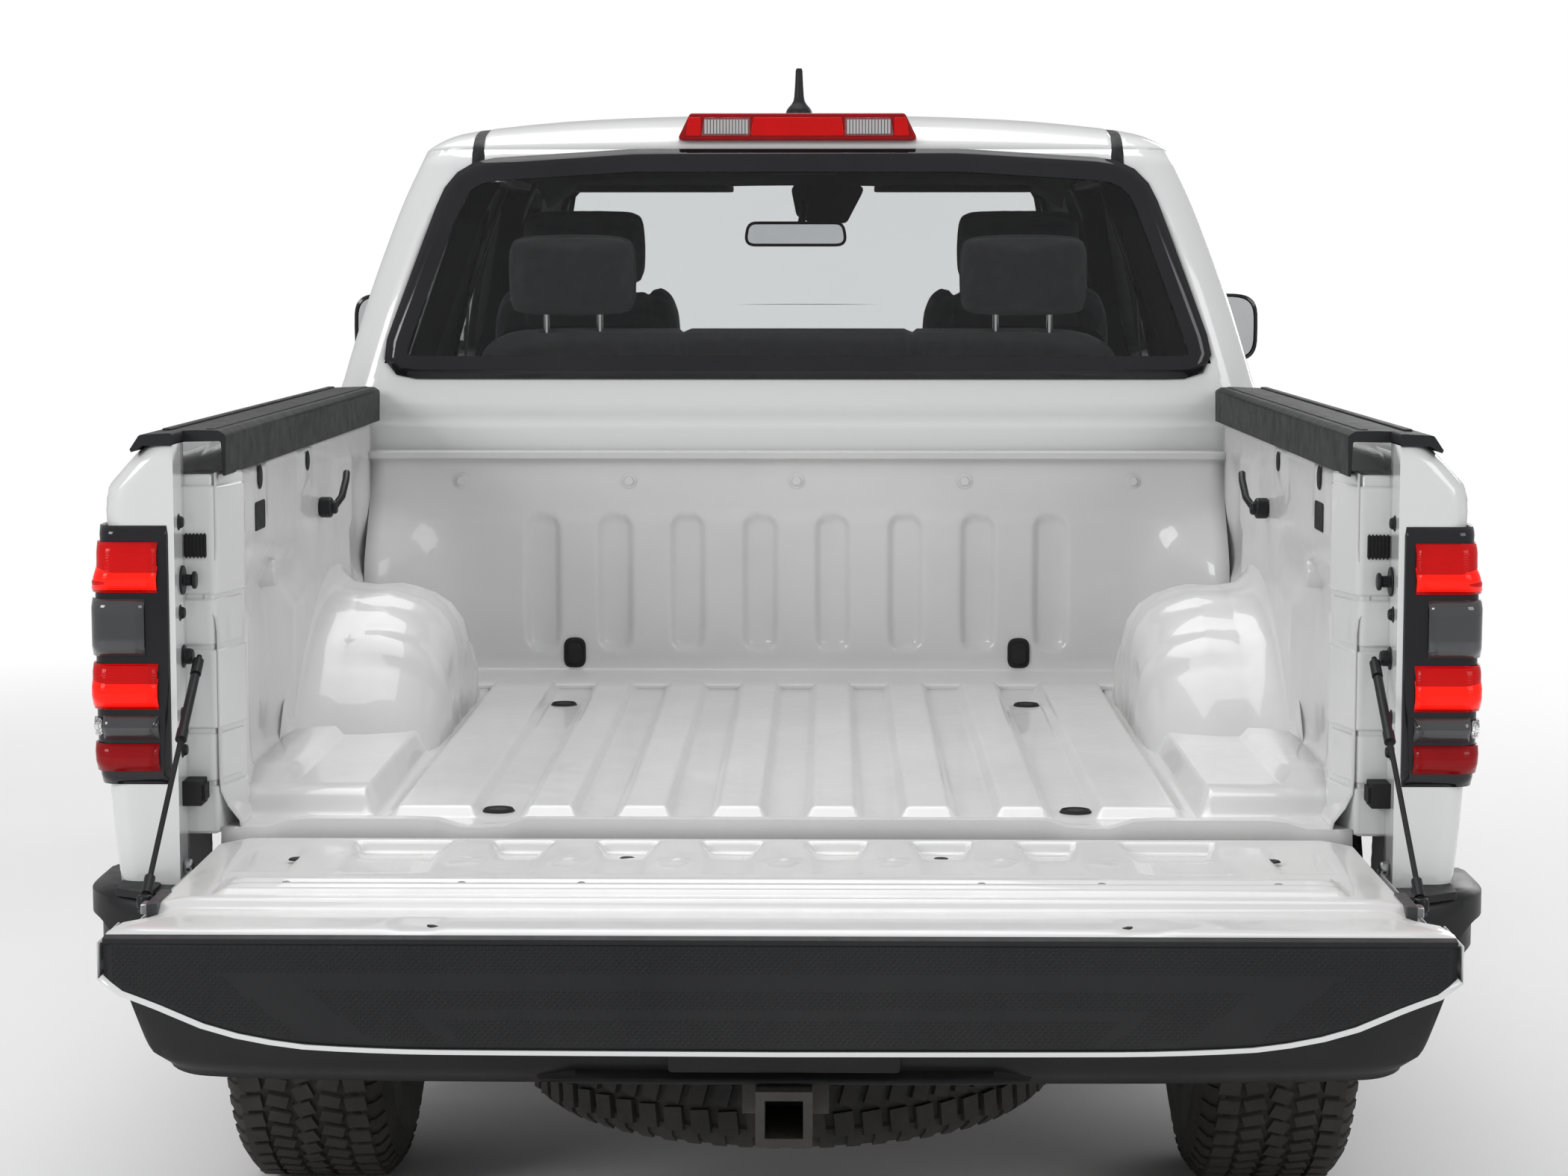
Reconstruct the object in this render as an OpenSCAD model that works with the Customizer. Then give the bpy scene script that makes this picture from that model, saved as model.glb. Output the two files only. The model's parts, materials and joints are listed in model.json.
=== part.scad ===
// Crew-cab pickup truck with a lowered tailgate.
// The truck faces -Y, +X is its left side and +Z is up. Millimetres.
// The origin is on the ground, in the middle of the truck's length and width.

/* [Chassis] */
// Distance between the front and rear axles
wheelbase = 3200; // [3000:10:3500]
// Distance between the left and right wheel centres
track = 1570; // [1500:10:1640]
// Front axle to the foremost point of the bumper
front_overhang = 910; // [860:10:960]
// Rear axle to the rear end of the bed sides
bed_overhang = 1120; // [1080:10:1200]
// Outer radius of a tyre
tyre_r = 395; // [370:1:410]
// Width of a tyre
tyre_w = 265; // [225:5:285]
// Radius of the wheel rim where the tyre sits
rim_r = 216; // [203:1:229]

/* [Body] */
// Greatest half width of the body sides
half_width = 928; // [900:1:960]
// Height of the roof at its crown
roof_z = 1838; // [1790:1:1880]
// Thickness of an outer skin with its inner frame
skin = 25; // [18:1:35]
// Thickness of a door
door_t = 62; // [50:1:80]
// Thickness of a pane of glass
glass_t = 5; // [4:0.5:7]

/* [Bed] */
// Height of the bed floor between its ribs
floor_z = 775; // [740:1:800]
// Height of the bed rails at their rear end
rail_z = 1318; // [1280:1:1350]
// Half width of the bed inside, above the wheelhouses
bed_half = 775; // [740:1:790]
// Half width between the wheelhouses
between_half = 565; // [540:1:600]

/* [Tailgate] */
// Half width of the tailgate
gate_half = 810; // [790:1:812]
// Thickness of the tailgate at its hinge edge
gate_t = 60; // [50:1:66]
// How far the lowered tailgate reaches behind the bed sides
gate_reach = 555; // [500:5:600]
// Depth of the tailgate's top edge at its middle
cap_depth = 139; // [100:1:160]

/* [Doors] */
// Gap between neighbouring panels
shut_gap = 6; // [5:0.5:8]

/* [Hidden] */
$fn = 64;

white = "whitesmoke";
black = "#202224";
grey = "dimgray";
dark_glass = "#30363a";

length = front_overhang + wheelbase + bed_overhang + gate_reach;
front_axle_y = front_overhang - length / 2;
rear_axle_y = front_axle_y + wheelbase;
bed_end_y = rear_axle_y + bed_overhang;
bed_front_y = rear_axle_y - 470;
cab_back_y = bed_front_y - 20;
wheel_x = track / 2;
arch_r = tyre_r + 60;
well_r = arch_r + 17;
well_wall = 12;
far = 3000;

// Side lines: [half width, height] from the sill up
cab_line = [
    [868, 440], [898, 480], [910, 620], [920, 800], [half_width - 1, 940], [half_width - 4, 1060],
    [910, 1170], [888, 1238], [852, 1300], [846, 1312], [672, 1750]
];
roof_line = [
    [655, roof_z - 60], [625, roof_z - 41], [560, roof_z - 26], [400, roof_z - 10], [200, roof_z - 2], [0, roof_z]
];
bed_line = [
    [880, 500], [900, 600], [912, 714], [922, 820], [half_width, 940], [half_width, 1080],
    [924, 1180], [921, 1237], [864, rail_z - 12]
];

// Steering
steer_x = wheel_x - 90;
pin_r = 12;
stub_r = 25;
fit = 0.05;

// Tailgate hinge
gate_top_z = 768;
hinge_z = gate_top_z - gate_t / 2 - 8;
hinge_y = bed_end_y - gate_t / 2 + 8;

// A point given by its distance behind the front axle and its height
function at(d, z) = [front_axle_y + d, z];
// A quarter of a superellipse, from [w, 0] to [0, l]
function nose_curve(w, l, n = 3, steps = 10) =
    [for (i = [0:steps]) [w * pow(cos(90 * i / steps), 2 / n), l * pow(sin(90 * i / steps), 2 / n)]];
function shifted(line, dx, dz = 0) = [for (p = line) [p[0] - dx, p[1] - dz]];
function reversed(line) = [for (i = [len(line) - 1:-1:0]) line[i]];

// Extrudes an x-z outline from y0 to y1
module along_y(y0, y1) {
    translate([0, y1, 0]) rotate([90, 0, 0]) linear_extrude(y1 - y0) children();
}
// Extrudes a y-z outline from x0 to x1
module along_x(x0, x1) {
    translate([x0, 0, 0]) rotate([90, 0, 90]) linear_extrude(x1 - x0) children();
}
module both_sides() {
    children();
    mirror([1, 0, 0]) children();
}
module block(x0, x1, y0, y1, z0, z1) {
    translate([x0, y0, z0]) cube([x1 - x0, y1 - y0, z1 - z0]);
}
module rod_x(x0, x1, y, z, r) {
    translate([x0, y, z]) rotate([0, 90, 0]) cylinder(h = x1 - x0, r = r);
}
module rod_y(y0, y1, x, z, r) {
    translate([x, y0, z]) rotate([-90, 0, 0]) cylinder(h = y1 - y0, r = r);
}
module rounded_rect(w, h, r) {
    square([w - 2 * r, h], center = true);
    square([w, h - 2 * r], center = true);
    for (x = [-1, 1], y = [-1, 1]) translate([x * (w / 2 - r), y * (h / 2 - r)]) circle(r);
}
// A wall that follows a side line, t thick, over the whole length
module side_wall(line, t) {
    along_y(-far, far) polygon(concat(line, reversed(shifted(line, t))));
}
// Everything inside a side line
module inside_line(line) {
    along_y(-far, far) polygon(concat(line, [[0, line[len(line) - 1][1]], [0, line[0][1]]]));
}

// ---------------------------------------------------------------- chassis
rail_x0 = 355;
rail_x1 = 425;
rail_outline = [
    at(-640, 490), at(280, 490), at(500, 430), at(2560, 430), at(2840, 560), at(4290, 560),
    at(4290, 690), at(2850, 690), at(2650, 555), at(520, 555), at(300, 620), at(-640, 620)
];
receiver_half = 25.5;
receiver_z = 410;

module cross_member(d, z) {
    y = at(d, 0)[0];
    block(-rail_x0 - 5, rail_x0 + 5, y, y + 70, z, z + 100);
}
module ladder_frame() {
    color(black) difference() {
        union() {
            both_sides() along_x(rail_x0, rail_x1) polygon(rail_outline);
            cross_member(-600, 500);
            for (d = [1010, 1470, 2260]) cross_member(d, 440);
            for (d = [2880, 3560, 4200]) cross_member(d, 575);
            // hitch receiver, hung below the bumper on a bracket
            block(-38, 38, bed_end_y - 110, bed_end_y + 90, receiver_z - 38, receiver_z + 38);
            block(-60, 60, bed_end_y - 124, bed_end_y - 84, receiver_z - 38, 540);
        }
        translate([0, bed_end_y - 80, receiver_z]) along_y(0, far) square(2 * receiver_half, center = true);
        rod_x(-60, 60, bed_end_y + 45, receiver_z, 8);
    }
}

module engine_block() {
    color(grey) block(-230, 230, at(-330, 0)[0], at(350, 0)[0], 560, 1000);
}

module front_suspension() {
    y = front_axle_y;
    color(grey) both_sides() {
        // lower and upper arms with their ball pins
        for (a = [[262, 426], [512, 426]]) {
            translate([0, y, a[0]]) linear_extrude(26) polygon([
                [a[1], -150], [a[1] + 60, -150], [steer_x - 30, -32], [steer_x + 26, -20],
                [steer_x + 26, 20], [steer_x - 30, 32], [a[1] + 60, 150], [a[1], 150],
                [a[1], 95], [steer_x - 70, 0], [a[1], -95]
            ]);
        }
        translate([steer_x, y, 262]) cylinder(h = 75, r = pin_r);
        translate([steer_x, y, 468]) cylinder(h = 60, r = pin_r);
        // brackets on the frame and the spring leg
        block(395, 445, y - 170, y - 130, 255, 489);
        block(395, 445, y + 130, y + 170, 255, 489);
        block(426, 470, y - 150, y + 150, 512, 538);
        translate([520, y, 275]) rotate([0, -6, 0]) cylinder(h = 420, r = 38);
    }
}

module knuckle(side) {
    y = front_axle_y;
    color(grey) mirror([side < 0 ? 1 : 0, 0, 0]) difference() {
        union() {
            block(steer_x - 24, steer_x + 24, y - 26, y + 26, 295, 505);
            rod_x(steer_x, wheel_x + 55, y, tyre_r, stub_r);
            rod_x(steer_x - 20, steer_x + 34, y, tyre_r, 60);
            block(steer_x - 14, steer_x + 14, y + 20, y + 120, 330, 352);
        }
        translate([steer_x, y, 280]) cylinder(h = 58, r = pin_r + fit);
        translate([steer_x, y, 467]) cylinder(h = 60, r = pin_r + fit);
    }
}

leaf_w = 60;
leaf_x = rail_x1 + 22;
// A leaf stack's outline from its front eye to its rear eye and back
function leaf_stack(front_rise, rear_rise) = [
    [-600, 440 + front_rise], [-300, 450 + 0.24 * front_rise], [-300, 440 + 0.24 * front_rise], [0, 434],
    [300, 440 + 0.24 * rear_rise], [300, 450 + 0.24 * rear_rise], [600, 440 + rear_rise],
    [600, 452 + rear_rise], [300, 464 + 0.24 * rear_rise], [0, 462], [-300, 464 + 0.24 * front_rise],
    [-600, 452 + front_rise]
];
module rear_axle() {
    y = rear_axle_y;
    color(black) {
        rod_x(-wheel_x - 55, wheel_x + 55, y, tyre_r, stub_r);
        rod_x(-wheel_x + 90, wheel_x - 90, y, tyre_r, 42);
        rod_y(y - 105, y + 95, 0, tyre_r, 128);
        rod_y(y - 190, y, 0, tyre_r, 62);
        // leaf springs clamped over the axle, and their shackles on the frame
        both_sides() {
            along_x(leaf_x, leaf_x + leaf_w) translate([y, 0]) polygon(leaf_stack(70, 90));
            block(leaf_x - 8, leaf_x + leaf_w + 8, y - 60, y + 60, 340, 470);
            block(rail_x1, leaf_x + leaf_w + 5, y - 640, y - 590, 500, 594);
            block(rail_x1, leaf_x + leaf_w + 5, y + 590, y + 640, 520, 630);
        }
    }
}

module drive_shaft() {
    color(grey) {
        rod_y(at(999, 0)[0], rear_axle_y - 192, 0, 395, 36);
        block(-140, 140, at(352, 0)[0], at(1000, 0)[0], 350, 560);
    }
}

module exhaust() {
    r = 26;
    low = 385;
    high = 525;
    rise = at(2500, 0)[0];
    turn = rear_axle_y + 230;
    color("silver") {
        rod_y(at(560, 0)[0], rise, -230, low, r);
        translate([0, at(1600, 0)[0], 0]) along_y(0, 560) translate([-230, 380]) rounded_rect(200, 110, 50);
        translate([-230, rise, low]) sphere(r);
        translate([-230, rise, low]) cylinder(h = high - low, r = r);
        translate([-230, rise, high]) sphere(r);
        rod_y(rise, turn, -230, high, r);
        translate([-230, turn, high]) sphere(r);
        rod_x(-600, -230, turn, high, r);
        translate([-600, turn, high]) sphere(r);
        rod_y(turn, turn + 640, -600, high, r);
    }
}

module fuel_tank() {
    color(black) along_y(at(1560, 0)[0], at(2240, 0)[0]) translate([220, 415]) rounded_rect(240, 190, 40);
}

module spare_wheel() {
    color(black) translate([0, rear_axle_y + 590, 425]) difference() {
        union() {
            rotate_extrude() tyre_profile();
            translate([0, 0, -60]) cylinder(h = 20, r = rim_r + 1);
            difference() {
                translate([0, 0, -95]) cylinder(h = 190, r = rim_r + 1);
                translate([0, 0, -96]) cylinder(h = 192, r = rim_r - 12);
            }
        }
        translate([0, 0, -100]) cylinder(h = 200, r = 35);
        for (a = [0:72:359]) rotate(a) translate([130, 0, -80]) cylinder(h = 60, r = 38);
    }
}

// ----------------------------------------------------------------- wheels
module tyre_profile() {
    w = tyre_w / 2;
    polygon([
        [rim_r, -w + 28], [rim_r + 30, -w + 6], [rim_r + 80, -w], [tyre_r - 45, -w + 4], [tyre_r - 12, -w + 20],
        [tyre_r, -w + 42], [tyre_r, w - 42], [tyre_r - 12, w - 20], [tyre_r - 45, w - 4], [rim_r + 80, w],
        [rim_r + 30, w - 6], [rim_r, w - 28]
    ]);
}
// A wheel's pieces are drawn about the X axis, outer face towards +X
module placed_wheel(side, y) {
    mirror([side < 0 ? 1 : 0, 0, 0]) translate([wheel_x, y, tyre_r]) rotate([0, 90, 0]) children();
}
module tyre() {
    color(black) rotate_extrude() tyre_profile();
}
module rim() {
    spokes = 6;
    barrel = tyre_w / 2 - 28;
    color("silver") difference() {
        union() {
            difference() {
                translate([0, 0, -barrel]) cylinder(h = 2 * barrel, r = rim_r - 0.3);
                translate([0, 0, -barrel - 1]) cylinder(h = 2 * barrel + 2, r = rim_r - 12);
            }
            translate([0, 0, -40]) cylinder(h = 90, r = 72);
            for (i = [0:spokes - 1]) rotate(360 * i / spokes) translate([50, -26, 26]) cube([rim_r - 56, 52, 28]);
            translate([0, 0, -44]) cylinder(h = 22, r = 165);
        }
        translate([0, 0, -50]) cylinder(h = 106, r = stub_r + fit);
    }
}

// ------------------------------------------------------------ front body
nose_start = -350;
nose_l = 490;
bumper_l = front_overhang + nose_start;
hood_slope = 5.5;
hood_rear_d = 378;
hood_half = 795;
hood_t = 32;
wing_rear_d = 458;

// The plan of the nose as a tall solid, inset by t
module nose(l, t = 0) {
    curve = nose_curve(half_width - t, l - t);
    y = front_axle_y + nose_start;
    linear_extrude(far) polygon(concat(
        [for (p = curve) [p[0], y - p[1]]], [for (p = reversed(curve)) [-p[0], y - p[1]]],
        [[t - half_width, far], [half_width - t, far]]
    ));
}
// Everything under the sloping, crowned surface of the hood and wings
module under_hood_surface(drop = 0, inset = 0) {
    translate([0, at(hood_rear_d, 0)[0], 1232 - drop]) rotate([hood_slope, 0, 0]) along_y(-1500, 200)
        polygon([
            [-935 + inset, -900], [935 - inset, -900], [935 - inset, -190], [905 - inset, -118], [862 - inset, -72],
            [800, -50], [650, -26], [400, -8], [0, 0], [-400, -8], [-650, -26], [-800, -50],
            [inset - 862, -72], [inset - 905, -118], [inset - 935, -190]
        ]);
}
module wing_side() {
    arch = at(0, 410);
    difference() {
        polygon([
            at(-850, 1300), at(-850, 1012), at(-505, 1012), at(-505, 800), at(-414, 792), at(-396, 680), at(-396, 480),
            at(wing_rear_d, 480), at(wing_rear_d, 1300)
        ]);
        translate(arch) circle(arch_r);
        translate([at(-800, 0)[0], 0]) square([800, 410]);
    }
}
module front_wings() {
    color(white) both_sides() {
        intersection() {
            difference() {
                intersection() {
                    nose(nose_l);
                    under_hood_surface();
                    union() {
                        inside_line([for (p = cab_line) if (p[1] < 1100) p]);
                        block(0, half_width - 5, -far, far, 1059, 1400);
                    }
                }
                intersection() {
                    nose(nose_l, skin);
                    under_hood_surface(skin, skin);
                    inside_line(concat([[860, 300]], [for (p = cab_line) if (p[1] < 1200) [p[0] - skin, p[1]]]));
                }
                block(-1, hood_half + shut_gap, -far, far, 0, 1400);
                block(0, 850, at(394, 0)[0], far, 0, 1400);
            }
            along_x(0, far) wing_side();
        }
        // liner over the wheel and the inner wing beside the engine
        intersection() {
            along_x(500, 885) translate(at(0, 410)) difference() {
                circle(well_r + well_wall);
                circle(well_r);
            }
            block(0, far, -far, at(390, 0)[0], 520, 2000);
        }
        along_x(500, 512) difference() {
            polygon([at(-600, 640), at(-600, 1000), at(380, 1110), at(380, 640)]);
            translate(at(0, 410)) circle(well_r + well_wall - 2);
        }
    }
}
module wheel_well() {
    rod_x(480, 890, front_axle_y, 410, well_r + well_wall + 2);
}
module hood() {
    color(white) intersection() {
        difference() {
            under_hood_surface();
            under_hood_surface(hood_t);
        }
        translate([0, 14, 0]) nose(nose_l);
        block(-hood_half, hood_half, -far, at(hood_rear_d, 0)[0], 0, far);
    }
}
// A curved wall that follows the nose, cut out by an x-z outline
module nose_wall(l, t) {
    intersection() {
        difference() {
            nose(l);
            nose(l, t);
        }
        along_y(-far, at(nose_start + 10, 0)[0]) children();
    }
}
module radiator() {
    color(grey) block(-360, 360, at(-660, 0)[0], at(-610, 0)[0], 621, 985);
}
module grille() {
    color(black) nose_wall(nose_l + 30, 60) polygon([
        [-585, 1036], [-300, 1050], [300, 1050], [585, 1036], [560, 860], [500, 770], [-500, 770], [-560, 860]
    ]);
}
module headlamps() {
    color("silver") both_sides() intersection() {
        nose_wall(nose_l, 90) polygon([[592, 1032], [568, 866], [950, 882], [950, 1000], [790, 1006]]);
        block(0, far, -far, at(-511, 0)[0], 0, far);
    }
}
module front_bumper() {
    color(black) intersection() {
        nose_wall(bumper_l, 95) difference() {
            polygon([
                [-950, 776], [-930, 862], [-566, 850], [-504, 763], [504, 763], [566, 850], [930, 862], [950, 776],
                [945, 560], [860, 480], [600, 420], [-600, 420], [-860, 480], [-945, 560]
            ]);
            polygon([[-430, 560], [-390, 500], [390, 500], [430, 560], [390, 640], [-390, 640]]);
        }
        along_x(-far, far) difference() {
            polygon([at(-950, 400), at(-360, 400), at(-420, 775), at(-511, 790), at(-511, 876), at(-950, 876)]);
            translate(at(0, 410)) circle(well_r + well_wall + 2);
        }
    }
}

// -------------------------------------------------------------------- cab
under_floor_z = 600;
floor_top_z = 640;
roof_split_z = 1757;
cab_wall = 80;
cab_front_d = 400;
door_front_d = 470;
door_split_d = 1426;
door_rear_d = 2300;
cab_outline = [
    at(cab_front_d, 470), at(2420, 470), at(2460, 560), at(2710, 600), at(2710, 1300), at(2618, 1752),
    at(2575, roof_z - 46), at(2480, roof_z - 22), at(2200, roof_z - 6), at(1500, roof_z), at(1250, roof_z - 16),
    at(1100, roof_z - 42), at(1010, roof_split_z), at(cab_front_d, 1240)
];
cab_room = [
    at(480, floor_top_z), at(2655, floor_top_z), at(2655, 1290), at(2565, 1735), at(2480, roof_z - 52),
    at(1500, roof_z - 42), at(1200, roof_z - 62), at(1060, 1735), at(480, 1240)
];
front_door_outline = [
    at(door_front_d, 500), at(door_split_d - shut_gap, 500), at(door_split_d - shut_gap, 1722),
    at(1140, 1716), at(1060, 1680), at(door_front_d, 1240)
];
rear_door_outline = [
    at(door_split_d + shut_gap, 500), at(2180, 500), at(door_rear_d, 640), at(door_rear_d, 1300),
    at(2230, 1640), at(2150, 1716), at(door_split_d + shut_gap, 1722)
];
door_hole = [
    at(door_front_d - shut_gap, 490), at(2184, 490), at(door_rear_d + shut_gap, 636),
    at(door_rear_d + shut_gap, 1302), at(2240, 1645), at(2155, 1730), at(1134, 1730), at(1050, 1692),
    at(door_front_d - shut_gap, 1246)
];
front_pane = [at(655, 1322), at(1362, 1322), at(1362, 1664), at(1150, 1664), at(1085, 1640)];
rear_pane = [at(1490, 1322), at(2232, 1322), at(2165, 1632), at(2120, 1664), at(1490, 1664)];

module cab_outer(t = 0) {
    intersection() {
        along_y(-far, far) polygon(concat(
            [[0, 300]], shifted(cab_line, t), shifted(roof_line, t, 0), [[0, roof_z]]
        ));
        along_x(0, far) polygon(cab_outline);
    }
}
module half_shell() {
    difference() {
        cab_outer();
        intersection() {
            cab_outer(cab_wall);
            along_x(-1, far) polygon(cab_room);
        }
        along_x(-1, far) polygon(door_hole);
        // open under the floor, between the sills
        block(-1, 780, 0 - far, far, 0, under_floor_z);
        wheel_well();
        // the wing's rear edge
        block(845, far, -far, at(wing_rear_d + shut_gap, 0)[0], 0, 1232);
        // windscreen and rear window
        windscreen_solid(3, 60);
        along_y(at(2540, 0)[0], far) rear_window_outline(0);
    }
}
// The windscreen lies in the sloping front face of the cab
screen_l = 800;
screen_tilt = atan2(roof_split_z - 1240, 1010 - cab_front_d);
module windscreen_solid(grow, t) {
    translate([0, at(cab_front_d, 0)[0], 1240]) rotate([screen_tilt, 0, 0]) translate([0, 0, -t + 10])
        linear_extrude(t) polygon([
            [-690 - grow, 30 - grow], [690 + grow, 30 - grow], [560 + grow, screen_l - 56 + grow],
            [-560 - grow, screen_l - 56 + grow]
        ]);
}
module windscreen() {
    color(dark_glass) intersection() {
        windscreen_solid(0, 20);
        translate([0, at(cab_front_d, 0)[0], 1240]) rotate([screen_tilt, 0, 0]) block(-far, far, -far, far, -glass_t - 4, -4);
    }
}
module rear_window_outline(inset) {
    r = 60;
    for (s = [-1, 1]) {
        translate([s * (753 - r), 1333 + r]) circle(r - inset);
        translate([s * (628 - r), 1742 - r]) circle(r - inset);
    }
    polygon([
        [-753 + r, 1333 + inset], [753 - r, 1333 + inset], [753 - inset, 1333 + r], [753 - inset - 0.3 * (1682 - 1393), 1682],
        [628 - r, 1742 - inset], [-628 + r, 1742 - inset], [-753 + inset + 0.3 * (1682 - 1393), 1682], [-753 + inset, 1333 + r]
    ]);
}
module rear_window() {
    color(dark_glass) intersection() {
        along_y(at(2500, 0)[0], far) rear_window_outline(2);
        along_x(-far, far) polygon([
            at(2690, 1320), at(2690 + glass_t, 1320), at(2606 + glass_t, 1752), at(2606, 1752)
        ]);
    }
}
module cab_floor() {
    color(white) {
        both_sides() intersection() {
            half_shell();
            block(-1, far, -far, far, 0, floor_top_z);
        }
        // firewall
        difference() {
            block(-740, 740, at(cab_front_d, 0)[0], at(430, 0)[0], floor_top_z, 1205);
            both_sides() wheel_well();
        }
        // body mounts on the frame
        both_sides() for (d = [800, 2250])
            translate([390, at(d, 0)[0], 556]) cylinder(h = under_floor_z - 556, r = 34);
    }
}
module cab_pillars() {
    color(white) both_sides() {
        intersection() {
            half_shell();
            block(-1, far, -far, far, floor_top_z + 0.2, roof_split_z);
            union() {
                block(741, far, -far, far, 0, far);
                block(-1, far, at(500, 0)[0], far, 0, far);
                block(-1, far, -far, far, 1206, far);
            }
        }
        // B pillar behind the doors' edges
        intersection() {
            difference() {
                side_wall(cab_line, 122);
                side_wall(cab_line, door_t + 8);
            }
            along_x(0, far) polygon([
                at(1375, floor_top_z + 0.2), at(1480, floor_top_z + 0.2), at(1462, 1748), at(1390, 1748)
            ]);
        }
    }
}
module roof() {
    color(white) both_sides() intersection() {
        half_shell();
        block(-0.01, far, -far, far, roof_split_z + 0.2, far);
    }
}
module door(outline, pane) {
    difference() {
        intersection() {
            side_wall(cab_line, door_t);
            along_x(0, far) polygon(outline);
        }
        along_x(0, far) polygon(pane);
    }
}
module pane(outline) {
    color(dark_glass) intersection() {
        difference() {
            side_wall(shifted(cab_line, 22), glass_t);
        }
        along_x(0, far) polygon(outline);
    }
}
module mirror_unit() {
    y = at(640, 0)[0];
    color(black) {
        translate([1010, y, 1385]) rotate([90, 0, 0]) translate([0, 0, -45]) linear_extrude(90)
            rounded_rect(190, 170, 60);
        block(840, 930, y - 25, y + 25, 1330, 1360);
    }
}
module front_seats() {
    color(black) both_sides() translate([450, 0, 0]) {
        block(-235, 235, at(1180, 0)[0], at(1680, 0)[0], 760, 900);
        block(-160, 160, at(1260, 0)[0], at(1600, 0)[0], floor_top_z + 1, 760);
        translate([0, at(1640, 0)[0], 900]) rotate([-18, 0, 0]) {
            block(-225, 225, -50, 70, -40, 600);
            block(-120, 120, -30, 60, 600, 790);
        }
    }
}
module rear_seat() {
    color(black) {
        block(-640, 640, at(2080, 0)[0], at(2530, 0)[0], 800, 930);
        block(-600, 600, at(2200, 0)[0], at(2500, 0)[0], floor_top_z + 1, 800);
        translate([0, at(2500, 0)[0], 925]) rotate([-6, 0, 0]) block(-640, 640, -50, 50, 0, 490);
        both_sides() block(295, 545, at(2480, 0)[0], at(2560, 0)[0], 1380, 1640);
    }
}
module dashboard() {
    color(black) along_x(-715, 715) polygon([
        at(490, 1000), at(760, 900), at(860, 940), at(900, 1120), at(820, 1190), at(560, 1215), at(490, 1190)
    ]);
    color(black) along_x(-110, 110) polygon([
        at(780, floor_top_z + 1), at(1700, floor_top_z + 1), at(1700, 860), at(1300, 880), at(861, 938), at(780, 905)
    ]);
    // steering column, just short of the wheel's hub
    color(black) translate(wheel_pos) rotate([column_tilt - 90, 0, 0]) translate([0, 0, -150]) cylinder(h = 124, r = 28);
}
wheel_pos = [420, at(985, 0)[0], 1105];
column_tilt = 24;
module steering_wheel() {
    color(black) translate(wheel_pos) rotate([column_tilt - 90, 0, 0]) {
        rotate_extrude() translate([178, 0]) circle(15);
        translate([0, 0, -20]) cylinder(h = 45, r = 60);
        for (a = [0, 180, 270]) rotate(a) translate([40, -18, -8]) cube([130, 36, 16]);
    }
}
module interior_mirror() {
    color(black) {
        translate([0, at(1090, 0)[0], 1606]) along_y(-18, 18) rounded_rect(230, 58, 26);
        block(-14, 14, at(1010, 0)[0], at(1075, 0)[0], 1600, 1660);
    }
}
module antenna() {
    color(black) translate([0, at(2300, 0)[0], roof_z - 8]) {
        cylinder(h = 26, r = 24);
        cylinder(h = 88, r = 6);
    }
}
module brake_lamp() {
    color("red") difference() {
        along_y(at(2575, 0)[0], at(2632, 0)[0])
            polygon([[-225, 1768], [225, 1768], [200, roof_z - 20], [-200, roof_z - 20]]);
        both_sides() cab_outer();
    }
}

// -------------------------------------------------------------------- bed
house_r = 460;
house_z = 540;
gate_room = 72;
lamp_z0 = 846;
lamp_z1 = 1196;
lamp_x0 = 826;
module wheelhouse_disc(x0, x1, r) {
    rod_x(x0, x1, rear_axle_y, house_z, r);
}
module bed_sides() {
    color(white) both_sides() {
        difference() {
            intersection() {
                inside_line(bed_line);
                along_x(bed_half, far) polygon([
                    [bed_front_y, 520], [bed_front_y, 1320], [bed_end_y, 1320], [bed_end_y, 714],
                    [bed_end_y - 150, 714], [bed_end_y - 150, 560], [rear_axle_y + 440, 540], [rear_axle_y + 440, 520]
                ]);
            }
            // open below the floor, inside the outer skin
            intersection() {
                inside_line(concat([[850, 300]], shifted(bed_line, skin)));
                block(0, far, -far, far, 0, floor_z - 10);
            }
            wheelhouse_disc(bed_half - 1, 896, house_r - skin);
            rod_x(bed_half - 1, far, rear_axle_y, 415, arch_r - 8);
            // room for the closed tailgate and the lamp
            block(0, gate_half + 8, bed_end_y - gate_room, far, 0, far);
            block(lamp_x0 - 1, far, bed_end_y - 121, far, lamp_z0 - 3, lamp_z1 + 3);
        }
        intersection() {
            union() {
                difference() {
                    wheelhouse_disc(between_half, bed_half + 0.1, house_r);
                    wheelhouse_disc(between_half + 12, bed_half + 1, house_r - skin);
                }
            }
            block(0, far, -far, far, 560, far);
        }
        // striker the tailgate latches on
        rod_x(gate_half - 26, gate_half + 9, bed_end_y - 48, 1118, 8);
    }
}
module bed_floor() {
    rib_pitch = 132;
    color(white) difference() {
        union() {
            block(1 - bed_half, bed_half - 1, bed_front_y + 31, bed_end_y - gate_room, floor_z - 10, floor_z);
            for (i = [-4:3])
                translate([(i + 0.5) * rib_pitch, 0])
                    block(-35, 35, bed_front_y + 60, bed_end_y - 140, floor_z, floor_z + 15);
            block(-700, 700, bed_end_y - gate_room - 40, bed_end_y - gate_room, floor_z, floor_z + 12);
            for (y = [bed_front_y + 170, rear_axle_y + 60, bed_end_y - 130])
                block(-700, 700, y - 35, y + 35, 691, floor_z - 10);
        }
        both_sides() wheelhouse_disc(between_half - 1, bed_half + 1, house_r + 1);
    }
}
module bed_header() {
    color(white) {
        block(1 - bed_half, bed_half - 1, bed_front_y, bed_front_y + 30, floor_z - 10, 1205);
        block(1 - bed_half, bed_half - 1, bed_front_y, bed_front_y + 55, 1180, 1205);
    }
}
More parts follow.
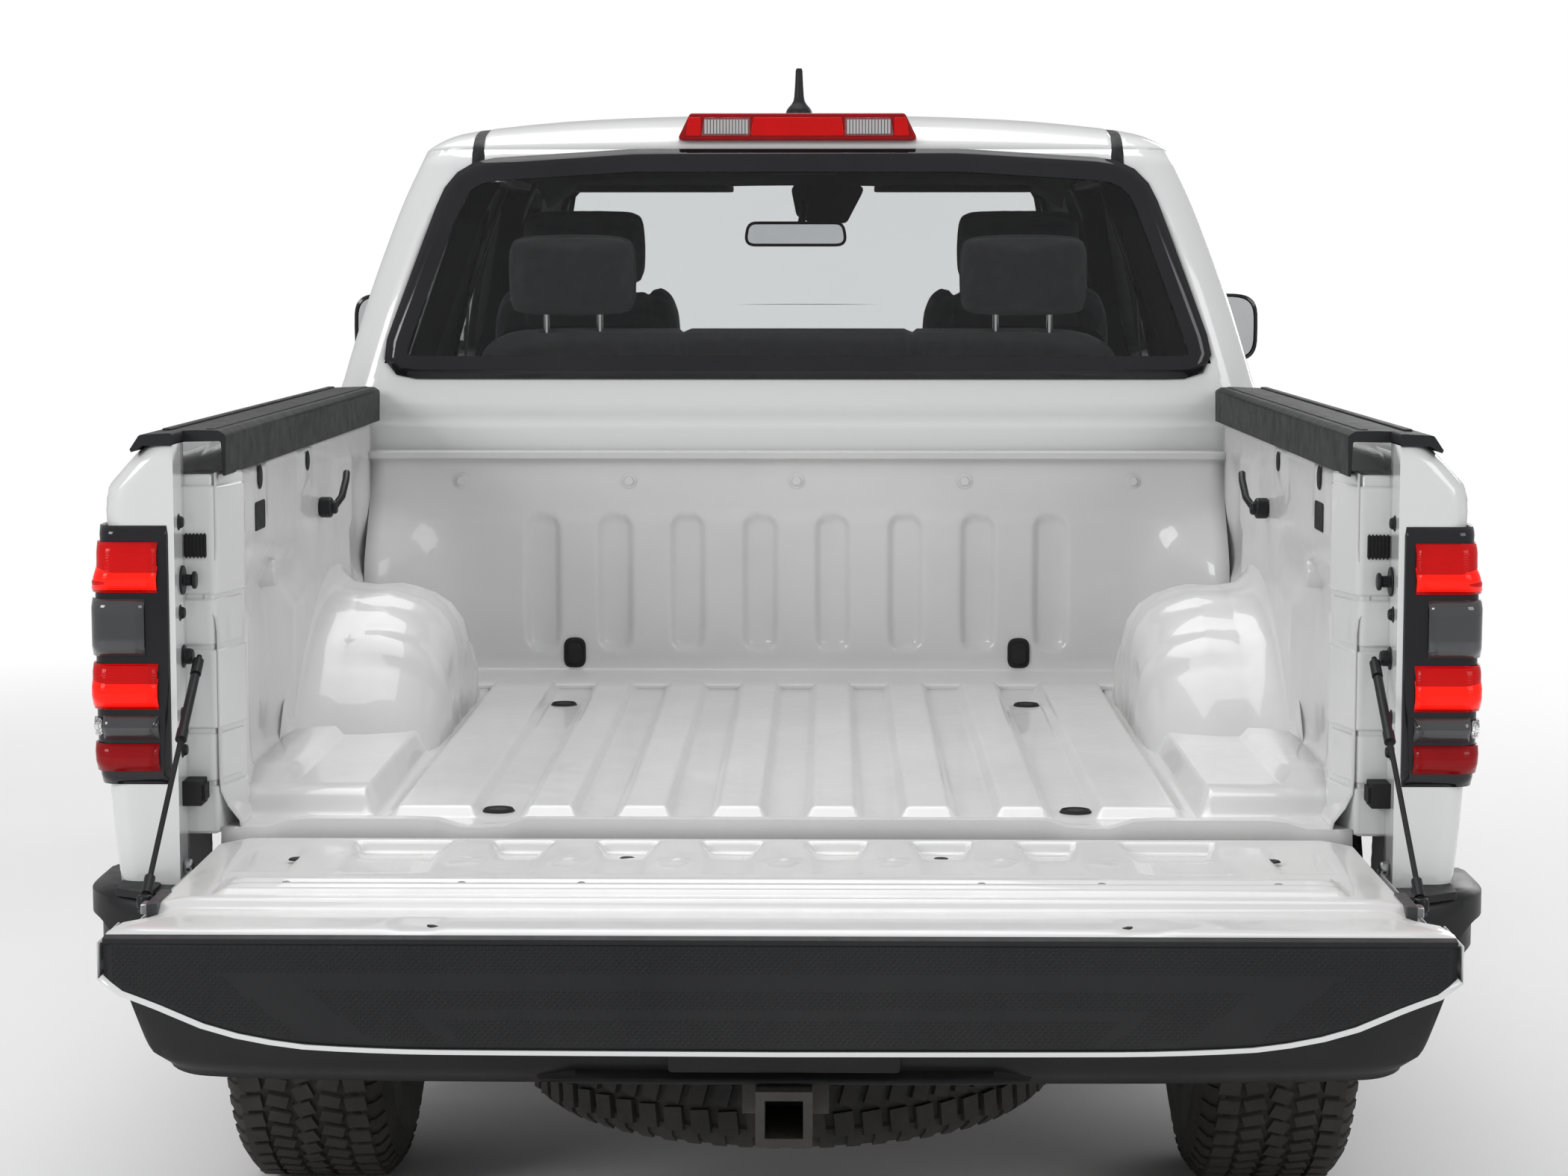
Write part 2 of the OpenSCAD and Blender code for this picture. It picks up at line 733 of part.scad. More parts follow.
module rail_caps() {
    color(black) both_sides() {
        along_y(bed_front_y, bed_end_y - gate_room - 2) polygon([
            [bed_half - 14, rail_z - 60], [bed_half - 0.5, rail_z - 60], [bed_half - 0.5, rail_z - 12],
            [872, rail_z - 12], [872, rail_z - 4], [866, rail_z], [bed_half - 8, rail_z], [bed_half - 14, rail_z - 6]
        ]);
        along_y(bed_end_y - gate_room - 3, bed_end_y + 2) polygon([
            [gate_half + 9, rail_z - 12], [872, rail_z - 12], [872, rail_z - 4], [866, rail_z], [gate_half + 9, rail_z]
        ]);
    }
}
module tail_lamps() {
    color("red") both_sides() along_y(bed_end_y - 120, bed_end_y + 5) polygon([
        [lamp_x0, lamp_z0], [half_width + 4, lamp_z0], [half_width + 8, 900], [half_width + 14, 1010],
        [half_width + 4, 1060], [half_width + 6, 1120], [half_width + 14, 1150], [half_width + 10, lamp_z1],
        [lamp_x0, lamp_z1]
    ]);
}
bumper_top_z = 696;
module rear_bumper() {
    y = bed_end_y - 150;
    module plan(t) {
        curve = nose_curve(half_width - t, 260 - t, 5);
        translate([0, 0, 300]) linear_extrude(700) polygon(concat(
            [for (p = curve) [p[0], y + p[1]]], [for (p = reversed(curve)) [-p[0], y + p[1]]],
            t > 0 ? [[t - half_width, y - 50], [half_width - t, y - 50]] : []
        ));
    }
    color(black) difference() {
        intersection() {
            plan(0);
            along_y(-far, far) polygon([
                [-half_width, 708], [-half_width, 590], [-905, 510], [-850, 470], [-760, 455], [760, 455],
                [850, 470], [905, 510], [half_width, 590], [half_width, 708], [820, 708], [812, bumper_top_z],
                [-812, bumper_top_z], [-820, 708]
            ]);
        }
        difference() {
            plan(50);
            // the top step
            block(-811, 811, bed_end_y + 2, far, bumper_top_z - 12, bumper_top_z);
        }
        block(-811, 811, -far, bed_end_y + 2, 600, 800);
    }
}

// --------------------------------------------------------------- tailgate
cap_t = 14;
gate_end_y = bed_end_y + gate_reach;
gate_end_top = 751;
// The lower edge of the free end, deepest at the middle
cap_edge = [
    [gate_half, 0.41], [740, 0.6], [680, 0.78], [620, 0.89], [550, 0.955], [400, 0.99], [0, 1]
];
function cap_outline(inset) = concat(
    [for (p = cap_edge) [p[0] - (p[0] > 700 ? inset : 0), gate_end_top - cap_depth * p[1] + inset]],
    [for (p = reversed(cap_edge)) [-p[0] + (p[0] > 700 ? inset : 0), gate_end_top - cap_depth * p[1] + inset]],
    [[inset - gate_half, gate_end_top], [gate_half - inset, gate_end_top]]
);
module tailgate() {
    front_y = hinge_y - 20;
    color(white) difference() {
        union() {
            difference() {
                along_x(-gate_half, gate_half) polygon([
                    [front_y, gate_top_z], [gate_end_y - 60, gate_top_z], [gate_end_y - cap_t, gate_end_top],
                    [gate_end_y - cap_t, gate_top_z - gate_t], [front_y, gate_top_z - gate_t]
                ]);
                // stepped sides that clear the strikers and stays
                both_sides() block(gate_half - 40, far, front_y - 1, gate_end_y - 115, gate_top_z - gate_t / 2, far);
            }
            // hinge pins
            both_sides() rod_x(gate_half - 1, gate_half + 6, hinge_y, hinge_z, 10);
            intersection() {
                along_x(-gate_half, gate_half) polygon([
                    [gate_end_y - 150, gate_top_z - gate_t + 5], [gate_end_y - 60, gate_end_top - 0.75 * cap_depth],
                    [gate_end_y - 16, gate_end_top - cap_depth], [gate_end_y - 1, gate_end_top - cap_depth],
                    [gate_end_y - 1, gate_end_top - 40], [gate_end_y - 100, gate_end_top - 10]
                ]);
                along_y(gate_end_y - 200, gate_end_y) polygon(cap_outline(0));
            }
        }
        along_y(gate_end_y - cap_t, gate_end_y + 10) polygon(cap_outline(7));
        block(-far, far, gate_end_y - cap_t, far, gate_end_top - 7, far);
    }
}
module tailgate_cap() {
    color(black) along_y(gate_end_y - cap_t + 0.5, gate_end_y) polygon(cap_outline(8));
}
stay_top = [gate_half - 14, bed_end_y - 48, 1014];
stay_foot = [gate_half - 14, bed_end_y + 330, gate_top_z - gate_t / 2 + 14];
module tailgate_cables() {
    run = stay_foot - stay_top;
    color(black) both_sides() {
        translate(stay_top) rotate([-90 + atan2(-run[2], run[1]) * -1, 0, 0]) cylinder(h = norm(run), r = 4);
        rod_x(stay_top[0] - 8, gate_half + 8, stay_top[1], stay_top[2], 8);
        rod_x(stay_foot[0] - 8, stay_foot[0] + 8, stay_foot[1], stay_foot[2], 8);
    }
}

ladder_frame();
engine_block();
radiator();
cab_floor();
cab_pillars();
roof();
windscreen();
rear_window();
front_wings();
grille();
headlamps();
front_bumper();
bed_floor();
bed_sides();
bed_header();
rail_caps();
tail_lamps();
brake_lamp();
antenna();
rear_bumper();
front_suspension();
rear_axle();
drive_shaft();
exhaust();
fuel_tank();
spare_wheel();
front_seats();
rear_seat();
dashboard();
interior_mirror();
tailgate_cables();
hood();
color(white) door(front_door_outline, front_pane);  // front_door_left
color(white) mirror([1, 0, 0]) door(front_door_outline, front_pane);  // front_door_right
color(white) door(rear_door_outline, rear_pane);  // rear_door_left
color(white) mirror([1, 0, 0]) door(rear_door_outline, rear_pane);  // rear_door_right
pane(front_pane);  // front_glass_left
mirror([1, 0, 0]) pane(front_pane);  // front_glass_right
pane(rear_pane);  // rear_glass_left
mirror([1, 0, 0]) pane(rear_pane);  // rear_glass_right
mirror_unit();  // mirror_left
mirror([1, 0, 0]) mirror_unit();  // mirror_right
tailgate();
tailgate_cap();
steering_wheel();
knuckle(1);  // knuckle_left
knuckle(-1);  // knuckle_right
placed_wheel(1, front_axle_y) rim();  // rim_front_left
placed_wheel(-1, front_axle_y) rim();  // rim_front_right
placed_wheel(1, rear_axle_y) rim();  // rim_rear_left
placed_wheel(-1, rear_axle_y) rim();  // rim_rear_right
placed_wheel(1, front_axle_y) tyre();  // tyre_front_left
placed_wheel(-1, front_axle_y) tyre();  // tyre_front_right
placed_wheel(1, rear_axle_y) tyre();  // tyre_rear_left
placed_wheel(-1, rear_axle_y) tyre();  // tyre_rear_right
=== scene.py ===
"""Looks of a white crew-cab pickup truck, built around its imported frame.

The truck faces -Y, +X is its left side and +Z is up. All sizes are in metres.
"""

from __future__ import annotations

import json
import logging
import math
from dataclasses import dataclass
from enum import Enum
from typing import Callable, Iterable, Sequence

import bmesh
import bpy
from mathutils import Matrix, Vector

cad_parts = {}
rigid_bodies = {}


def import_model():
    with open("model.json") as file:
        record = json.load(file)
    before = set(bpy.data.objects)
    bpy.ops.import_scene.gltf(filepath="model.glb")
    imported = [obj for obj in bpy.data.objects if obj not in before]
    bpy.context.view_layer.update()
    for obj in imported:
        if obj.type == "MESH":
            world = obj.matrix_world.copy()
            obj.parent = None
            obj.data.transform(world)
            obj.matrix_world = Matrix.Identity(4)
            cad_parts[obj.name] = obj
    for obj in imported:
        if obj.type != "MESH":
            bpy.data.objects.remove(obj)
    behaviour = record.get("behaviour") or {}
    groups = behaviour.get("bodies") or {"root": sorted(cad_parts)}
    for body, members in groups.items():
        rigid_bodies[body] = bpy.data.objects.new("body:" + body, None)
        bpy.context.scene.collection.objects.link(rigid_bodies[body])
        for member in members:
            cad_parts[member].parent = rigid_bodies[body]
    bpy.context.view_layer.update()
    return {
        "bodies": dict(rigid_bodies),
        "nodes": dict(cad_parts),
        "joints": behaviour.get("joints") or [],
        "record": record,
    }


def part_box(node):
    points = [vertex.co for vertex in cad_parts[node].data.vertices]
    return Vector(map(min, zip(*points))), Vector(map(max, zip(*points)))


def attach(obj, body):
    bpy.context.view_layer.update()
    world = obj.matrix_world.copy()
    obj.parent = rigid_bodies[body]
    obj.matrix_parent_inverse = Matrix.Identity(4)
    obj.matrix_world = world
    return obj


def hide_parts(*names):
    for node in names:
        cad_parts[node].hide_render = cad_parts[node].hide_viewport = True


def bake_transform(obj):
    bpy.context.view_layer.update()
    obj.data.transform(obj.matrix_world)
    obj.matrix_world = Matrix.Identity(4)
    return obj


LOG = logging.getLogger("pickup")
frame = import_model()

Point = tuple[float, float, float]
Flat = tuple[float, float]
Place = Callable[[float, float], Point]


# --------------------------------------------------------------------------
# Places that the frame gives
# --------------------------------------------------------------------------
def joint_place(name: str) -> Vector:
    """Gives the position of a joint.

    Args:
        name: The joint's name in the record.

    Returns:
        A point on the joint's axis.
    """
    for joint in frame["joints"]:
        if joint["name"] == name:
            return Vector(joint["pos_m"])
    raise KeyError(name)


def corners(node: str) -> tuple[Vector, Vector]:
    """Gives the lowest and highest corners of a CAD node.

    Args:
        node: The node's name.

    Returns:
        The two corners as vectors.
    """
    low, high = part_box(node)
    return Vector(low), Vector(high)


# Thicknesses of sheets, in metres.
FOIL = 0.001
PRESSED = 0.0015
FOLDED = 0.002
MOULDED = 0.003
TRIM = 0.004
CASING = 0.006
# Angles between faces, in degrees, below which shading runs on smoothly.
CRISP = 40
CREASED = 45
SOFTENED = 50
ROUND = 60
FRONT_AXLE = joint_place("spin_fl")
REAR_AXLE = joint_place("spin_rl")
TYRE_HIGH = corners("tyre_rear_left")[1]
GATE_LOW = corners("tailgate")[0]
BED_END = GATE_LOW.y + 0.042
BED_FRONT = corners("bed_header")[0].y
GATE_END = corners("tailgate_cap")[1].y
CAB_BACK = corners("cab_pillars")[1].y


def behind(distance: float) -> float:
    """Turns a distance behind the front axle into a Y value.

    Args:
        distance: Metres behind the front axle.

    Returns:
        The Y value.
    """
    return FRONT_AXLE.y + distance


# --------------------------------------------------------------------------
# Small functions for shapes
# --------------------------------------------------------------------------
def smooth_step(low: float, high: float, value: float) -> float:
    """Rises smoothly from 0 at low to 1 at high.

    Args:
        low: Where the rise starts.
        high: Where it ends.
        value: The value to test.

    Returns:
        A number from 0 to 1.
    """
    if high == low:
        return float(value >= high)
    t = min(1.0, max(0.0, (value - low) / (high - low)))
    return t * t * (3.0 - 2.0 * t)


def full_turn(count: int) -> list[float]:
    """Shares a full turn into equal angles.

    Args:
        count: How many angles.

    Returns:
        The angles in radians, from zero.
    """
    return [2 * math.pi * k / count for k in range(count)]


def curve_through(points: Sequence[Flat], at: float) -> float:
    """Reads a smooth curve through points, a monotone cubic.

    Args:
        points: Pairs of argument and value, with rising arguments.
        at: The argument to read.

    Returns:
        The value there, held constant past either end.
    """
    if at <= points[0][0]:
        return points[0][1]
    if at >= points[-1][0]:
        return points[-1][1]
    slopes = [
        (b[1] - a[1]) / (b[0] - a[0]) for a, b in zip(points[:-1], points[1:])
    ]
    ends = [slopes[0]]
    for left, right in zip(slopes[:-1], slopes[1:]):
        ends.append(0.0 if left * right <= 0 else 2 * left * right / (left + right))
    ends.append(slopes[-1])
    for index, (a, b) in enumerate(zip(points[:-1], points[1:])):
        if at <= b[0]:
            width = b[0] - a[0]
            t = (at - a[0]) / width
            t2, t3 = t * t, t * t * t
            return (
                (2 * t3 - 3 * t2 + 1) * a[1]
                + (t3 - 2 * t2 + t) * width * ends[index]
                + (3 * t2 - 2 * t3) * b[1]
                + (t3 - t2) * width * ends[index + 1]
            )
    return points[-1][1]


def rounded(points: Sequence[Flat], radii: Sequence[float] | float, steps: int = 6) -> list[Flat]:
    """Rounds the corners of a closed outline.

    Args:
        points: The corners in order.
        radii: One radius for each corner, or one for all.
        steps: How many pieces each rounded corner has.

    Returns:
        The outline with its corners rounded.
    """
    count = len(points)
    sizes = [radii] * count if isinstance(radii, (int, float)) else list(radii)
    out: list[Flat] = []
    for i, corner in enumerate(points):
        here = Vector(corner)
        before = Vector(points[i - 1]) - here
        after = Vector(points[(i + 1) % count]) - here
        if sizes[i] <= 0:
            out.append((here.x, here.y))
            continue
        half = before.angle(after) / 2
        reach = min(
            sizes[i] / max(math.tan(half), 1e-6), before.length * 0.49, after.length * 0.49
        )
        start = here + before.normalized() * reach
        end = here + after.normalized() * reach
        for k in range(steps + 1):
            t = k / steps
            p = start * (1 - t) ** 2 + here * 2 * t * (1 - t) + end * t * t
            out.append((p.x, p.y))
    return out


def box_distance(x: float, y: float, cx: float, cy: float, w: float, h: float, r: float) -> float:
    """Distance outside a rounded rectangle, negative inside it.

    Args:
        x: Point.
        y: Point.
        cx: Centre of the rectangle.
        cy: Centre of the rectangle.
        w: Half width.
        h: Half height.
        r: Corner radius.

    Returns:
        The signed distance.
    """
    dx = abs(x - cx) - w + r
    dy = abs(y - cy) - h + r
    return math.hypot(max(dx, 0), max(dy, 0)) + min(max(dx, dy), 0) - r


def lines(low: float, high: float, step: float, edges: Iterable[float] = (), fine: float = 0.004,
          reach: int = 2) -> list[float]:
    """Makes sample lines over a span, closer together at some edges.

    Args:
        low: Start of the span.
        high: End of the span.
        step: Widest spacing.
        edges: Values that need finer lines around them.
        fine: The spacing there.
        reach: How many fine lines go on each side.

    Returns:
        The sorted values.
    """
    count = max(1, round((high - low) / step))
    values = [low + (high - low) * i / count for i in range(count + 1)]
    close = sorted(
        e + k * fine for e in edges for k in range(-reach, reach + 1) if low < e + k * fine < high
    )
    kept = [v for v in values if not any(abs(v - c) < fine * 0.8 for c in close)]
    kept += [low, high]
    merged: list[float] = []
    for value in sorted(kept + close):
        if not merged or value - merged[-1] > fine * 0.35:
            merged.append(value)
    merged[-1] = high
    return merged


# --------------------------------------------------------------------------
# Mesh code
# --------------------------------------------------------------------------
class Rounding(Enum):
    """How the edges of a piece are finished."""

    NONE = 0.0
    FINE = 0.0012
    SOFT = 0.003
    ROUND = 0.006


class Piece:
    """A mesh in the making, with its faces' finishes."""

    def __init__(self, name: str) -> None:
        """Starts an empty piece.

        Args:
            name: The Blender object's name.
        """
        self.name = name
        self.mesh = bmesh.new()
        self.finishes: list[bpy.types.Material] = []

    def slot(self, finish: "Finish") -> int:
        """Gives the index of a finish's material slot.

        Args:
            finish: The finish of the faces to come.

        Returns:
            The slot's index.
        """
        material = finish.material()
        if material not in self.finishes:
            self.finishes.append(material)
        return self.finishes.index(material)

    def add(self, points: Sequence[Point], faces: Iterable[Sequence[int]], finish: "Finish") -> None:
        """Adds points and faces.

        Args:
            points: The new points.
            faces: Index lists into those points.
            finish: The finish of the faces.
        """
        index = self.slot(finish)
        made = [self.mesh.verts.new(p) for p in points]
        for face in faces:
            ring = [made[i] for i in face]
            if len(set(ring)) < 3:
                continue
            try:
                new = self.mesh.faces.new(ring)
            except ValueError:
                continue
            new.material_index = index

    def grid(self, us: Sequence[float], vs: Sequence[float], place: Place, finish: "Finish",
             keep: Callable[[float, float], bool] | None = None) -> None:
        """Adds a sheet over sample lines.

        Args:
            us: Lines one way.
            vs: Lines the other way.
            place: Turns a pair of samples into a point.
            finish: The sheet's finish.
            keep: Says which cells stay, by their middle.
        """
        points = [place(u, v) for u in us for v in vs]
        wide = len(vs)
        faces = []
        for i in range(len(us) - 1):
            for k in range(wide - 1):
                if keep and not keep((us[i] + us[i + 1]) / 2, (vs[k] + vs[k + 1]) / 2):
                    continue
                a = i * wide + k
                faces.append((a, a + 1, a + wide + 1, a + wide))
        self.add(points, faces, finish)

    def strip(self, first: Sequence[Point], second: Sequence[Point], finish: "Finish", ring: bool = False) -> None:
        """Joins two rows of points with faces.

        Args:
            first: One row.
            second: The other row, of the same length.
            finish: The strip's finish.
            ring: Joins the rows' ends too.
        """
        count = len(first)
        faces = [(i, (i + 1) % count, count + (i + 1) % count, count + i) for i in range(count if ring else count - 1)]
        self.add([*first, *second], faces, finish)

    def lid(self, ring: Sequence[Point], finish: "Finish") -> None:
        """Closes a ring of points with one face.

        Args:
            ring: The points, in order.
            finish: The face's finish.
        """
        self.add(ring, [tuple(range(len(ring)))], finish)

    def sheets(self, rows: Sequence[Sequence[Point]], finish: Finish, ring: bool = False) -> None:
        """Joins each row of points to the next one.

        Args:
            rows: The rows, all with the same number of points.
            finish: The faces' finish.
            ring: Whether each row closes on itself.
        """
        for a, b in zip(rows[:-1], rows[1:]):
            self.strip(a, b, finish, ring=ring)

    def prism(self, outline: Sequence[Flat], low: float, high: float, axis: str, finish: "Finish",
              taper: float = 1.0) -> None:
        """Adds a closed prism.

        Args:
            outline: The outline in the two other axes, in their X, Y, Z order.
            low: Where the prism starts along its axis.
            high: Where it ends.
            axis: "x", "y" or "z".
            finish: Its finish.
            taper: Scale of the outline at the high end, about its middle.
        """
        count = len(outline)
        mid = (sum(p[0] for p in outline) / count, sum(p[1] for p in outline) / count)

        def at(flat: Flat, level: float, size: float) -> Point:
            """Places one corner of the outline."""
            a = mid[0] + (flat[0] - mid[0]) * size
            b = mid[1] + (flat[1] - mid[1]) * size
            return {"x": (level, a, b), "y": (a, level, b), "z": (a, b, level)}[axis]

        points = [at(p, low, 1.0) for p in outline] + [at(p, high, taper) for p in outline]
        sides = [(i, (i + 1) % count, count + (i + 1) % count, count + i) for i in range(count)]
        caps = [tuple(range(count)), tuple(range(2 * count - 1, count - 1, -1))]
        self.add(points, sides + caps, finish)

    def block(self, low: Sequence[float], high: Sequence[float], finish: "Finish") -> None:
        """Adds a box.

        Args:
            low: Its lowest corner.
            high: Its highest corner.
            finish: Its finish.
        """
        outline = [(low[0], low[1]), (high[0], low[1]), (high[0], high[1]), (low[0], high[1])]
        self.prism(outline, low[2], high[2], "z", finish)

    def lathe(self, profile: Sequence[Flat], centre: Sequence[float], axis: Sequence[float],
              finish: "Finish", steps: int = 48, closed: bool = False) -> None:
        """Turns a profile about an axis.

        Args:
            profile: Pairs of radius and distance along the axis.
            centre: A point on the axis.
            axis: The axis.
            finish: Its finish.
            steps: Pieces round the axis.
            closed: Joins the profile's last point to its first.
        """
        turn = Vector((0, 0, 1)).rotation_difference(Vector(axis)).to_matrix()
        middle = Vector(centre)
        count = len(profile)
        points = []
        for i in range(steps):
            angle = 2 * math.pi * i / steps
            for r, h in profile:
                points.append(tuple(middle + turn @ Vector((r * math.cos(angle), r * math.sin(angle), h))))
        faces = []
        for i in range(steps):
            a, b = i * count, (i + 1) % steps * count
            for k in range(count if closed else count - 1):
                n = (k + 1) % count
                faces.append((a + k, b + k, b + n, a + n))
        if not closed:
            faces.append(tuple(i * count for i in range(steps))[::-1])
            faces.append(tuple(i * count + count - 1 for i in range(steps)))
        self.add(points, faces, finish)

    def rod(self, start: Sequence[float], end: Sequence[float], radius: float, finish: "Finish",
            steps: int = 20) -> None:
        """Adds a round rod between two points.

        Args:
            start: One end.
            end: The other end.
            radius: Its radius.
            finish: Its finish.
            steps: Sides of the rod.
        """
        run = Vector(end) - Vector(start)
        c = min(radius * 0.25, 0.003)
        profile = [(radius - c, 0.0), (radius, c), (radius, run.length - c), (radius - c, run.length)]
        self.lathe(profile, start, run.normalized(), finish, steps)

    def tube(self, path: Sequence[Sequence[float]], radius: float, finish: "Finish", steps: int = 12,
             ring: bool = False) -> None:
        """Sweeps a circle along a path.

        Args:
            path: The points of the path.
            radius: The tube's radius.
            finish: Its finish.
            steps: Sides of the tube.
            ring: Closes the path on itself.
        """
        spots = [Vector(p) for p in path]
        count = len(spots)
        points = []
        normal = None
        for i, spot in enumerate(spots):
            if ring:
                way = spots[(i + 1) % count] - spots[i - 1]
            else:
                way = spots[min(i + 1, count - 1)] - spots[max(i - 1, 0)]
            way.normalize()
            if normal is None:
                normal = way.orthogonal().normalized()
            normal = (normal - way * normal.dot(way)).normalized()
            side = way.cross(normal)
            for k in range(steps):
                angle = 2 * math.pi * k / steps
                points.append(tuple(spot + radius * (normal * math.cos(angle) + side * math.sin(angle))))
        faces = []
        for i in range(count if ring else count - 1):
            a, b = i * steps, (i + 1) % count * steps
            faces += [(a + k, a + (k + 1) % steps, b + (k + 1) % steps, b + k) for k in range(steps)]
        if not ring:
            faces += [tuple(range(steps))[::-1], tuple(range((count - 1) * steps, count * steps))]
        self.add(points, faces, finish)

    def mirrored(self) -> "Piece":
        """Adds the mirror image of everything so far, on the other side.

        Returns:
            This piece.
        """
        made = bmesh.ops.duplicate(self.mesh, geom=self.mesh.verts[:] + self.mesh.edges[:] + self.mesh.faces[:])
        verts = [g for g in made["geom"] if isinstance(g, bmesh.types.BMVert)]
        faces = [g for g in made["geom"] if isinstance(g, bmesh.types.BMFace)]
        bmesh.ops.scale(self.mesh, verts=verts, vec=(-1, 1, 1))
        bmesh.ops.reverse_faces(self.mesh, faces=faces)
        return self

    def flip_x(self) -> "Piece":
        """Moves everything to the other side of the truck.

        Returns:
            This piece.
        """
        bmesh.ops.scale(self.mesh, verts=self.mesh.verts[:], vec=(-1, 1, 1))
        bmesh.ops.reverse_faces(self.mesh, faces=self.mesh.faces[:])
        return self

    def moved(self, matrix: Matrix) -> "Piece":
        """Moves everything by a matrix.

        Args:
            matrix: The move.

        Returns:
            This piece.
        """
        bmesh.ops.transform(self.mesh, matrix=matrix, verts=self.mesh.verts[:])
        return self

    def done(self, body: str, slot: str, rounding: Rounding = Rounding.NONE, wall: float = 0.0,
             smooth: float = 35.0, merge: float = 1e-5, outward: bool = True,
             replaces: Sequence[str] = (), offset: float = -1.0) -> bpy.types.Object:
        """Turns the mesh into a finished Blender object.

        Args:
            body: The body it rides on, or nothing for a piece that spans two bodies and is left on none.
            slot: The record's material slot; not used.
            rounding: How its edges are rounded.
            wall: Thickness given to an open sheet, or 0.
            smooth: Edges flatter than this angle are shaded smooth.
            merge: Distance under which points are merged.
            outward: Whether the normals are worked out anew.
            replaces: CAD nodes that it stands for.
            offset: Which side of the sheet the wall goes to.

        Returns:
            The object.
        """
        if merge:
            bmesh.ops.remove_doubles(self.mesh, verts=self.mesh.verts[:], dist=merge)
        if outward:
            bmesh.ops.recalc_face_normals(self.mesh, faces=self.mesh.faces[:])
        loose = [v for v in self.mesh.verts if not v.link_faces]
        bmesh.ops.delete(self.mesh, geom=loose, context="VERTS")
        data = bpy.data.meshes.new(self.name)
        self.mesh.to_mesh(data)
        self.mesh.free()
        for material in self.finishes:
            data.materials.append(material)
        obj = bpy.data.objects.new(self.name, data)
        bpy.context.scene.collection.objects.link(obj)
        if wall:
            solid = obj.modifiers.new("wall", "SOLIDIFY")
            solid.thickness = wall
            solid.offset = offset
            solid.use_even_offset = False
        if rounding.value:
            bevel = obj.modifiers.new("edges", "BEVEL")
            bevel.width = rounding.value
            bevel.segments = 2
            bevel.limit_method = "ANGLE"
            bevel.angle_limit = math.radians(40)
            bevel.harden_normals = False
        for polygon in data.polygons:
            polygon.use_smooth = True
        data.set_sharp_from_angle(angle=math.radians(smooth))
        if body:
            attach(obj, body)
        if replaces:
            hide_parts(*replaces)
        LOG.info("%s rides on %s", self.name, body or "two bodies")
        return obj


# --------------------------------------------------------------------------
# Finishes
# --------------------------------------------------------------------------
class ShaderGroup(Enum):
    """The effects that more than one material uses."""

    MOTTLE = "mottle"
    GRAIN = "grain"
    WEAVE = "weave"
    LINES = "fine_lines"
    DUST = "low_dust"


def add_socket(tree: bpy.types.NodeTree, name: str, out: bool, value: float | None = None) -> None:
    """Gives a node tree a number socket.

    Args:
        tree: The tree.
        name: The socket's name.
        out: Whether it is an output.
        value: An input's default.
    """
    way = "OUTPUT" if out else "INPUT"
    made = tree.interface.new_socket(name=name, in_out=way, socket_type="NodeSocketFloat")
    if value is not None:
        made.default_value = value


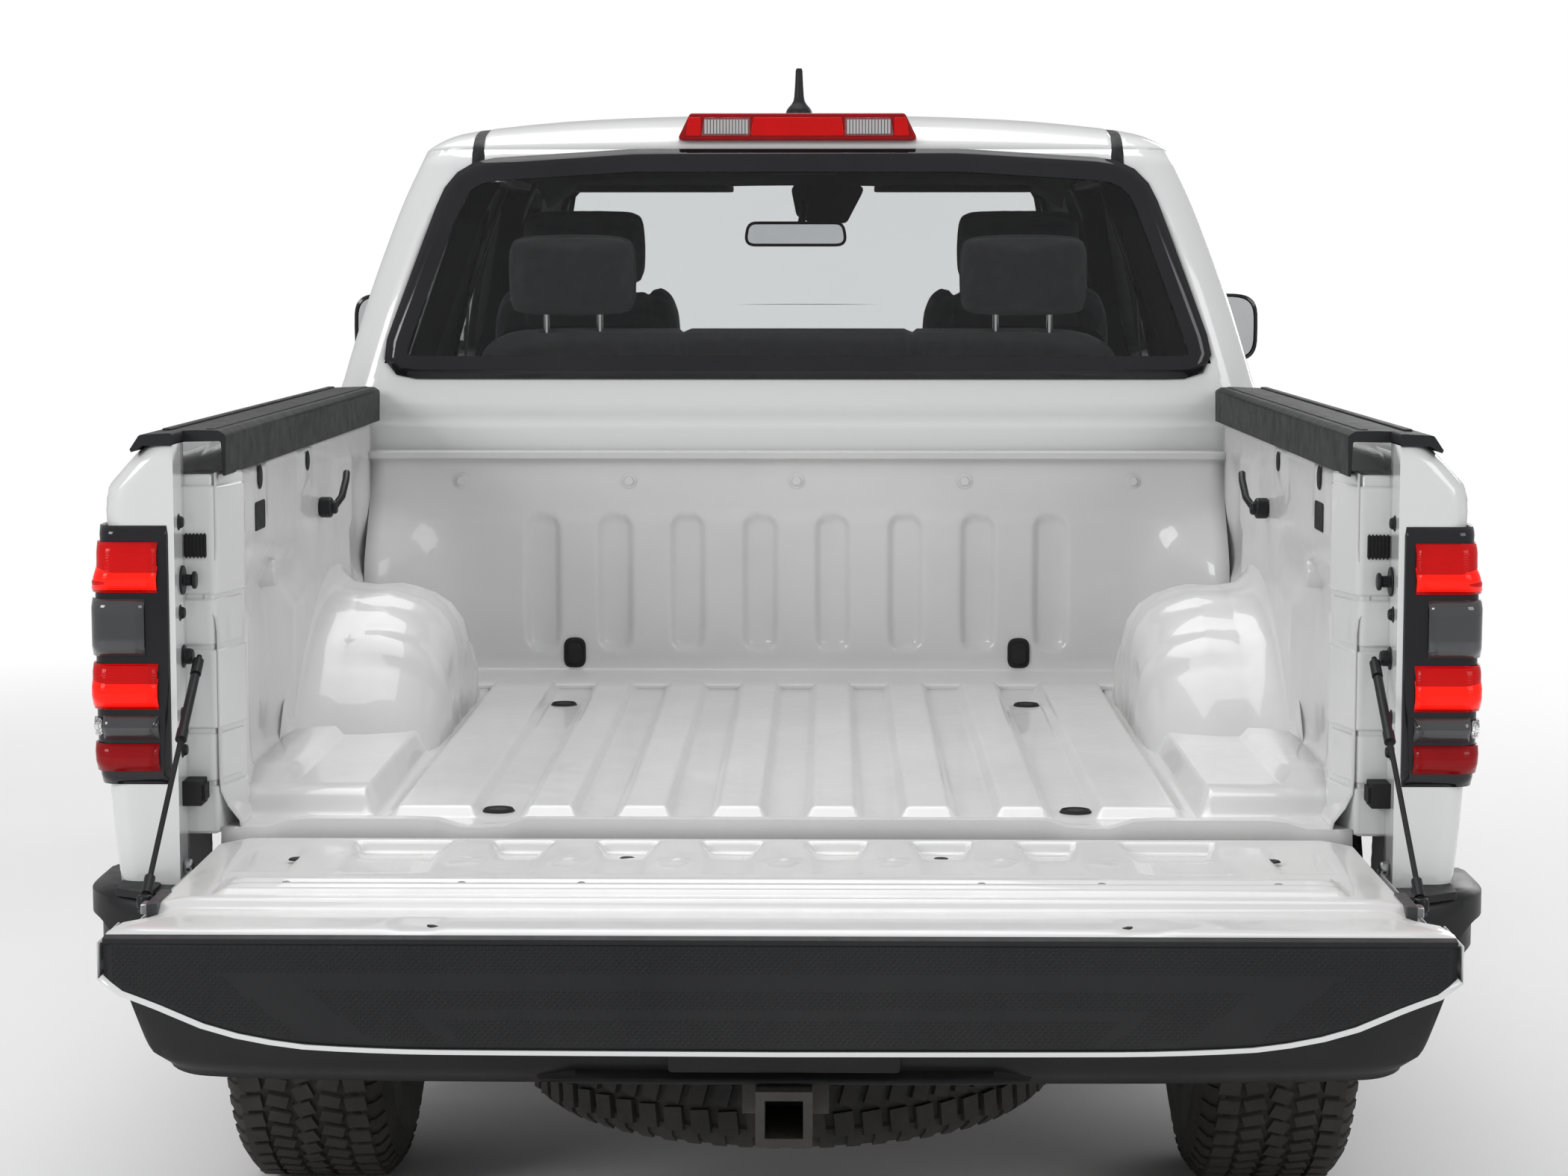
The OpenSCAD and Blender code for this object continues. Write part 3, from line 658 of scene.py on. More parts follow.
def shader_group(kind: ShaderGroup) -> bpy.types.NodeTree:
    """Builds one shared effect, or finds it if it is there.

    Args:
        kind: Which effect.

    Returns:
        The node group, with one output called Value.
    """
    found = bpy.data.node_groups.get(kind.value)
    if found:
        return found
    tree = bpy.data.node_groups.new(kind.value, "ShaderNodeTree")
    vector = tree.interface.new_socket(name="Vector", in_out="INPUT", socket_type="NodeSocketVector")
    vector.hide_value = True
    add_socket(tree, "Scale", False, 10.0)
    add_socket(tree, "Low", False, 0.0)
    add_socket(tree, "High", False, 1.0)
    add_socket(tree, "Value", True)
    start = tree.nodes.new("NodeGroupInput")
    end = tree.nodes.new("NodeGroupOutput")
    spread = tree.nodes.new("ShaderNodeMapRange")
    link = tree.links.new
    link(start.outputs["Low"], spread.inputs["To Min"])
    link(start.outputs["High"], spread.inputs["To Max"])
    link(spread.outputs["Result"], end.inputs["Value"])
    if kind is ShaderGroup.DUST:
        apart = tree.nodes.new("ShaderNodeSeparateXYZ")
        patch = tree.nodes.new("ShaderNodeTexNoise")
        patch.inputs["Detail"].default_value = 6.0
        lowest = tree.nodes.new("ShaderNodeMapRange")
        lowest.inputs["From Min"].default_value = 0.75
        lowest.inputs["From Max"].default_value = 0.2
        both = tree.nodes.new("ShaderNodeMath")
        both.operation = "MULTIPLY"
        link(start.outputs["Vector"], apart.inputs[0])
        link(start.outputs["Vector"], patch.inputs["Vector"])
        link(start.outputs["Scale"], patch.inputs["Scale"])
        link(apart.outputs["Z"], lowest.inputs["Value"])
        link(lowest.outputs["Result"], both.inputs[0])
        link(patch.outputs["Fac"], both.inputs[1])
        link(both.outputs["Value"], spread.inputs["Value"])
        return tree
    if kind in (ShaderGroup.WEAVE, ShaderGroup.LINES):
        waves = []
        for axis in ("X", "Z") if kind is ShaderGroup.WEAVE else ("Z",):
            wave = tree.nodes.new("ShaderNodeTexWave")
            wave.bands_direction = axis
            wave.inputs["Distortion"].default_value = 0.4
            link(start.outputs["Vector"], wave.inputs["Vector"])
            link(start.outputs["Scale"], wave.inputs["Scale"])
            waves.append(wave)
        if len(waves) == 1:
            link(waves[0].outputs["Fac"], spread.inputs["Value"])
            return tree
        both = tree.nodes.new("ShaderNodeMath")
        both.operation = "MULTIPLY"
        link(waves[0].outputs["Fac"], both.inputs[0])
        link(waves[1].outputs["Fac"], both.inputs[1])
        link(both.outputs["Value"], spread.inputs["Value"])
        return tree
    if kind is ShaderGroup.GRAIN:
        cells = tree.nodes.new("ShaderNodeTexVoronoi")
        cells.feature = "SMOOTH_F1"
        cells.inputs["Smoothness"].default_value = 0.6
        link(start.outputs["Vector"], cells.inputs["Vector"])
        link(start.outputs["Scale"], cells.inputs["Scale"])
        link(cells.outputs["Distance"], spread.inputs["Value"])
        return tree
    noise = tree.nodes.new("ShaderNodeTexNoise")
    noise.inputs["Detail"].default_value = 4.0
    noise.inputs["Roughness"].default_value = 0.55
    link(start.outputs["Vector"], noise.inputs["Vector"])
    link(start.outputs["Scale"], noise.inputs["Scale"])
    link(noise.outputs["Fac"], spread.inputs["Value"])
    spread.inputs["From Min"].default_value = 0.3
    spread.inputs["From Max"].default_value = 0.7
    return tree


Colour = tuple[float, float, float]


@dataclass(frozen=True)
class Finish:
    """A surface finish: two close colours, a range of gloss and a relief."""

    name: str
    colour: Colour
    second: Colour
    patch: float = 3.0
    gloss: tuple[float, float] = (0.45, 0.55)
    relief: ShaderGroup = ShaderGroup.MOTTLE
    relief_scale: float = 400.0
    relief_height: float = 0.0002
    relief_strength: float = 0.3
    metal: float = 0.0
    coat: float = 0.0
    clear: float = 0.0
    glow: float = 0.0
    dust: float = 0.0
    bending: float = 1.45
    sheen: float = 0.0
    shine: float = 0.5

    def material(self) -> bpy.types.Material:
        """Builds the material, or finds it if it is there.

        Returns:
            The material.
        """
        name = self.name + "_finish"
        found = bpy.data.materials.get(name)
        if found:
            return found
        made = bpy.data.materials.new(name)
        made.use_nodes = True
        made.diffuse_color = (*self.colour, 1.0)
        nodes = made.node_tree.nodes
        link = made.node_tree.links.new
        shader = nodes["Principled BSDF"]
        place = nodes.new("ShaderNodeTexCoord").outputs["Object"]
        tone = self.group(nodes, link, place, ShaderGroup.MOTTLE, self.patch, 0.0, 1.0)
        mix = nodes.new("ShaderNodeMix")
        mix.data_type = "RGBA"
        mix.inputs["A"].default_value = (*self.colour, 1.0)
        mix.inputs["B"].default_value = (*self.second, 1.0)
        link(tone, mix.inputs["Factor"])
        colour = mix.outputs["Result"]
        if self.dust:
            film = self.group(nodes, link, place, ShaderGroup.DUST, 9.0, 0.0, self.dust)
            over = nodes.new("ShaderNodeMix")
            over.data_type = "RGBA"
            over.inputs["B"].default_value = (0.23, 0.21, 0.185, 1.0)
            link(film, over.inputs["Factor"])
            link(colour, over.inputs["A"])
            colour = over.outputs["Result"]
        link(colour, shader.inputs["Base Color"])
        rough = self.group(nodes, link, place, ShaderGroup.MOTTLE, self.patch * 7, *self.gloss)
        link(rough, shader.inputs["Roughness"])
        if self.relief_strength:
            height = self.group(nodes, link, place, self.relief, self.relief_scale, 0.0, 1.0)
            bump = nodes.new("ShaderNodeBump")
            bump.inputs["Strength"].default_value = self.relief_strength
            bump.inputs["Distance"].default_value = self.relief_height
            link(height, bump.inputs["Height"])
            link(bump.outputs["Normal"], shader.inputs["Normal"])
        shader.inputs["Metallic"].default_value = self.metal
        shader.inputs["Coat Weight"].default_value = self.coat
        shader.inputs["Coat Roughness"].default_value = 0.04
        shader.inputs["Transmission Weight"].default_value = self.clear
        shader.inputs["IOR"].default_value = self.bending
        shader.inputs["Sheen Weight"].default_value = self.sheen
        shader.inputs["Specular IOR Level"].default_value = self.shine
        if self.glow:
            shader.inputs["Emission Color"].default_value = (*self.colour, 1.0)
            shader.inputs["Emission Strength"].default_value = self.glow
        return made

    def group(self, nodes: bpy.types.Nodes, link: Callable, place: bpy.types.NodeSocket,
              kind: ShaderGroup, scale: float, low: float, high: float) -> bpy.types.NodeSocket:
        """Places a shared effect in the material.

        Args:
            nodes: The material's nodes.
            link: Joins two sockets.
            place: The coordinates.
            kind: The effect.
            scale: Its scale.
            low: Its lowest value.
            high: Its highest value.

        Returns:
            The socket with the effect's value.
        """
        node = nodes.new("ShaderNodeGroup")
        node.node_tree = shader_group(kind)
        link(place, node.inputs["Vector"])
        node.inputs["Scale"].default_value = scale
        node.inputs["Low"].default_value = low
        node.inputs["High"].default_value = high
        return node.outputs["Value"]


PAINT = Finish("white_paint", (0.74, 0.745, 0.745), (0.725, 0.73, 0.73), 1.3, (0.235, 0.265),
               relief_scale=90.0, relief_height=0.0001, relief_strength=0.12, coat=1.0, dust=0.12)
BED_PAINT = Finish("bed_paint", (0.69, 0.692, 0.688), (0.635, 0.64, 0.637), 4.0, (0.30, 0.46),
                   relief_scale=160.0, relief_height=0.00015, relief_strength=0.25, coat=0.5)
SATIN_BLACK = Finish("satin_black", (0.011, 0.0115, 0.013), (0.016, 0.0165, 0.018), 3.0, (0.36, 0.48),
                     ShaderGroup.GRAIN, 900.0, 0.0002, 0.25, dust=0.10, shine=0.30)
GRAINED = Finish("grained_plastic", (0.014, 0.0145, 0.016), (0.021, 0.0215, 0.023), 5.0, (0.48, 0.62),
                 ShaderGroup.GRAIN, 520.0, 0.0005, 0.55, dust=0.07, shine=0.28)
GLOSS_BLACK = Finish("gloss_black", (0.009, 0.009, 0.011), (0.014, 0.014, 0.017), 6.0, (0.07, 0.12),
                     relief_scale=60.0, relief_height=0.0001, relief_strength=0.06, coat=0.3, shine=0.35)
SEAL = Finish("seal_rubber", (0.014, 0.014, 0.015), (0.022, 0.022, 0.023), 14.0, (0.6, 0.75),
              relief_scale=700.0, relief_height=0.0003, relief_strength=0.4, shine=0.25)
TYRE = Finish("tyre_rubber", (0.016, 0.016, 0.017), (0.026, 0.0255, 0.025), 16.0, (0.62, 0.8),
              relief_scale=420.0, relief_height=0.0005, relief_strength=0.5, dust=0.25, shine=0.25)
ALLOY = Finish("wheel_alloy", (0.62, 0.63, 0.645), (0.56, 0.57, 0.585), 8.0, (0.24, 0.34),
               relief_scale=500.0, relief_height=0.0001, relief_strength=0.2, metal=0.85, coat=0.5,
               dust=0.25)
DARK_ALLOY = Finish("dark_alloy", (0.05, 0.052, 0.056), (0.075, 0.077, 0.08), 9.0, (0.35, 0.5),
                    relief_scale=400.0, relief_strength=0.3, metal=0.6, dust=0.3)
STEEL = Finish("plated_steel", (0.50, 0.51, 0.52), (0.42, 0.42, 0.42), 25.0, (0.22, 0.4),
               relief_scale=600.0, relief_strength=0.3, metal=1.0)
CHASSIS = Finish("chassis_black", (0.020, 0.020, 0.021), (0.045, 0.042, 0.038), 7.0, (0.5, 0.75),
                 relief_scale=170.0, relief_height=0.0008, relief_strength=0.5, dust=0.8)
CAST = Finish("cast_metal", (0.11, 0.108, 0.105), (0.17, 0.16, 0.15), 18.0, (0.5, 0.7),
              ShaderGroup.GRAIN, 260.0, 0.0008, 0.6, metal=0.7, dust=0.6)
CORE = Finish("radiator_core", (0.25, 0.25, 0.26), (0.18, 0.18, 0.19), 12.0, (0.4, 0.55),
              ShaderGroup.LINES, 160.0, 0.002, 1.0, metal=0.8)
EXHAUST = Finish("exhaust_steel", (0.34, 0.32, 0.29), (0.24, 0.20, 0.16), 11.0, (0.35, 0.6),
                 relief_scale=220.0, relief_strength=0.4, metal=1.0, dust=0.4)
TANK = Finish("tank_plastic", (0.030, 0.030, 0.032), (0.042, 0.042, 0.043), 8.0, (0.45, 0.6),
              relief_scale=140.0, relief_height=0.0006, relief_strength=0.4, dust=0.7)
CABIN = Finish("cabin_plastic", (0.017, 0.0172, 0.0185), (0.023, 0.0233, 0.0248), 6.0, (0.5, 0.65),
               ShaderGroup.GRAIN, 650.0, 0.0004, 0.5, shine=0.3)
HEADLINER = Finish("headliner", (0.028, 0.028, 0.029), (0.036, 0.036, 0.037), 20.0, (0.8, 0.9),
                   ShaderGroup.WEAVE, 500.0, 0.0004, 0.5)
CLOTH = Finish("seat_cloth", (0.024, 0.0245, 0.027), (0.038, 0.0385, 0.042), 60.0, (0.75, 0.92),
               ShaderGroup.WEAVE, 420.0, 0.0009, 0.8, sheen=0.3)
CARPET = Finish("carpet", (0.035, 0.035, 0.037), (0.055, 0.055, 0.058), 90.0, (0.85, 0.95),
                relief_scale=800.0, relief_height=0.002, relief_strength=0.9)
GLASS = Finish("window_glass", (0.94, 0.955, 0.95), (0.93, 0.945, 0.94), 2.0, (0.0, 0.0),
               relief_strength=0.0, clear=1.0, bending=1.25)
TINTED = Finish("tinted_glass", (0.69, 0.70, 0.705), (0.675, 0.685, 0.69), 2.0, (0.0, 0.0),
                relief_strength=0.0, clear=1.0, bending=1.25)
PRIVACY = Finish("privacy_glass", (0.30, 0.315, 0.325), (0.27, 0.285, 0.295), 2.0, (0.0, 0.0),
                 relief_strength=0.0, clear=1.0, bending=1.25)
CLEAR = Finish("clear_lens", (0.93, 0.94, 0.95), (0.90, 0.91, 0.92), 4.0, (0.02, 0.05),
               ShaderGroup.LINES, 70.0, 0.0008, 0.4, clear=0.95)
SMOKED = Finish("smoked_lens", (0.055, 0.056, 0.060), (0.042, 0.043, 0.046), 5.0, (0.08, 0.14),
                relief_scale=90.0, relief_strength=0.1, coat=0.8)
RED_LENS = Finish("red_lens", (0.60, 0.003, 0.003), (0.46, 0.002, 0.003), 9.0, (0.06, 0.12),
                  ShaderGroup.LINES, 95.0, 0.0006, 0.35, coat=0.25, glow=0.12, shine=0.12)
BRIGHT_RED = Finish("bright_red_lens", (1.0, 0.012, 0.004), (0.86, 0.007, 0.003), 9.0, (0.06, 0.12),
                    ShaderGroup.LINES, 95.0, 0.0006, 0.35, coat=0.25, glow=0.45, shine=0.12)
DARK_RED = Finish("dark_red_lens", (0.33, 0.004, 0.006), (0.23, 0.003, 0.005), 9.0, (0.06, 0.12),
                  ShaderGroup.LINES, 95.0, 0.0006, 0.3, coat=0.25, glow=0.02, shine=0.12)
AMBER = Finish("amber_lens", (0.62, 0.16, 0.010), (0.52, 0.12, 0.008), 9.0, (0.08, 0.14),
               ShaderGroup.LINES, 110.0, 0.0006, 0.35, coat=1.0)
CHROME = Finish("bright_reflector", (0.86, 0.87, 0.88), (0.80, 0.81, 0.82), 12.0, (0.05, 0.10),
                relief_scale=60.0, relief_strength=0.05, metal=1.0)
FLOOR = Finish("studio_floor", (0.86, 0.86, 0.86), (0.85, 0.85, 0.85), 1.0, (0.8, 0.85),
               relief_strength=0.0)


# --------------------------------------------------------------------------
# Studio
# --------------------------------------------------------------------------
@dataclass
class Studio:
    """The camera, the lights, the floor and the pale surroundings."""

    distance: float = 4.3
    height: float = 1.55
    aside: float = -0.059
    pitch_deg: float = 5.8
    turn_deg: float = 0.8
    lens_mm: float = 74.2
    ambient: float = 0.50

    def camera(self) -> None:
        """Places the camera behind the truck, a little above the bed."""
        data = bpy.data.cameras.new("camera")
        data.lens = self.lens_mm
        data.sensor_width = 36.0
        data.clip_end = 200.0
        obj = bpy.data.objects.new("camera", data)
        obj.location = (self.aside, BED_END + self.distance, self.height)
        obj.rotation_euler = (math.radians(90 - self.pitch_deg), 0.0, math.radians(180 + self.turn_deg))
        bpy.context.scene.collection.objects.link(obj)
        bpy.context.scene.camera = obj

    def lamp(self, name: str, place: Point, target: Point, size: tuple[float, float],
             watts: float) -> None:
        """Adds a soft rectangular lamp.

        Args:
            name: Its name.
            place: Where it is.
            target: What it points at.
            size: Its width and height.
            watts: Its power.
        """
        data = bpy.data.lights.new(name, "AREA")
        data.shape = "RECTANGLE"
        data.size, data.size_y = size
        data.energy = watts
        obj = bpy.data.objects.new(name, data)
        obj.location = place
        obj.rotation_euler = (Vector(target) - Vector(place)).to_track_quat("-Z", "Y").to_euler()
        bpy.context.scene.collection.objects.link(obj)

    def world(self) -> None:
        """Makes the surroundings: white where they are seen, dimmer where they only give light."""
        world = bpy.data.worlds.new("surroundings")
        world.use_nodes = True
        bpy.context.scene.world = world
        nodes = world.node_tree.nodes
        link = world.node_tree.links.new
        back = nodes["Background"]
        back.inputs["Color"].default_value = (1.0, 1.0, 1.0, 1.0)
        path = nodes.new("ShaderNodeLightPath")
        seen = nodes.new("ShaderNodeMath")
        seen.operation = "MAXIMUM"
        link(path.outputs["Is Camera Ray"], seen.inputs[0])
        link(path.outputs["Is Transmission Ray"], seen.inputs[1])
        level = nodes.new("ShaderNodeMapRange")
        level.inputs["To Min"].default_value = self.ambient
        level.inputs["To Max"].default_value = 1.0
        link(seen.outputs["Value"], level.inputs["Value"])
        link(level.outputs["Result"], back.inputs["Strength"])

    def floor(self) -> None:
        """Lays the pale floor, which fades into the surroundings away from the truck."""
        disc = Piece("floor")
        reach = 40.0
        disc.add([(-reach, -reach, -0.001), (reach, -reach, -0.001), (reach, reach, -0.001),
                  (-reach, reach, -0.001)], [(0, 1, 2, 3)], FLOOR)
        data = bpy.data.meshes.new("floor")
        disc.mesh.to_mesh(data)
        disc.mesh.free()
        material = FLOOR.material()
        data.materials.append(material)
        obj = bpy.data.objects.new("floor", data)
        bpy.context.scene.collection.objects.link(obj)
        nodes = material.node_tree.nodes
        link = material.node_tree.links.new
        shader = nodes["Principled BSDF"]
        glow = nodes.new("ShaderNodeEmission")
        glow.inputs["Strength"].default_value = 1.0
        mixed = nodes.new("ShaderNodeMixShader")
        place = nodes.new("ShaderNodeTexCoord")
        centre = nodes.new("ShaderNodeVectorMath")
        centre.operation = "LENGTH"
        fade = nodes.new("ShaderNodeMapRange")
        fade.inputs["From Min"].default_value = 2.6
        fade.inputs["From Max"].default_value = 6.5
        path = nodes.new("ShaderNodeLightPath")
        both = nodes.new("ShaderNodeMath")
        both.operation = "MULTIPLY"
        link(place.outputs["Object"], centre.inputs[0])
        link(centre.outputs["Value"], fade.inputs["Value"])
        link(fade.outputs["Result"], both.inputs[0])
        link(path.outputs["Is Camera Ray"], both.inputs[1])
        link(both.outputs["Value"], mixed.inputs["Fac"])
        link(shader.outputs["BSDF"], mixed.inputs[1])
        link(glow.outputs["Emission"], mixed.inputs[2])
        link(mixed.outputs["Shader"], nodes["Material Output"].inputs["Surface"])

    def build(self) -> None:
        """Sets up the whole studio."""
        bpy.context.scene.view_settings.view_transform = "Standard"
        self.camera()
        self.world()
        self.floor()
        middle = (0.0, 0.6, 0.9)
        self.lamp("overhead", (0.4, -0.6, 5.6), (0.0, 0.5, 0.0), (3.4, 4.6), 165.0)
        self.lamp("rear_left", (4.6, 6.2, 3.6), middle, (2.2, 2.2), 140.0)
        self.lamp("rear_right", (-4.6, 6.2, 3.6), middle, (3.0, 3.0), 95.0)
        self.lamp("front_side", (-3.8, -6.4, 3.4), (0.0, -1.4, 0.8), (3.4, 3.0), 110.0)


# --------------------------------------------------------------------------
# Body shape
# --------------------------------------------------------------------------
@dataclass(frozen=True)
class BodySide:
    """The outer surface of the body sides, as a half width at each place."""

    bed: tuple[Flat, ...] = (
        (0.455, 0.862), (0.500, 0.880), (0.600, 0.900), (0.714, 0.912), (0.822, 0.922),
        (0.940, 0.928), (1.080, 0.928), (1.180, 0.924), (1.237, 0.921), (1.275, 0.893),
        (1.306, 0.864),
    )
    cab: tuple[Flat, ...] = (
        (0.440, 0.868), (0.480, 0.898), (0.620, 0.910), (0.800, 0.920), (0.940, 0.927),
        (1.060, 0.924), (1.170, 0.910), (1.238, 0.888), (1.300, 0.852), (1.312, 0.846),
        (1.380, 0.826), (1.480, 0.796), (1.580, 0.762), (1.660, 0.732), (1.752, 0.690),
    )
    arch: float = 0.447
    flare: float = 0.014
    flare_width: float = 0.055
    crease: float = 0.006

    def swell(self, y: float, z: float) -> float:
        """How far the wheel arches and creases stand out.

        Args:
            y: Place along the truck.
            z: Height.

        Returns:
            The extra half width.
        """
        out = 0.0
        for axle in (FRONT_AXLE.y, REAR_AXLE.y):
            away = math.hypot(y - axle, z - TYRE_HIGH.z / 2 - 0.02) - self.arch
            fade = smooth_step(0.45, 0.60, z) * 0.35 + 0.65
            out += self.flare * fade * (1 - smooth_step(self.flare_width * 0.45, self.flare_width, away))
        belt = smooth_step(1.118, 1.132, z) * (1 - smooth_step(1.14, 1.24, z))
        out -= self.crease * belt
        between = smooth_step(behind(0.62), behind(0.75), y) * smooth_step(behind(2.55), behind(2.38), y)
        hollow = smooth_step(0.60, 0.68, z) * smooth_step(0.86, 0.74, z)
        out -= 0.012 * hollow * between
        return out

    def cab_x(self, y: float, z: float) -> float:
        """Half width of the cab and wings at a place."""
        return curve_through(self.cab, z) + self.swell(y, z)

    def bed_x(self, y: float, z: float) -> float:
        """Half width of the bed at a place."""
        return curve_through(self.bed, z) + self.swell(y, z)


BODY = BodySide()


# --------------------------------------------------------------------------
# Load bed
# --------------------------------------------------------------------------
@dataclass
class LoadBed:
    """The open load bed: floor, header, sides, wheelhouses, rail caps and jambs."""

    floor: float = 0.775
    half: float = 0.775
    rib_pitch: float = 0.132
    rib_height: float = 0.015
    rail: float = 1.306
    header_thick: float = 0.030
    house_radius: float = 0.460
    house_half: float = 0.565
    house_z: float = 0.540
    slot_depth: float = 0.012
    jamb: float = 0.818
    jamb_y: float = BED_END - 0.072

    def floor_height(self, x: float, y: float) -> float:
        """Height of the pressed floor.

        Args:
            x: Place across.
            y: Place along.

        Returns:
            The height above the ground.
        """
        across = abs(x)
        end = BED_END - 0.14
        rib = 0.0
        if across < self.rib_pitch * 3:
            near = abs(across % self.rib_pitch - self.rib_pitch / 2)
            rib = min((0.042 - near) / 0.015, (end - y) / 0.03, (y - BED_FRONT - 0.07) / 0.02)
        else:
            near = abs(across - 0.492)
            rib = min((0.064 - near) / 0.015, (end - y) / 0.03, (y - BED_FRONT - 0.07) / 0.02)
        height = self.rib_height * smooth_step(0.0, 1.0, rib)
        ledge = min((across - 0.575) / 0.02, (end - 0.01 - y) / 0.045)
        height = max(height, 0.034 * smooth_step(0.0, 1.0, ledge))
        foot = min((across - 0.70) / 0.015, (end - 0.12 - y) / 0.03)
        height += 0.012 * smooth_step(0.0, 1.0, foot)
        lip = min((y - (BED_END - 0.108)) / 0.012, (BED_END - 0.06 - y) / 0.006, (0.40 - across) / 0.05)
        side_lip = min((y - (BED_END - 0.108)) / 0.012, (BED_END - 0.06 - y) / 0.006,
                       (across - 0.44) / 0.05, (0.72 - across) / 0.05)
        height = max(height, 0.012 * smooth_step(0.0, 1.0, max(lip, side_lip)))
        groove = 1 - smooth_step(0.0, 0.006, abs(across - 0.555))
        return self.floor + height - 0.004 * groove * smooth_step(end - 0.05, end - 0.12, y)

    def build_floor(self) -> None:
        """Makes the ribbed floor with its drain plugs and cross sills."""
        piece = Piece("bed_floor_panel")
        edges = [s * (k * self.rib_pitch + self.rib_pitch / 2 + t)
                 for s in (-1, 1) for k in range(3) for t in (-0.042, -0.027, 0.027, 0.042)]
        edges += [s * e for s in (-1, 1) for e in (0.428, 0.443, 0.541, 0.556, 0.575, 0.595, 0.70)]
        xs = lines(-self.half, self.half, 0.03, edges, 0.004, 1)
        end = BED_END - 0.14
        ys = lines(BED_FRONT + 0.02, self.jamb_y, 0.06,
                   (BED_FRONT + 0.07, BED_FRONT + 0.09, end - 0.03, end, BED_END - 0.108,
                    BED_END - 0.096), 0.005, 2)
        piece.grid(xs, ys, lambda x, y: (x, y, self.floor_height(x, y)), BED_PAINT)
        low = self.floor - 0.03
        lip = [(x, self.jamb_y, self.floor_height(x, self.jamb_y)) for x in xs]
        under = [(x, self.jamb_y + 0.004, low) for x in xs]
        count = len(xs)
        piece.add(lip + under, [(i, i + 1, count + i + 1, count + i) for i in range(count - 1)], BED_PAINT)
        piece.done("root", "body_paint", wall=MOULDED, smooth=SOFTENED, replaces=("bed_floor",))
        sills = Piece("bed_cross_sills")
        for y in (BED_FRONT + 0.12, REAR_AXLE.y - 0.10, REAR_AXLE.y + 0.34, BED_END - 0.16):
            half = self.half - 0.02 if abs(y - REAR_AXLE.y) > 0.5 else self.house_half - 0.03
            outline = rounded([(y - 0.05, 0.742), (y + 0.05, 0.742), (y + 0.035, 0.706),
                               (y - 0.035, 0.706)], 0.008)
            sills.prism(outline, -half, half, "x", CHASSIS)
        sills.done("root", "chassis_black")
        plugs = Piece("drain_plugs")
        for side in (-1, 1):
            for x, y in ((0.407, BED_END - 0.205), (0.404, BED_FRONT + 0.29)):
                z = self.floor_height(side * x, y) + 0.0005
                plugs.lathe([(0.0, 0.003), (0.012, 0.003), (0.014, 0.001), (0.017, 0.001),
                             (0.020, 0.004), (0.023, 0.0)], (side * x, y, z), (0, 0, 1), SEAL, 28)
        plugs.done("root", "black_plastic")

    def header_y(self, x: float, z: float) -> float:
        """Place of the header's rear surface.

        Args:
            x: Place across.
            z: Height.

        Returns:
            The Y value.
        """
        back = BED_FRONT + self.header_thick
        near = abs(abs(x) % (self.rib_pitch) - self.rib_pitch / 2)
        if abs(x) < self.rib_pitch * 4:
            away = box_distance(near, z, 0.0, 0.965, 0.030, 0.125, 0.028)
            back -= self.slot_depth * smooth_step(0.004, -0.008, away)
        corner = smooth_step(0.56, self.half, abs(x))
        back += 0.10 * corner * corner * smooth_step(1.16, 0.98, z)
        foot = smooth_step(self.floor + 0.055, self.floor, z)
        back += 0.05 * foot * foot
        shoulder = smooth_step(1.075, 1.10, z) * (1 - smooth_step(0.70, 0.73, abs(x)))
        return back - 0.006 * shoulder

    def build_header(self) -> None:
        """Makes the front wall of the bed, with its bolts and two grommets."""
        piece = Piece("bed_header_panel")
        edges = [s * (k * self.rib_pitch + self.rib_pitch / 2 + t)
                 for s in (-1, 1) for k in range(4) for t in (-0.030, 0.030)]
        xs = lines(-self.half, self.half, 0.028, edges, 0.005, 2)
        zs = lines(self.floor - 0.002, 1.180, 0.03, (0.84, 1.09, 1.08, self.floor + 0.02), 0.006, 3)
        piece.grid(xs, zs, lambda x, z: (x, self.header_y(x, z), z), BED_PAINT)
        top = [(1.180, 0.0), (1.186, 0.005), (1.190, 0.014), (1.192, 0.024), (1.203, 0.028), (1.205, 0.016),
               (1.205, -0.030)]
        steps = [(x, h, d) for x in xs for h, d in top]
        points = [(x, self.header_y(x, 1.180) + d, h) for x, h, d in steps]
        wide = len(top)
        piece.add(points, [(i * wide + k, i * wide + k + 1, (i + 1) * wide + k + 1, (i + 1) * wide + k)
                           for i in range(len(xs) - 1) for k in range(wide - 1)], BED_PAINT)
        piece.done("root", "body_paint", wall=TRIM, smooth=SOFTENED, replaces=("bed_header",))
        bolts = Piece("header_bolts")
        for x in (-0.61, -0.305, 0.0, 0.305, 0.61):
            y = self.header_y(x, 1.150)
            hexagon = [(x + 0.009 * math.cos(k * math.pi / 3), 1.150 + 0.009 * math.sin(k * math.pi / 3))
                       for k in range(6)]
            bolts.lathe([(0.014, 0.0), (0.014, 0.002), (0.006, 0.003)], (x, y, 1.150), (0, 1, 0), BED_PAINT, 20)
            bolts.prism(hexagon, y, y + 0.008, "y", BED_PAINT, 0.92)
        bolts.done("root", "body_paint", smooth=30)
        plugs = Piece("header_grommets")
        for x in (-0.405, 0.405):
            y = self.header_y(x, 0.835)
            for size, low, high, finish in ((1.0, -0.004, 0.006, SEAL), (0.68, 0.006, 0.011, SEAL)):
                outline = rounded([(x - 0.021 * size, 0.835 - 0.030 * size), (x + 0.021 * size, 0.835 - 0.030 * size),
                                   (x + 0.021 * size, 0.835 + 0.030 * size), (x - 0.021 * size, 0.835 + 0.030 * size)],
                                  0.019 * size, 6)
                plugs.prism(outline, y + low, y + high, "y", finish, 0.9)
        plugs.done("root", "black_plastic", Rounding.FINE)

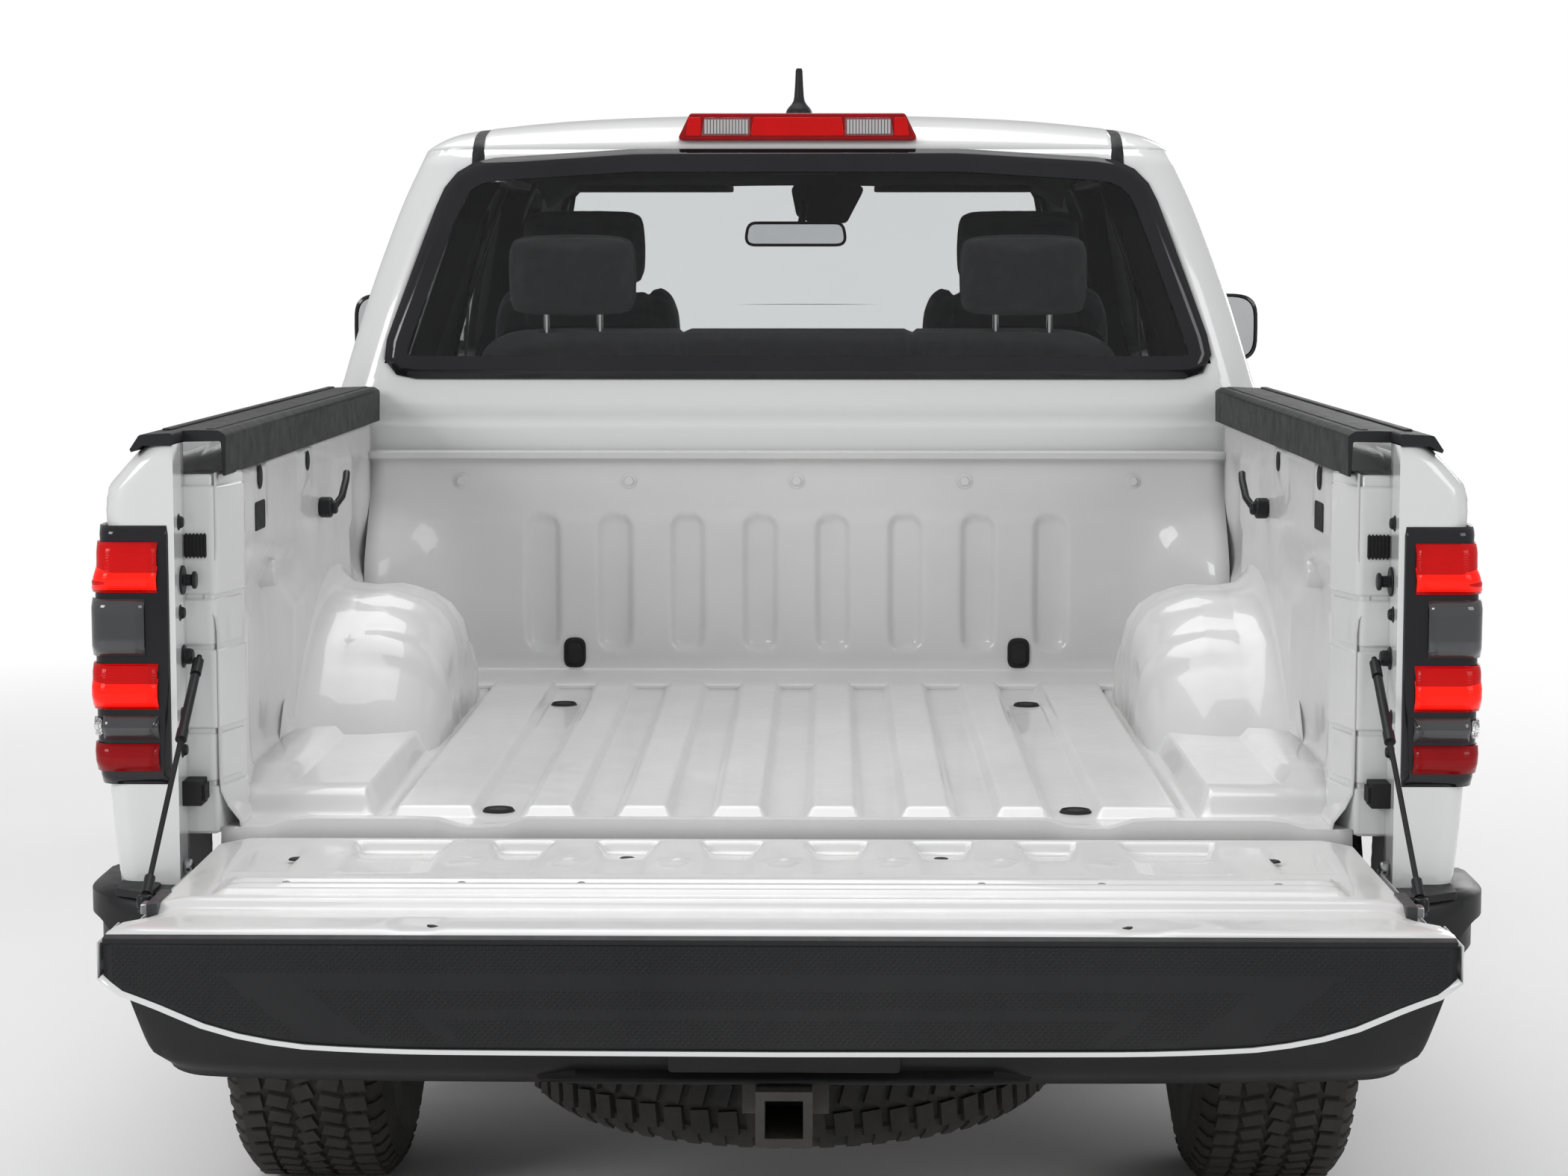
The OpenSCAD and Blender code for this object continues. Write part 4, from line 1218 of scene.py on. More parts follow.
    def inner_x(self, y: float, z: float) -> float:
        """Half width of the bed's inner side panel.

        Args:
            y: Place along.
            z: Height.

        Returns:
            The half width, larger where the panel is pressed outwards.
        """
        out = self.half
        pocket = box_distance(y, z, REAR_AXLE.y + 0.62, 0.93, 0.17, 0.14, 0.09)
        out += 0.030 * smooth_step(0.025, -0.045, pocket)
        forward = box_distance(y, z, REAR_AXLE.y - 0.30, 1.09, 0.10, 0.10, 0.06)
        out += 0.018 * smooth_step(0.02, -0.04, forward)
        tube = abs(z - 1.075 - 0.05 * (y - REAR_AXLE.y - 0.5))
        along = smooth_step(REAR_AXLE.y + 0.28, REAR_AXLE.y + 0.40, y)
        out += 0.016 * (1 - smooth_step(0.018, 0.045, tube)) * along
        for cy, cz, w, h in ((REAR_AXLE.y + 0.735, 1.2, 0.075, 0.055), (REAR_AXLE.y + 0.30, 1.225, 0.05, 0.035),
                             (REAR_AXLE.y - 0.1, 1.15, 0.10, 0.06)):
            out -= 0.005 * smooth_step(0.006, -0.004, box_distance(y, z, cy, cz, w, h, 0.012))
        skirt = smooth_step(self.floor + 0.07, self.floor, z)
        return out - 0.03 * skirt * skirt

    def build_inner_sides(self) -> None:
        """Makes the pressed inner sides with their holes, cleats and bosses."""
        piece = Piece("bed_inner_sides")
        ys = lines(BED_FRONT + 0.02, self.jamb_y, 0.022)
        zs = lines(self.floor - 0.01, 1.262, 0.020)
        piece.grid(ys, zs, lambda y, z: (self.inner_x(y, z), y, z), BED_PAINT)
        piece.mirrored().done("root", "body_paint", wall=FOLDED, smooth=ROUND, outward=False)
        details = Piece("bed_side_fittings")
        for cy, cz, half in ((REAR_AXLE.y + 0.737, 1.236, 0.016), (REAR_AXLE.y + 0.305, 1.233, 0.014)):
            x = self.inner_x(cy, cz) - 0.001
            details.lathe([(0.0, 0.0015), (half, 0.0015), (half + 0.003, 0.0)], (x, cy, cz), (-1, 0, 0), SEAL, 28)
        cy, cz = REAR_AXLE.y + 0.737, 1.180
        x = self.inner_x(cy, cz)
        window = rounded([(cy - 0.040, cz - 0.021), (cy + 0.040, cz - 0.021), (cy + 0.040, cz + 0.021),
                          (cy - 0.040, cz + 0.021)], 0.007)
        details.prism(window, x - 0.0015, x + 0.002, "x", SEAL)
        cy, cz = REAR_AXLE.y + 0.155, 1.147
        x = self.inner_x(cy, cz)
        details.rod((x, cy, cz), (x - 0.022, cy, cz), 0.017, SATIN_BLACK)
        details.rod((x - 0.014, cy, cz), (x - 0.03, cy, cz), 0.011, SATIN_BLACK)
        details.tube([(x - 0.024, cy, cz), (x - 0.034, cy - 0.02, cz + 0.016), (x - 0.036, cy - 0.055, cz + 0.042),
                      (x - 0.034, cy - 0.075, cz + 0.052)], 0.006, SATIN_BLACK)
        cy, cz = REAR_AXLE.y + 0.545, 1.078
        x = self.inner_x(cy, cz)
        details.lathe([(0.0, 0.012), (0.018, 0.012), (0.021, 0.008), (0.024, -0.02)], (x - 0.004, cy, cz),
                      (-1, 0, 0), BED_PAINT, 28)
        details.mirrored().done("root", "body_paint", Rounding.FINE)

    def build_wheelhouses(self) -> None:
        """Makes the two wheelhouses that stand into the bed."""
        piece = Piece("wheelhouses")
        wall = self.half + 0.012
        inner = self.house_half
        top = self.house_radius
        profile = [
            (wall, top + 0.075), (wall - 0.004, top + 0.050), (wall - 0.016, top + 0.024),
            (wall - 0.038, top + 0.007), (wall - 0.070, top), (wall - 0.115, top - 0.001),
            (inner + 0.085, top - 0.006), (inner + 0.052, top - 0.017), (inner + 0.028, top - 0.034),
            (inner + 0.011, top - 0.060), (inner + 0.002, top - 0.092), (inner, top - 0.15),
            (inner, top - 0.25),
        ]
        count = 72
        points = []
        for i in range(count + 1):
            angle = math.radians(20 + 140 * i / count)
            rib = 0.0
            for place in (58, 80, 104, 128):
                rib = max(rib, 1 - smooth_step(2.0, 5.0, abs(math.degrees(angle) - place)))
            stretch = 1.0 + 0.10 * smooth_step(0.25, 0.95, abs(math.cos(angle)))
            for k, (x, r) in enumerate(profile):
                share = smooth_step(3, 5, k) * (1 - smooth_step(9, 11, k))
                far = (r + 0.007 * rib * share) * stretch
                lift = 0.004 * rib * smooth_step(7, 9, k) * (1 - smooth_step(10.5, 12, k))
                points.append((x - lift, REAR_AXLE.y + far * math.cos(angle),
                               self.house_z + (r + 0.007 * rib * share) * math.sin(angle)))
        wide = len(profile)
        faces = [(i * wide + k, i * wide + k + 1, (i + 1) * wide + k + 1, (i + 1) * wide + k)
                 for i in range(count) for k in range(wide - 1)]
        kept = [f for f in faces if max(points[j][2] for j in f) > self.floor - 0.012]
        piece.add(points, kept, BED_PAINT)
        piece.mirrored().done("root", "body_paint", wall=FOLDED, smooth=ROUND)

    def build_outer_sides(self) -> None:
        """Makes the outer bed sides with their wheel arches, rear faces and inner arch liners."""
        piece = Piece("bed_outer_sides")
        front = BED_FRONT + 0.004
        arch_z = TYRE_HIGH.z / 2 + 0.02
        reach = BODY.arch
        ys = lines(front, BED_END - 0.03, 0.03, (REAR_AXLE.y - reach, REAR_AXLE.y + reach), 0.008, 3)
        vs = [0.0, 0.012, 0.03] + [0.06 + 0.94 * k / 40 for k in range(41)]

        def lower(y: float) -> float:
            """Height of the side's lower edge."""
            base = 0.500
            if abs(y - REAR_AXLE.y) < reach:
                return max(base, arch_z + math.sqrt(reach ** 2 - (y - REAR_AXLE.y) ** 2))
            return base

        def place(y: float, v: float) -> Point:
            """Places one point of the skin."""
            z = lower(y) + v * (self.rail - lower(y))
            round_end = smooth_step(BED_END - 0.10, BED_END - 0.01, y)
            return (BODY.bed_x(y, z) - 0.010 * round_end ** 2, y, z)

        piece.grid(ys, vs, place, PAINT)
        zs = lines(lower(BED_END), self.rail, 0.03)
        us = [k / 10 for k in range(11)]

        def corner(u: float, z: float) -> Point:
            """Places one point of the rounded rear corner and rear face."""
            wide = BODY.bed_x(BED_END - 0.03, z) - 0.010 * smooth_step(BED_END - 0.10, BED_END - 0.01,
                                                                         BED_END - 0.03) ** 2
            r = 0.030
            if u < 0.5:
                angle = u / 0.5 * math.pi / 2
                return (wide - r + r * math.cos(angle), BED_END - r + r * math.sin(angle), z)
            t = (u - 0.5) / 0.5
            return (wide - r - t * (wide - r - self.jamb), BED_END, z)

        piece.grid(us, zs, corner, PAINT)
        piece.grid((BED_END, self.jamb_y + 0.02, self.jamb_y), zs, lambda y, z: (self.jamb, y, z), PAINT)
        piece.mirrored().done("root", "body_paint", wall=PRESSED, smooth=CRISP, replaces=("bed_sides",))
        liner = Piece("rear_arch_liners")
        turn = [math.pi * k / 40 for k in range(41)]
        across = [0.585, 0.70, 0.80, 0.862, 0.885, 0.898]
        liner.grid(turn, across, lambda a, x: (x, REAR_AXLE.y + (reach + 0.004) * math.cos(a),
                                               arch_z - 0.004 + (reach + 0.002) * math.sin(a)), TANK)
        liner.grid([0.25, 0.35, reach + 0.003], turn,
                   lambda r, a: (0.585, REAR_AXLE.y + r * math.cos(a), arch_z + r * math.sin(a)), TANK)
        liner.mirrored().done("root", "black_plastic", wall=MOULDED, smooth=SOFTENED)

    def build_jambs(self) -> None:
        """Makes the stepped rear pillars with their stops, strikers, bolts and cable studs."""
        piece = Piece("rear_pillars")
        zs = [self.floor - 0.008, 0.832, 0.838, 0.905, 0.911, 1.02, 1.026, 1.09, 1.096, 1.245, 1.258]
        for k, (low, high) in enumerate(zip(zs[:-1:2], zs[1::2])):
            inward = 0.748 + 0.004 * (k % 2)
            outline = rounded([(inward, self.jamb_y - 0.11), (inward + 0.028, self.jamb_y + 0.002),
                               (self.jamb + 0.004, self.jamb_y + 0.002), (self.jamb + 0.004, self.jamb_y - 0.11)],
                              [0.02, 0.012, 0, 0])
            piece.prism(outline, low, high, "z", PAINT)
        inner = [(self.half - 0.02, self.jamb_y - 0.10), (self.half + 0.006, self.jamb_y - 0.002),
                 (self.jamb + 0.003, self.jamb_y - 0.002), (self.jamb + 0.003, self.jamb_y - 0.10)]
        piece.prism(inner, self.floor - 0.01, 1.26, "z", PAINT)
        piece.mirrored().done("root", "body_paint", Rounding.SOFT)
        fittings = Piece("jamb_fittings")
        y = BED_END - 0.045
        face = self.jamb
        for z in (1.198, 1.075, 0.935, 0.888):
            fittings.lathe([(0.0, 0.007), (0.006, 0.007), (0.008, 0.004), (0.008, 0.002), (0.012, 0.0)],
                           (face, y + 0.012, z), (-1, 0, 0), SATIN_BLACK, 16)
        fittings.block((face - 0.030, self.jamb_y - 0.006, 1.148), (face, self.jamb_y + 0.0055, 1.178), SEAL)
        for k in range(6):
            x = face - 0.029 + k * 0.005
            fittings.block((x, self.jamb_y - 0.006, 1.146), (x + 0.0022, self.jamb_y + 0.0065, 1.180), SEAL)
        fittings.block((face - 0.026, y - 0.022, 0.812), (face, y + 0.022, 0.846), SEAL)
        fittings.block((face - 0.030, y - 0.016, 0.818), (face - 0.02, y + 0.016, 0.840), SEAL)
        pin_y, pin_z = BED_END - 0.048, 1.118
        fittings.lathe([(0.020, 0.0), (0.020, 0.003), (0.008, 0.004), (0.0078, 0.014), (0.012, 0.015),
                        (0.012, 0.019), (0.010, 0.020)], (face, pin_y, pin_z), (-1, 0, 0), SATIN_BLACK, 28)
        fittings.lathe([(0.0, 0.014), (0.009, 0.014), (0.011, 0.010), (0.011, 0.003), (0.016, 0.002), (0.016, 0.0)],
                       (face, pin_y, 1.014), (-1, 0, 0), SATIN_BLACK, 24)
        fittings.mirrored().done("root", "black_plastic", Rounding.FINE)

    def build_rails(self) -> None:
        """Makes the textured black rail caps."""
        piece = Piece("rail_cap_mouldings")
        front, rear = BED_FRONT + 0.004, BED_END - 0.074
        section = rounded([(0.761, 1.258), (0.765, 1.258), (0.767, 1.305), (0.858, 1.303), (0.873, 1.294),
                           (0.875, 1.298), (0.862, 1.3175), (0.800, 1.320), (0.770, 1.3195), (0.760, 1.313)],
                          [0.001, 0.001, 0.003, 0.004, 0.001, 0.001, 0.006, 0.004, 0.006, 0.006], 4)
        piece.prism(section, front, rear, "y", GRAINED)
        tail = rounded([(0.818, 1.303), (0.858, 1.303), (0.873, 1.294), (0.875, 1.298), (0.862, 1.3175),
                        (0.818, 1.320)], [0.001, 0.004, 0.001, 0.001, 0.006, 0.004], 4)
        piece.prism(tail, rear, BED_END + 0.002, "y", GRAINED)
        piece.mirrored().done("root", "black_plastic", Rounding.FINE, replaces=("rail_caps",))
        marks = Piece("rail_cap_strips")
        for x in (0.785, 0.845):
            marks.prism(rounded([(x - 0.006, front + 0.02), (x + 0.006, front + 0.02), (x + 0.006, rear - 0.02),
                                 (x - 0.006, rear - 0.02)], 0.005), 1.3165, 1.3212, "z", GRAINED)
        marks.mirrored().done("root", "black_plastic", Rounding.FINE)

    def build(self) -> None:
        """Makes the whole bed."""
        self.build_floor()
        self.build_header()
        self.build_inner_sides()
        self.build_wheelhouses()
        self.build_outer_sides()
        self.build_jambs()
        self.build_rails()


# --------------------------------------------------------------------------
# Tailgate and its stays
# --------------------------------------------------------------------------
@dataclass
class Tailgate:
    """The lowered tailgate: pressed inner face, outer skin, step cap and stays."""

    half: float = 0.806
    neck: float = 0.766
    top: float = 0.768
    bottom: float = 0.708
    end_top: float = 0.751
    cap_depth: float = 0.139
    cap_thick: float = 0.014
    panel_y: float = GATE_LOW.y + 0.312
    cap_line: tuple[Flat, ...] = (
        (0.0, 1.0), (0.400, 0.99), (0.550, 0.955), (0.620, 0.89), (0.680, 0.78), (0.740, 0.60), (0.810, 0.41),
    )

    def cap_low(self, x: float) -> float:
        """Height of the free end's lower edge at a place across."""
        return self.end_top - self.cap_depth * curve_through(self.cap_line, abs(x))

    def face_height(self, x: float, y: float) -> float:
        """Height of the pressed inner face, which lies on top when the tailgate is down.

        Args:
            x: Place across.
            y: Place along.

        Returns:
            The height.
        """
        across = abs(x)
        height = self.top
        near = abs(across % 0.141 - 0.0705) if across < 0.423 else abs(across - 0.515)
        half = 0.034 if across < 0.423 else 0.058
        spread = 0.010 * smooth_step(GATE_LOW.y + 0.07, GATE_LOW.y + 0.03, y)
        pad = min((half + spread - near) / 0.012, (y - GATE_LOW.y - 0.026) / 0.020,
                  (GATE_LOW.y + 0.265 - y) / 0.020)
        if across < 0.60:
            depth = 0.011 * smooth_step(GATE_LOW.y + 0.16, GATE_LOW.y + 0.05, y) + 0.004
            height -= depth * smooth_step(0.0, 1.0, pad)
        outer = min((0.035 - abs(across - 0.672)) / 0.008, (y - GATE_LOW.y - 0.10) / 0.01,
                    (GATE_LOW.y + 0.255 - y) / 0.01)
        height -= 0.008 * smooth_step(0.0, 1.0, outer)
        dimple = math.hypot(abs(across % 0.141 - 0.0705) - 0.0705, y - GATE_LOW.y - 0.178)
        if across < 0.45:
            height += 0.003 * (smooth_step(0.020, 0.012, dimple) - smooth_step(0.010, 0.006, dimple))
        plate = min((0.700 - across) / 0.006, (y - self.panel_y) / 0.006, (self.panel_y + 0.098 - y) / 0.006)
        height += 0.006 * smooth_step(0.0, 1.0, plate)
        for place in (0.034, 0.068):
            ridge = 1 - smooth_step(0.005, 0.011, abs(y - self.panel_y - place))
            height += 0.003 * ridge * smooth_step(0.69, 0.68, across)
        height -= 0.012 * smooth_step(self.panel_y + 0.112, self.panel_y + 0.135, y)
        height -= (self.top - self.end_top - 0.012) * smooth_step(self.panel_y + 0.19, GATE_END - 0.02, y)
        scoop = math.hypot((across - 0.415) / 1.6, y - self.panel_y - 0.205)
        height -= 0.004 * smooth_step(0.030, 0.016, scoop)
        return height

    def side(self, y: float) -> float:
        """Half width of the inner face at a place along it."""
        wide = self.neck + (self.half - self.neck) * smooth_step(GATE_END - 0.150, GATE_END - 0.085, y)
        return wide - 0.02 * smooth_step(GATE_LOW.y + 0.03, GATE_LOW.y, y)

    def build_inner(self) -> None:
        """Makes the pressed inner face with its holes and screws."""
        piece = Piece("tailgate_inner_face")
        edges = []
        for k in range(3):
            mid = 0.141 * k + 0.0705
            edges += [s * (mid + t) for s in (-1, 1) for t in (-0.036, 0.036)]
            edges += [s * 0.141 * k for s in (-1, 1)]
        edges += [s * t for s in (-1, 1) for t in (0.455, 0.575, 0.64, 0.704, 0.697)]
        xs = lines(-1.0, 1.0, 0.04, [e / self.neck for e in sorted(set(edges))], 0.007, 2)
        ys = lines(GATE_LOW.y, GATE_END - self.cap_thick, 0.05,
                   (GATE_LOW.y + 0.03, GATE_LOW.y + 0.178, GATE_LOW.y + 0.255, self.panel_y, self.panel_y + 0.034,
                    self.panel_y + 0.068, self.panel_y + 0.096, self.panel_y + 0.122, GATE_END - 0.12), 0.005, 3)

        def place(u: float, y: float) -> Point:
            """Places one point of the face."""
            x = u * self.side(y)
            edge = smooth_step(0.975, 1.0, abs(u))
            nose = smooth_step(GATE_LOW.y + 0.012, GATE_LOW.y, y)
            return (x, y, self.face_height(u * self.neck, y) - 0.006 * edge * edge - 0.010 * nose * nose)

        piece.grid(xs, ys, place, BED_PAINT)
        rim = [place(s, y) for s in (-1, 1) for y in ys]
        low = [(p[0], p[1], self.top - 0.028) for p in rim]
        count = len(ys)
        for s in (0, 1):
            ring = rim[s * count:(s + 1) * count] + low[s * count:(s + 1) * count]
            piece.add(ring, [(i, i + 1, count + i + 1, count + i) for i in range(count - 1)], BED_PAINT)
        nose = [place(u, GATE_LOW.y) for u in xs]
        under = [(p[0], p[1] + 0.002, self.bottom + 0.004) for p in nose]
        wide = len(xs)
        piece.add(nose + under, [(i, i + 1, wide + i + 1, wide + i) for i in range(wide - 1)], BED_PAINT)
        piece.done("tailgate", "body_paint", wall=PRESSED, smooth=CREASED, replaces=("tailgate",))
        marks = Piece("tailgate_plugs_and_screws")
        for x, y, r in ((0.208, 0.115, 0.009), (0.640, 0.155, 0.010)):
            for s in (-1, 1):
                z = self.face_height(s * x, GATE_LOW.y + y)
                marks.lathe([(0.0, 0.001), (r, 0.001), (r + 0.002, -0.001)], (s * x, GATE_LOW.y + y, z), (0, 0, 1),
                            SEAL, 20)
        for x in (-0.62, -0.40, -0.25, 0.25, 0.40, 0.62):
            y = self.panel_y + 0.051
            z = self.face_height(x, y)
            marks.lathe([(0.0, 0.002), (0.004, 0.002), (0.006, 0.0)], (x, y, z), (0, 0, 1), STEEL, 14)
        for x in (-0.415, 0.415):
            y = self.panel_y + 0.205
            z = self.face_height(x, y)
            marks.lathe([(0.0, 0.0015), (0.009, 0.0015), (0.011, 0.0)], (x, y, z), (0, 0, 1), SEAL, 20)
        marks.done("tailgate", "black_plastic")

    def outer_z(self, x: float, y: float) -> float:
        """Height of the outer skin, which faces down when the tailgate is open."""
        t = (y - GATE_LOW.y) / (GATE_END - GATE_LOW.y)
        bulge = smooth_step(0.72, 0.985, t)
        return self.bottom + (self.cap_low(x) - self.bottom) * bulge + 0.002 * math.sin(math.pi * t)

    def build_outer(self) -> None:
        """Makes the outer skin, its edges, the handle and the latches."""
        piece = Piece("tailgate_outer_skin")
        us = lines(-1.0, 1.0, 0.05, (-0.94, 0.94), 0.01, 3)
        ys = lines(GATE_LOW.y, GATE_END, 0.03, (GATE_END - 0.02,), 0.004, 3)

        def place(u: float, y: float) -> Point:
            """Places one point of the skin."""
            edge = smooth_step(0.97, 1.0, abs(u))
            x = u * self.half
            z = self.outer_z(x, y)
            recess = box_distance(x, y, 0.0, GATE_LOW.y + 0.40, 0.36, 0.085, 0.03)
            z += 0.012 * smooth_step(0.004, -0.010, recess)
            return (x, y, z + 0.010 * edge * edge)

        piece.grid(us, ys, place, PAINT)
        for s in (-1, 1):
            rim = [place(s, y) for y in ys]
            over = [(s * self.half, y, min(self.top - 0.042, self.end_top - 0.003)
                     if y < GATE_END - 0.12 else self.end_top - 0.004) for y in ys]
            count = len(ys)
            piece.add(rim + over, [(i, i + 1, count + i + 1, count + i) for i in range(count - 1)], PAINT)
        low = [place(u, GATE_END) for u in us]
        inner = [(p[0] * 0.993, GATE_END, p[2] + 0.0055) for p in low]
        back = [(p[0], GATE_END - self.cap_thick + 0.001, p[2]) for p in inner]
        wide = len(us)
        for a, b in ((low, inner), (inner, back)):
            piece.add(a + b, [(i, i + 1, wide + i + 1, wide + i) for i in range(wide - 1)], PAINT)
        piece.done("tailgate", "body_paint", wall=PRESSED, smooth=CREASED)
        fittings = Piece("tailgate_handle")
        y = GATE_END - 0.20
        outline = rounded([(-0.11, y - 0.035), (0.11, y - 0.035), (0.11, y + 0.035), (-0.11, y + 0.035)], 0.015)
        z = self.outer_z(0.0, y)
        fittings.prism(outline, z - 0.010, z + 0.012, "z", SATIN_BLACK, 1.06)
        grip = rounded([(-0.085, y - 0.012), (0.085, y - 0.012), (0.085, y + 0.022), (-0.085, y + 0.022)], 0.010)
        fittings.prism(grip, z - 0.016, z - 0.009, "z", GLOSS_BLACK, 1.04)
        fittings.done("tailgate", "black_plastic", Rounding.FINE)
        latch = Piece("tailgate_latches")
        y = GATE_LOW.y + 0.405
        latch.block((self.neck - 0.002, y - 0.045, 0.740), (self.neck + 0.012, y + 0.045, 0.765), DARK_ALLOY)
        latch.block((self.neck + 0.010, y - 0.012, 0.744), (self.neck + 0.026, y + 0.012, 0.757), STEEL)
        latch.rod((self.half - 0.002, GATE_LOW.y + 0.02, 0.730), (self.half + 0.010, GATE_LOW.y + 0.02, 0.730), 0.010,
                  STEEL)
        foot_y = BED_END + 0.330
        latch.block((self.neck - 0.004, foot_y - 0.045, 0.741), (0.800, foot_y + 0.022, 0.745), DARK_ALLOY)
        latch.lathe([(0.0, 0.016), (0.008, 0.016), (0.010, 0.012), (0.010, 0.0)], (0.796, foot_y, 0.744), (0, 0, 1),
                    SATIN_BLACK, 20)
        latch.mirrored().done("tailgate", "chassis_black", Rounding.FINE)

    def build_cap(self) -> None:
        """Makes the step cap on the free end and its lip; StepStuds sets the raised studs round the nested bands."""
        piece = Piece("tailgate_step_cap")
        inset = 0.009
        half = self.half - inset + 0.002
        y = GATE_END - 0.0005
        us = lines(-1.0, 1.0, 0.04, (-0.97, 0.97), 0.008, 2)
        vs = [0.0, 0.03, 0.07] + [0.1 + 0.8 * k / 10 for k in range(11)] + [0.93, 0.97, 1.0]

        def place(u: float, v: float) -> Point:
            """Places one point of the cap's face."""
            x = u * half
            low, high = self.cap_low(x) + 0.006, self.end_top - 0.002
            edge = max(smooth_step(0.93, 1.0, v), smooth_step(0.06, 0.0, v), smooth_step(0.985, 1.0, abs(u)))
            return (x, y - 0.004 * edge * edge, low + v * (high - low))

        piece.grid(us, vs, place, GRAINED)
        top = [place(u, 1.0) for u in us]
        back = [(p[0], GATE_END - self.cap_thick + 0.001, self.end_top - 0.001) for p in top]
        wide = len(us)
        piece.add(top + back, [(i, i + 1, wide + i + 1, wide + i) for i in range(wide - 1)], GRAINED)
        piece.done("tailgate", "black_plastic", wall=MOULDED, smooth=SOFTENED, replaces=("tailgate_cap",))
        lip = Piece("tailgate_cap_lip")
        lip.prism(rounded([(GATE_END - 0.016, self.end_top - 0.002), (GATE_END + 0.0005, self.end_top - 0.006),
                           (GATE_END + 0.0005, self.end_top + 0.001), (GATE_END - 0.016, self.end_top + 0.0035)],
                          0.002), -half, half, "x", GRAINED)
        lip.done("tailgate", "black_plastic")

    def stays(self) -> None:
        """Makes the two cables that hold the lowered tailgate, with their sleeves and ferrules."""
        start = Vector((0.796, BED_END - 0.048, 1.014))
        end = Vector((0.796, BED_END + 0.330, 0.752))
        run = end - start
        for side, name in ((1, "tailgate_cable_left"), (-1, "tailgate_cable_right")):
            piece = Piece(name)
            steps = 28
            path = [start + run * (k / steps) for k in range(steps + 1)]
            piece.tube(path, 0.0036, SEAL, 10)
            for low, high, radius in ((0.02, 0.08, 0.0075), (0.09, 0.32, 0.0065), (0.32, 0.36, 0.0078),
                                      (0.91, 0.975, 0.0070)):
                piece.tube([start + run * (low + (high - low) * k / 8) for k in range(9)], radius, SATIN_BLACK, 14)
            if side < 0:
                piece.flip_x()
            cable = piece.done("", "cable_sleeve", smooth=ROUND,
                               replaces=("tailgate_cables",) if side > 0 else ())
            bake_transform(cable)

    def build(self) -> None:
        """Makes the whole tailgate."""
        self.build_inner()
        self.build_outer()
        self.build_cap()
        StepStuds(self).build()
        self.stays()


def socket_id(tree: bpy.types.NodeTree, name: str) -> str:
    """Finds the identifier of a tree's input by its name.

    Args:
        tree: The node tree.
        name: The input's name.

    Returns:
        The identifier.
    """
    for item in tree.interface.items_tree:
        if getattr(item, "in_out", "") == "INPUT" and item.name == name:
            return item.identifier
    raise KeyError(name)


def scatter_tree(name: str, sides: int, finish: Finish) -> bpy.types.NodeTree:
    """Builds a Geometry Nodes tree that sets a small turned stud on every point.

    The points' "facing" attribute gives each stud's direction.

    Args:
        name: The tree's name.
        sides: Sides of each stud.
        finish: The studs' finish.

    Returns:
        The tree, with inputs Radius, Height and Tip.
    """
    found = bpy.data.node_groups.get(name)
    if found:
        return found
    tree = bpy.data.node_groups.new(name, "GeometryNodeTree")
    tree.interface.new_socket(name="Geometry", in_out="INPUT", socket_type="NodeSocketGeometry")
    add_socket(tree, "Radius", False, 0.003)
    add_socket(tree, "Height", False, 0.002)
    add_socket(tree, "Tip", False, 0.5)
    tree.interface.new_socket(name="Geometry", in_out="OUTPUT", socket_type="NodeSocketGeometry")
    link = tree.links.new
    start = tree.nodes.new("NodeGroupInput")
    end = tree.nodes.new("NodeGroupOutput")
    cone = tree.nodes.new("GeometryNodeMeshCone")
    cone.inputs["Vertices"].default_value = sides
    cone.inputs["Fill Segments"].default_value = 1
    tip = tree.nodes.new("ShaderNodeMath")
    tip.operation = "MULTIPLY"
    link(start.outputs["Radius"], tip.inputs[0])
    link(start.outputs["Tip"], tip.inputs[1])
    link(start.outputs["Radius"], cone.inputs["Radius Bottom"])
    link(tip.outputs["Value"], cone.inputs["Radius Top"])
    link(start.outputs["Height"], cone.inputs["Depth"])
    facing = tree.nodes.new("GeometryNodeInputNamedAttribute")
    facing.data_type = "FLOAT_VECTOR"
    facing.inputs["Name"].default_value = "facing"
    turn = tree.nodes.new("FunctionNodeAlignRotationToVector")
    turn.axis = "Z"
    link(facing.outputs["Attribute"], turn.inputs["Vector"])
    place = tree.nodes.new("GeometryNodeInstanceOnPoints")
    link(start.outputs["Geometry"], place.inputs["Points"])
    link(cone.outputs["Mesh"], place.inputs["Instance"])
    link(turn.outputs["Rotation"], place.inputs["Rotation"])
    real = tree.nodes.new("GeometryNodeRealizeInstances")
    paint = tree.nodes.new("GeometryNodeSetMaterial")
    paint.inputs["Material"].default_value = finish.material()
    link(place.outputs["Instances"], real.inputs["Geometry"])
    link(real.outputs["Geometry"], paint.inputs["Geometry"])
    link(paint.outputs["Geometry"], end.inputs["Geometry"])
    return tree


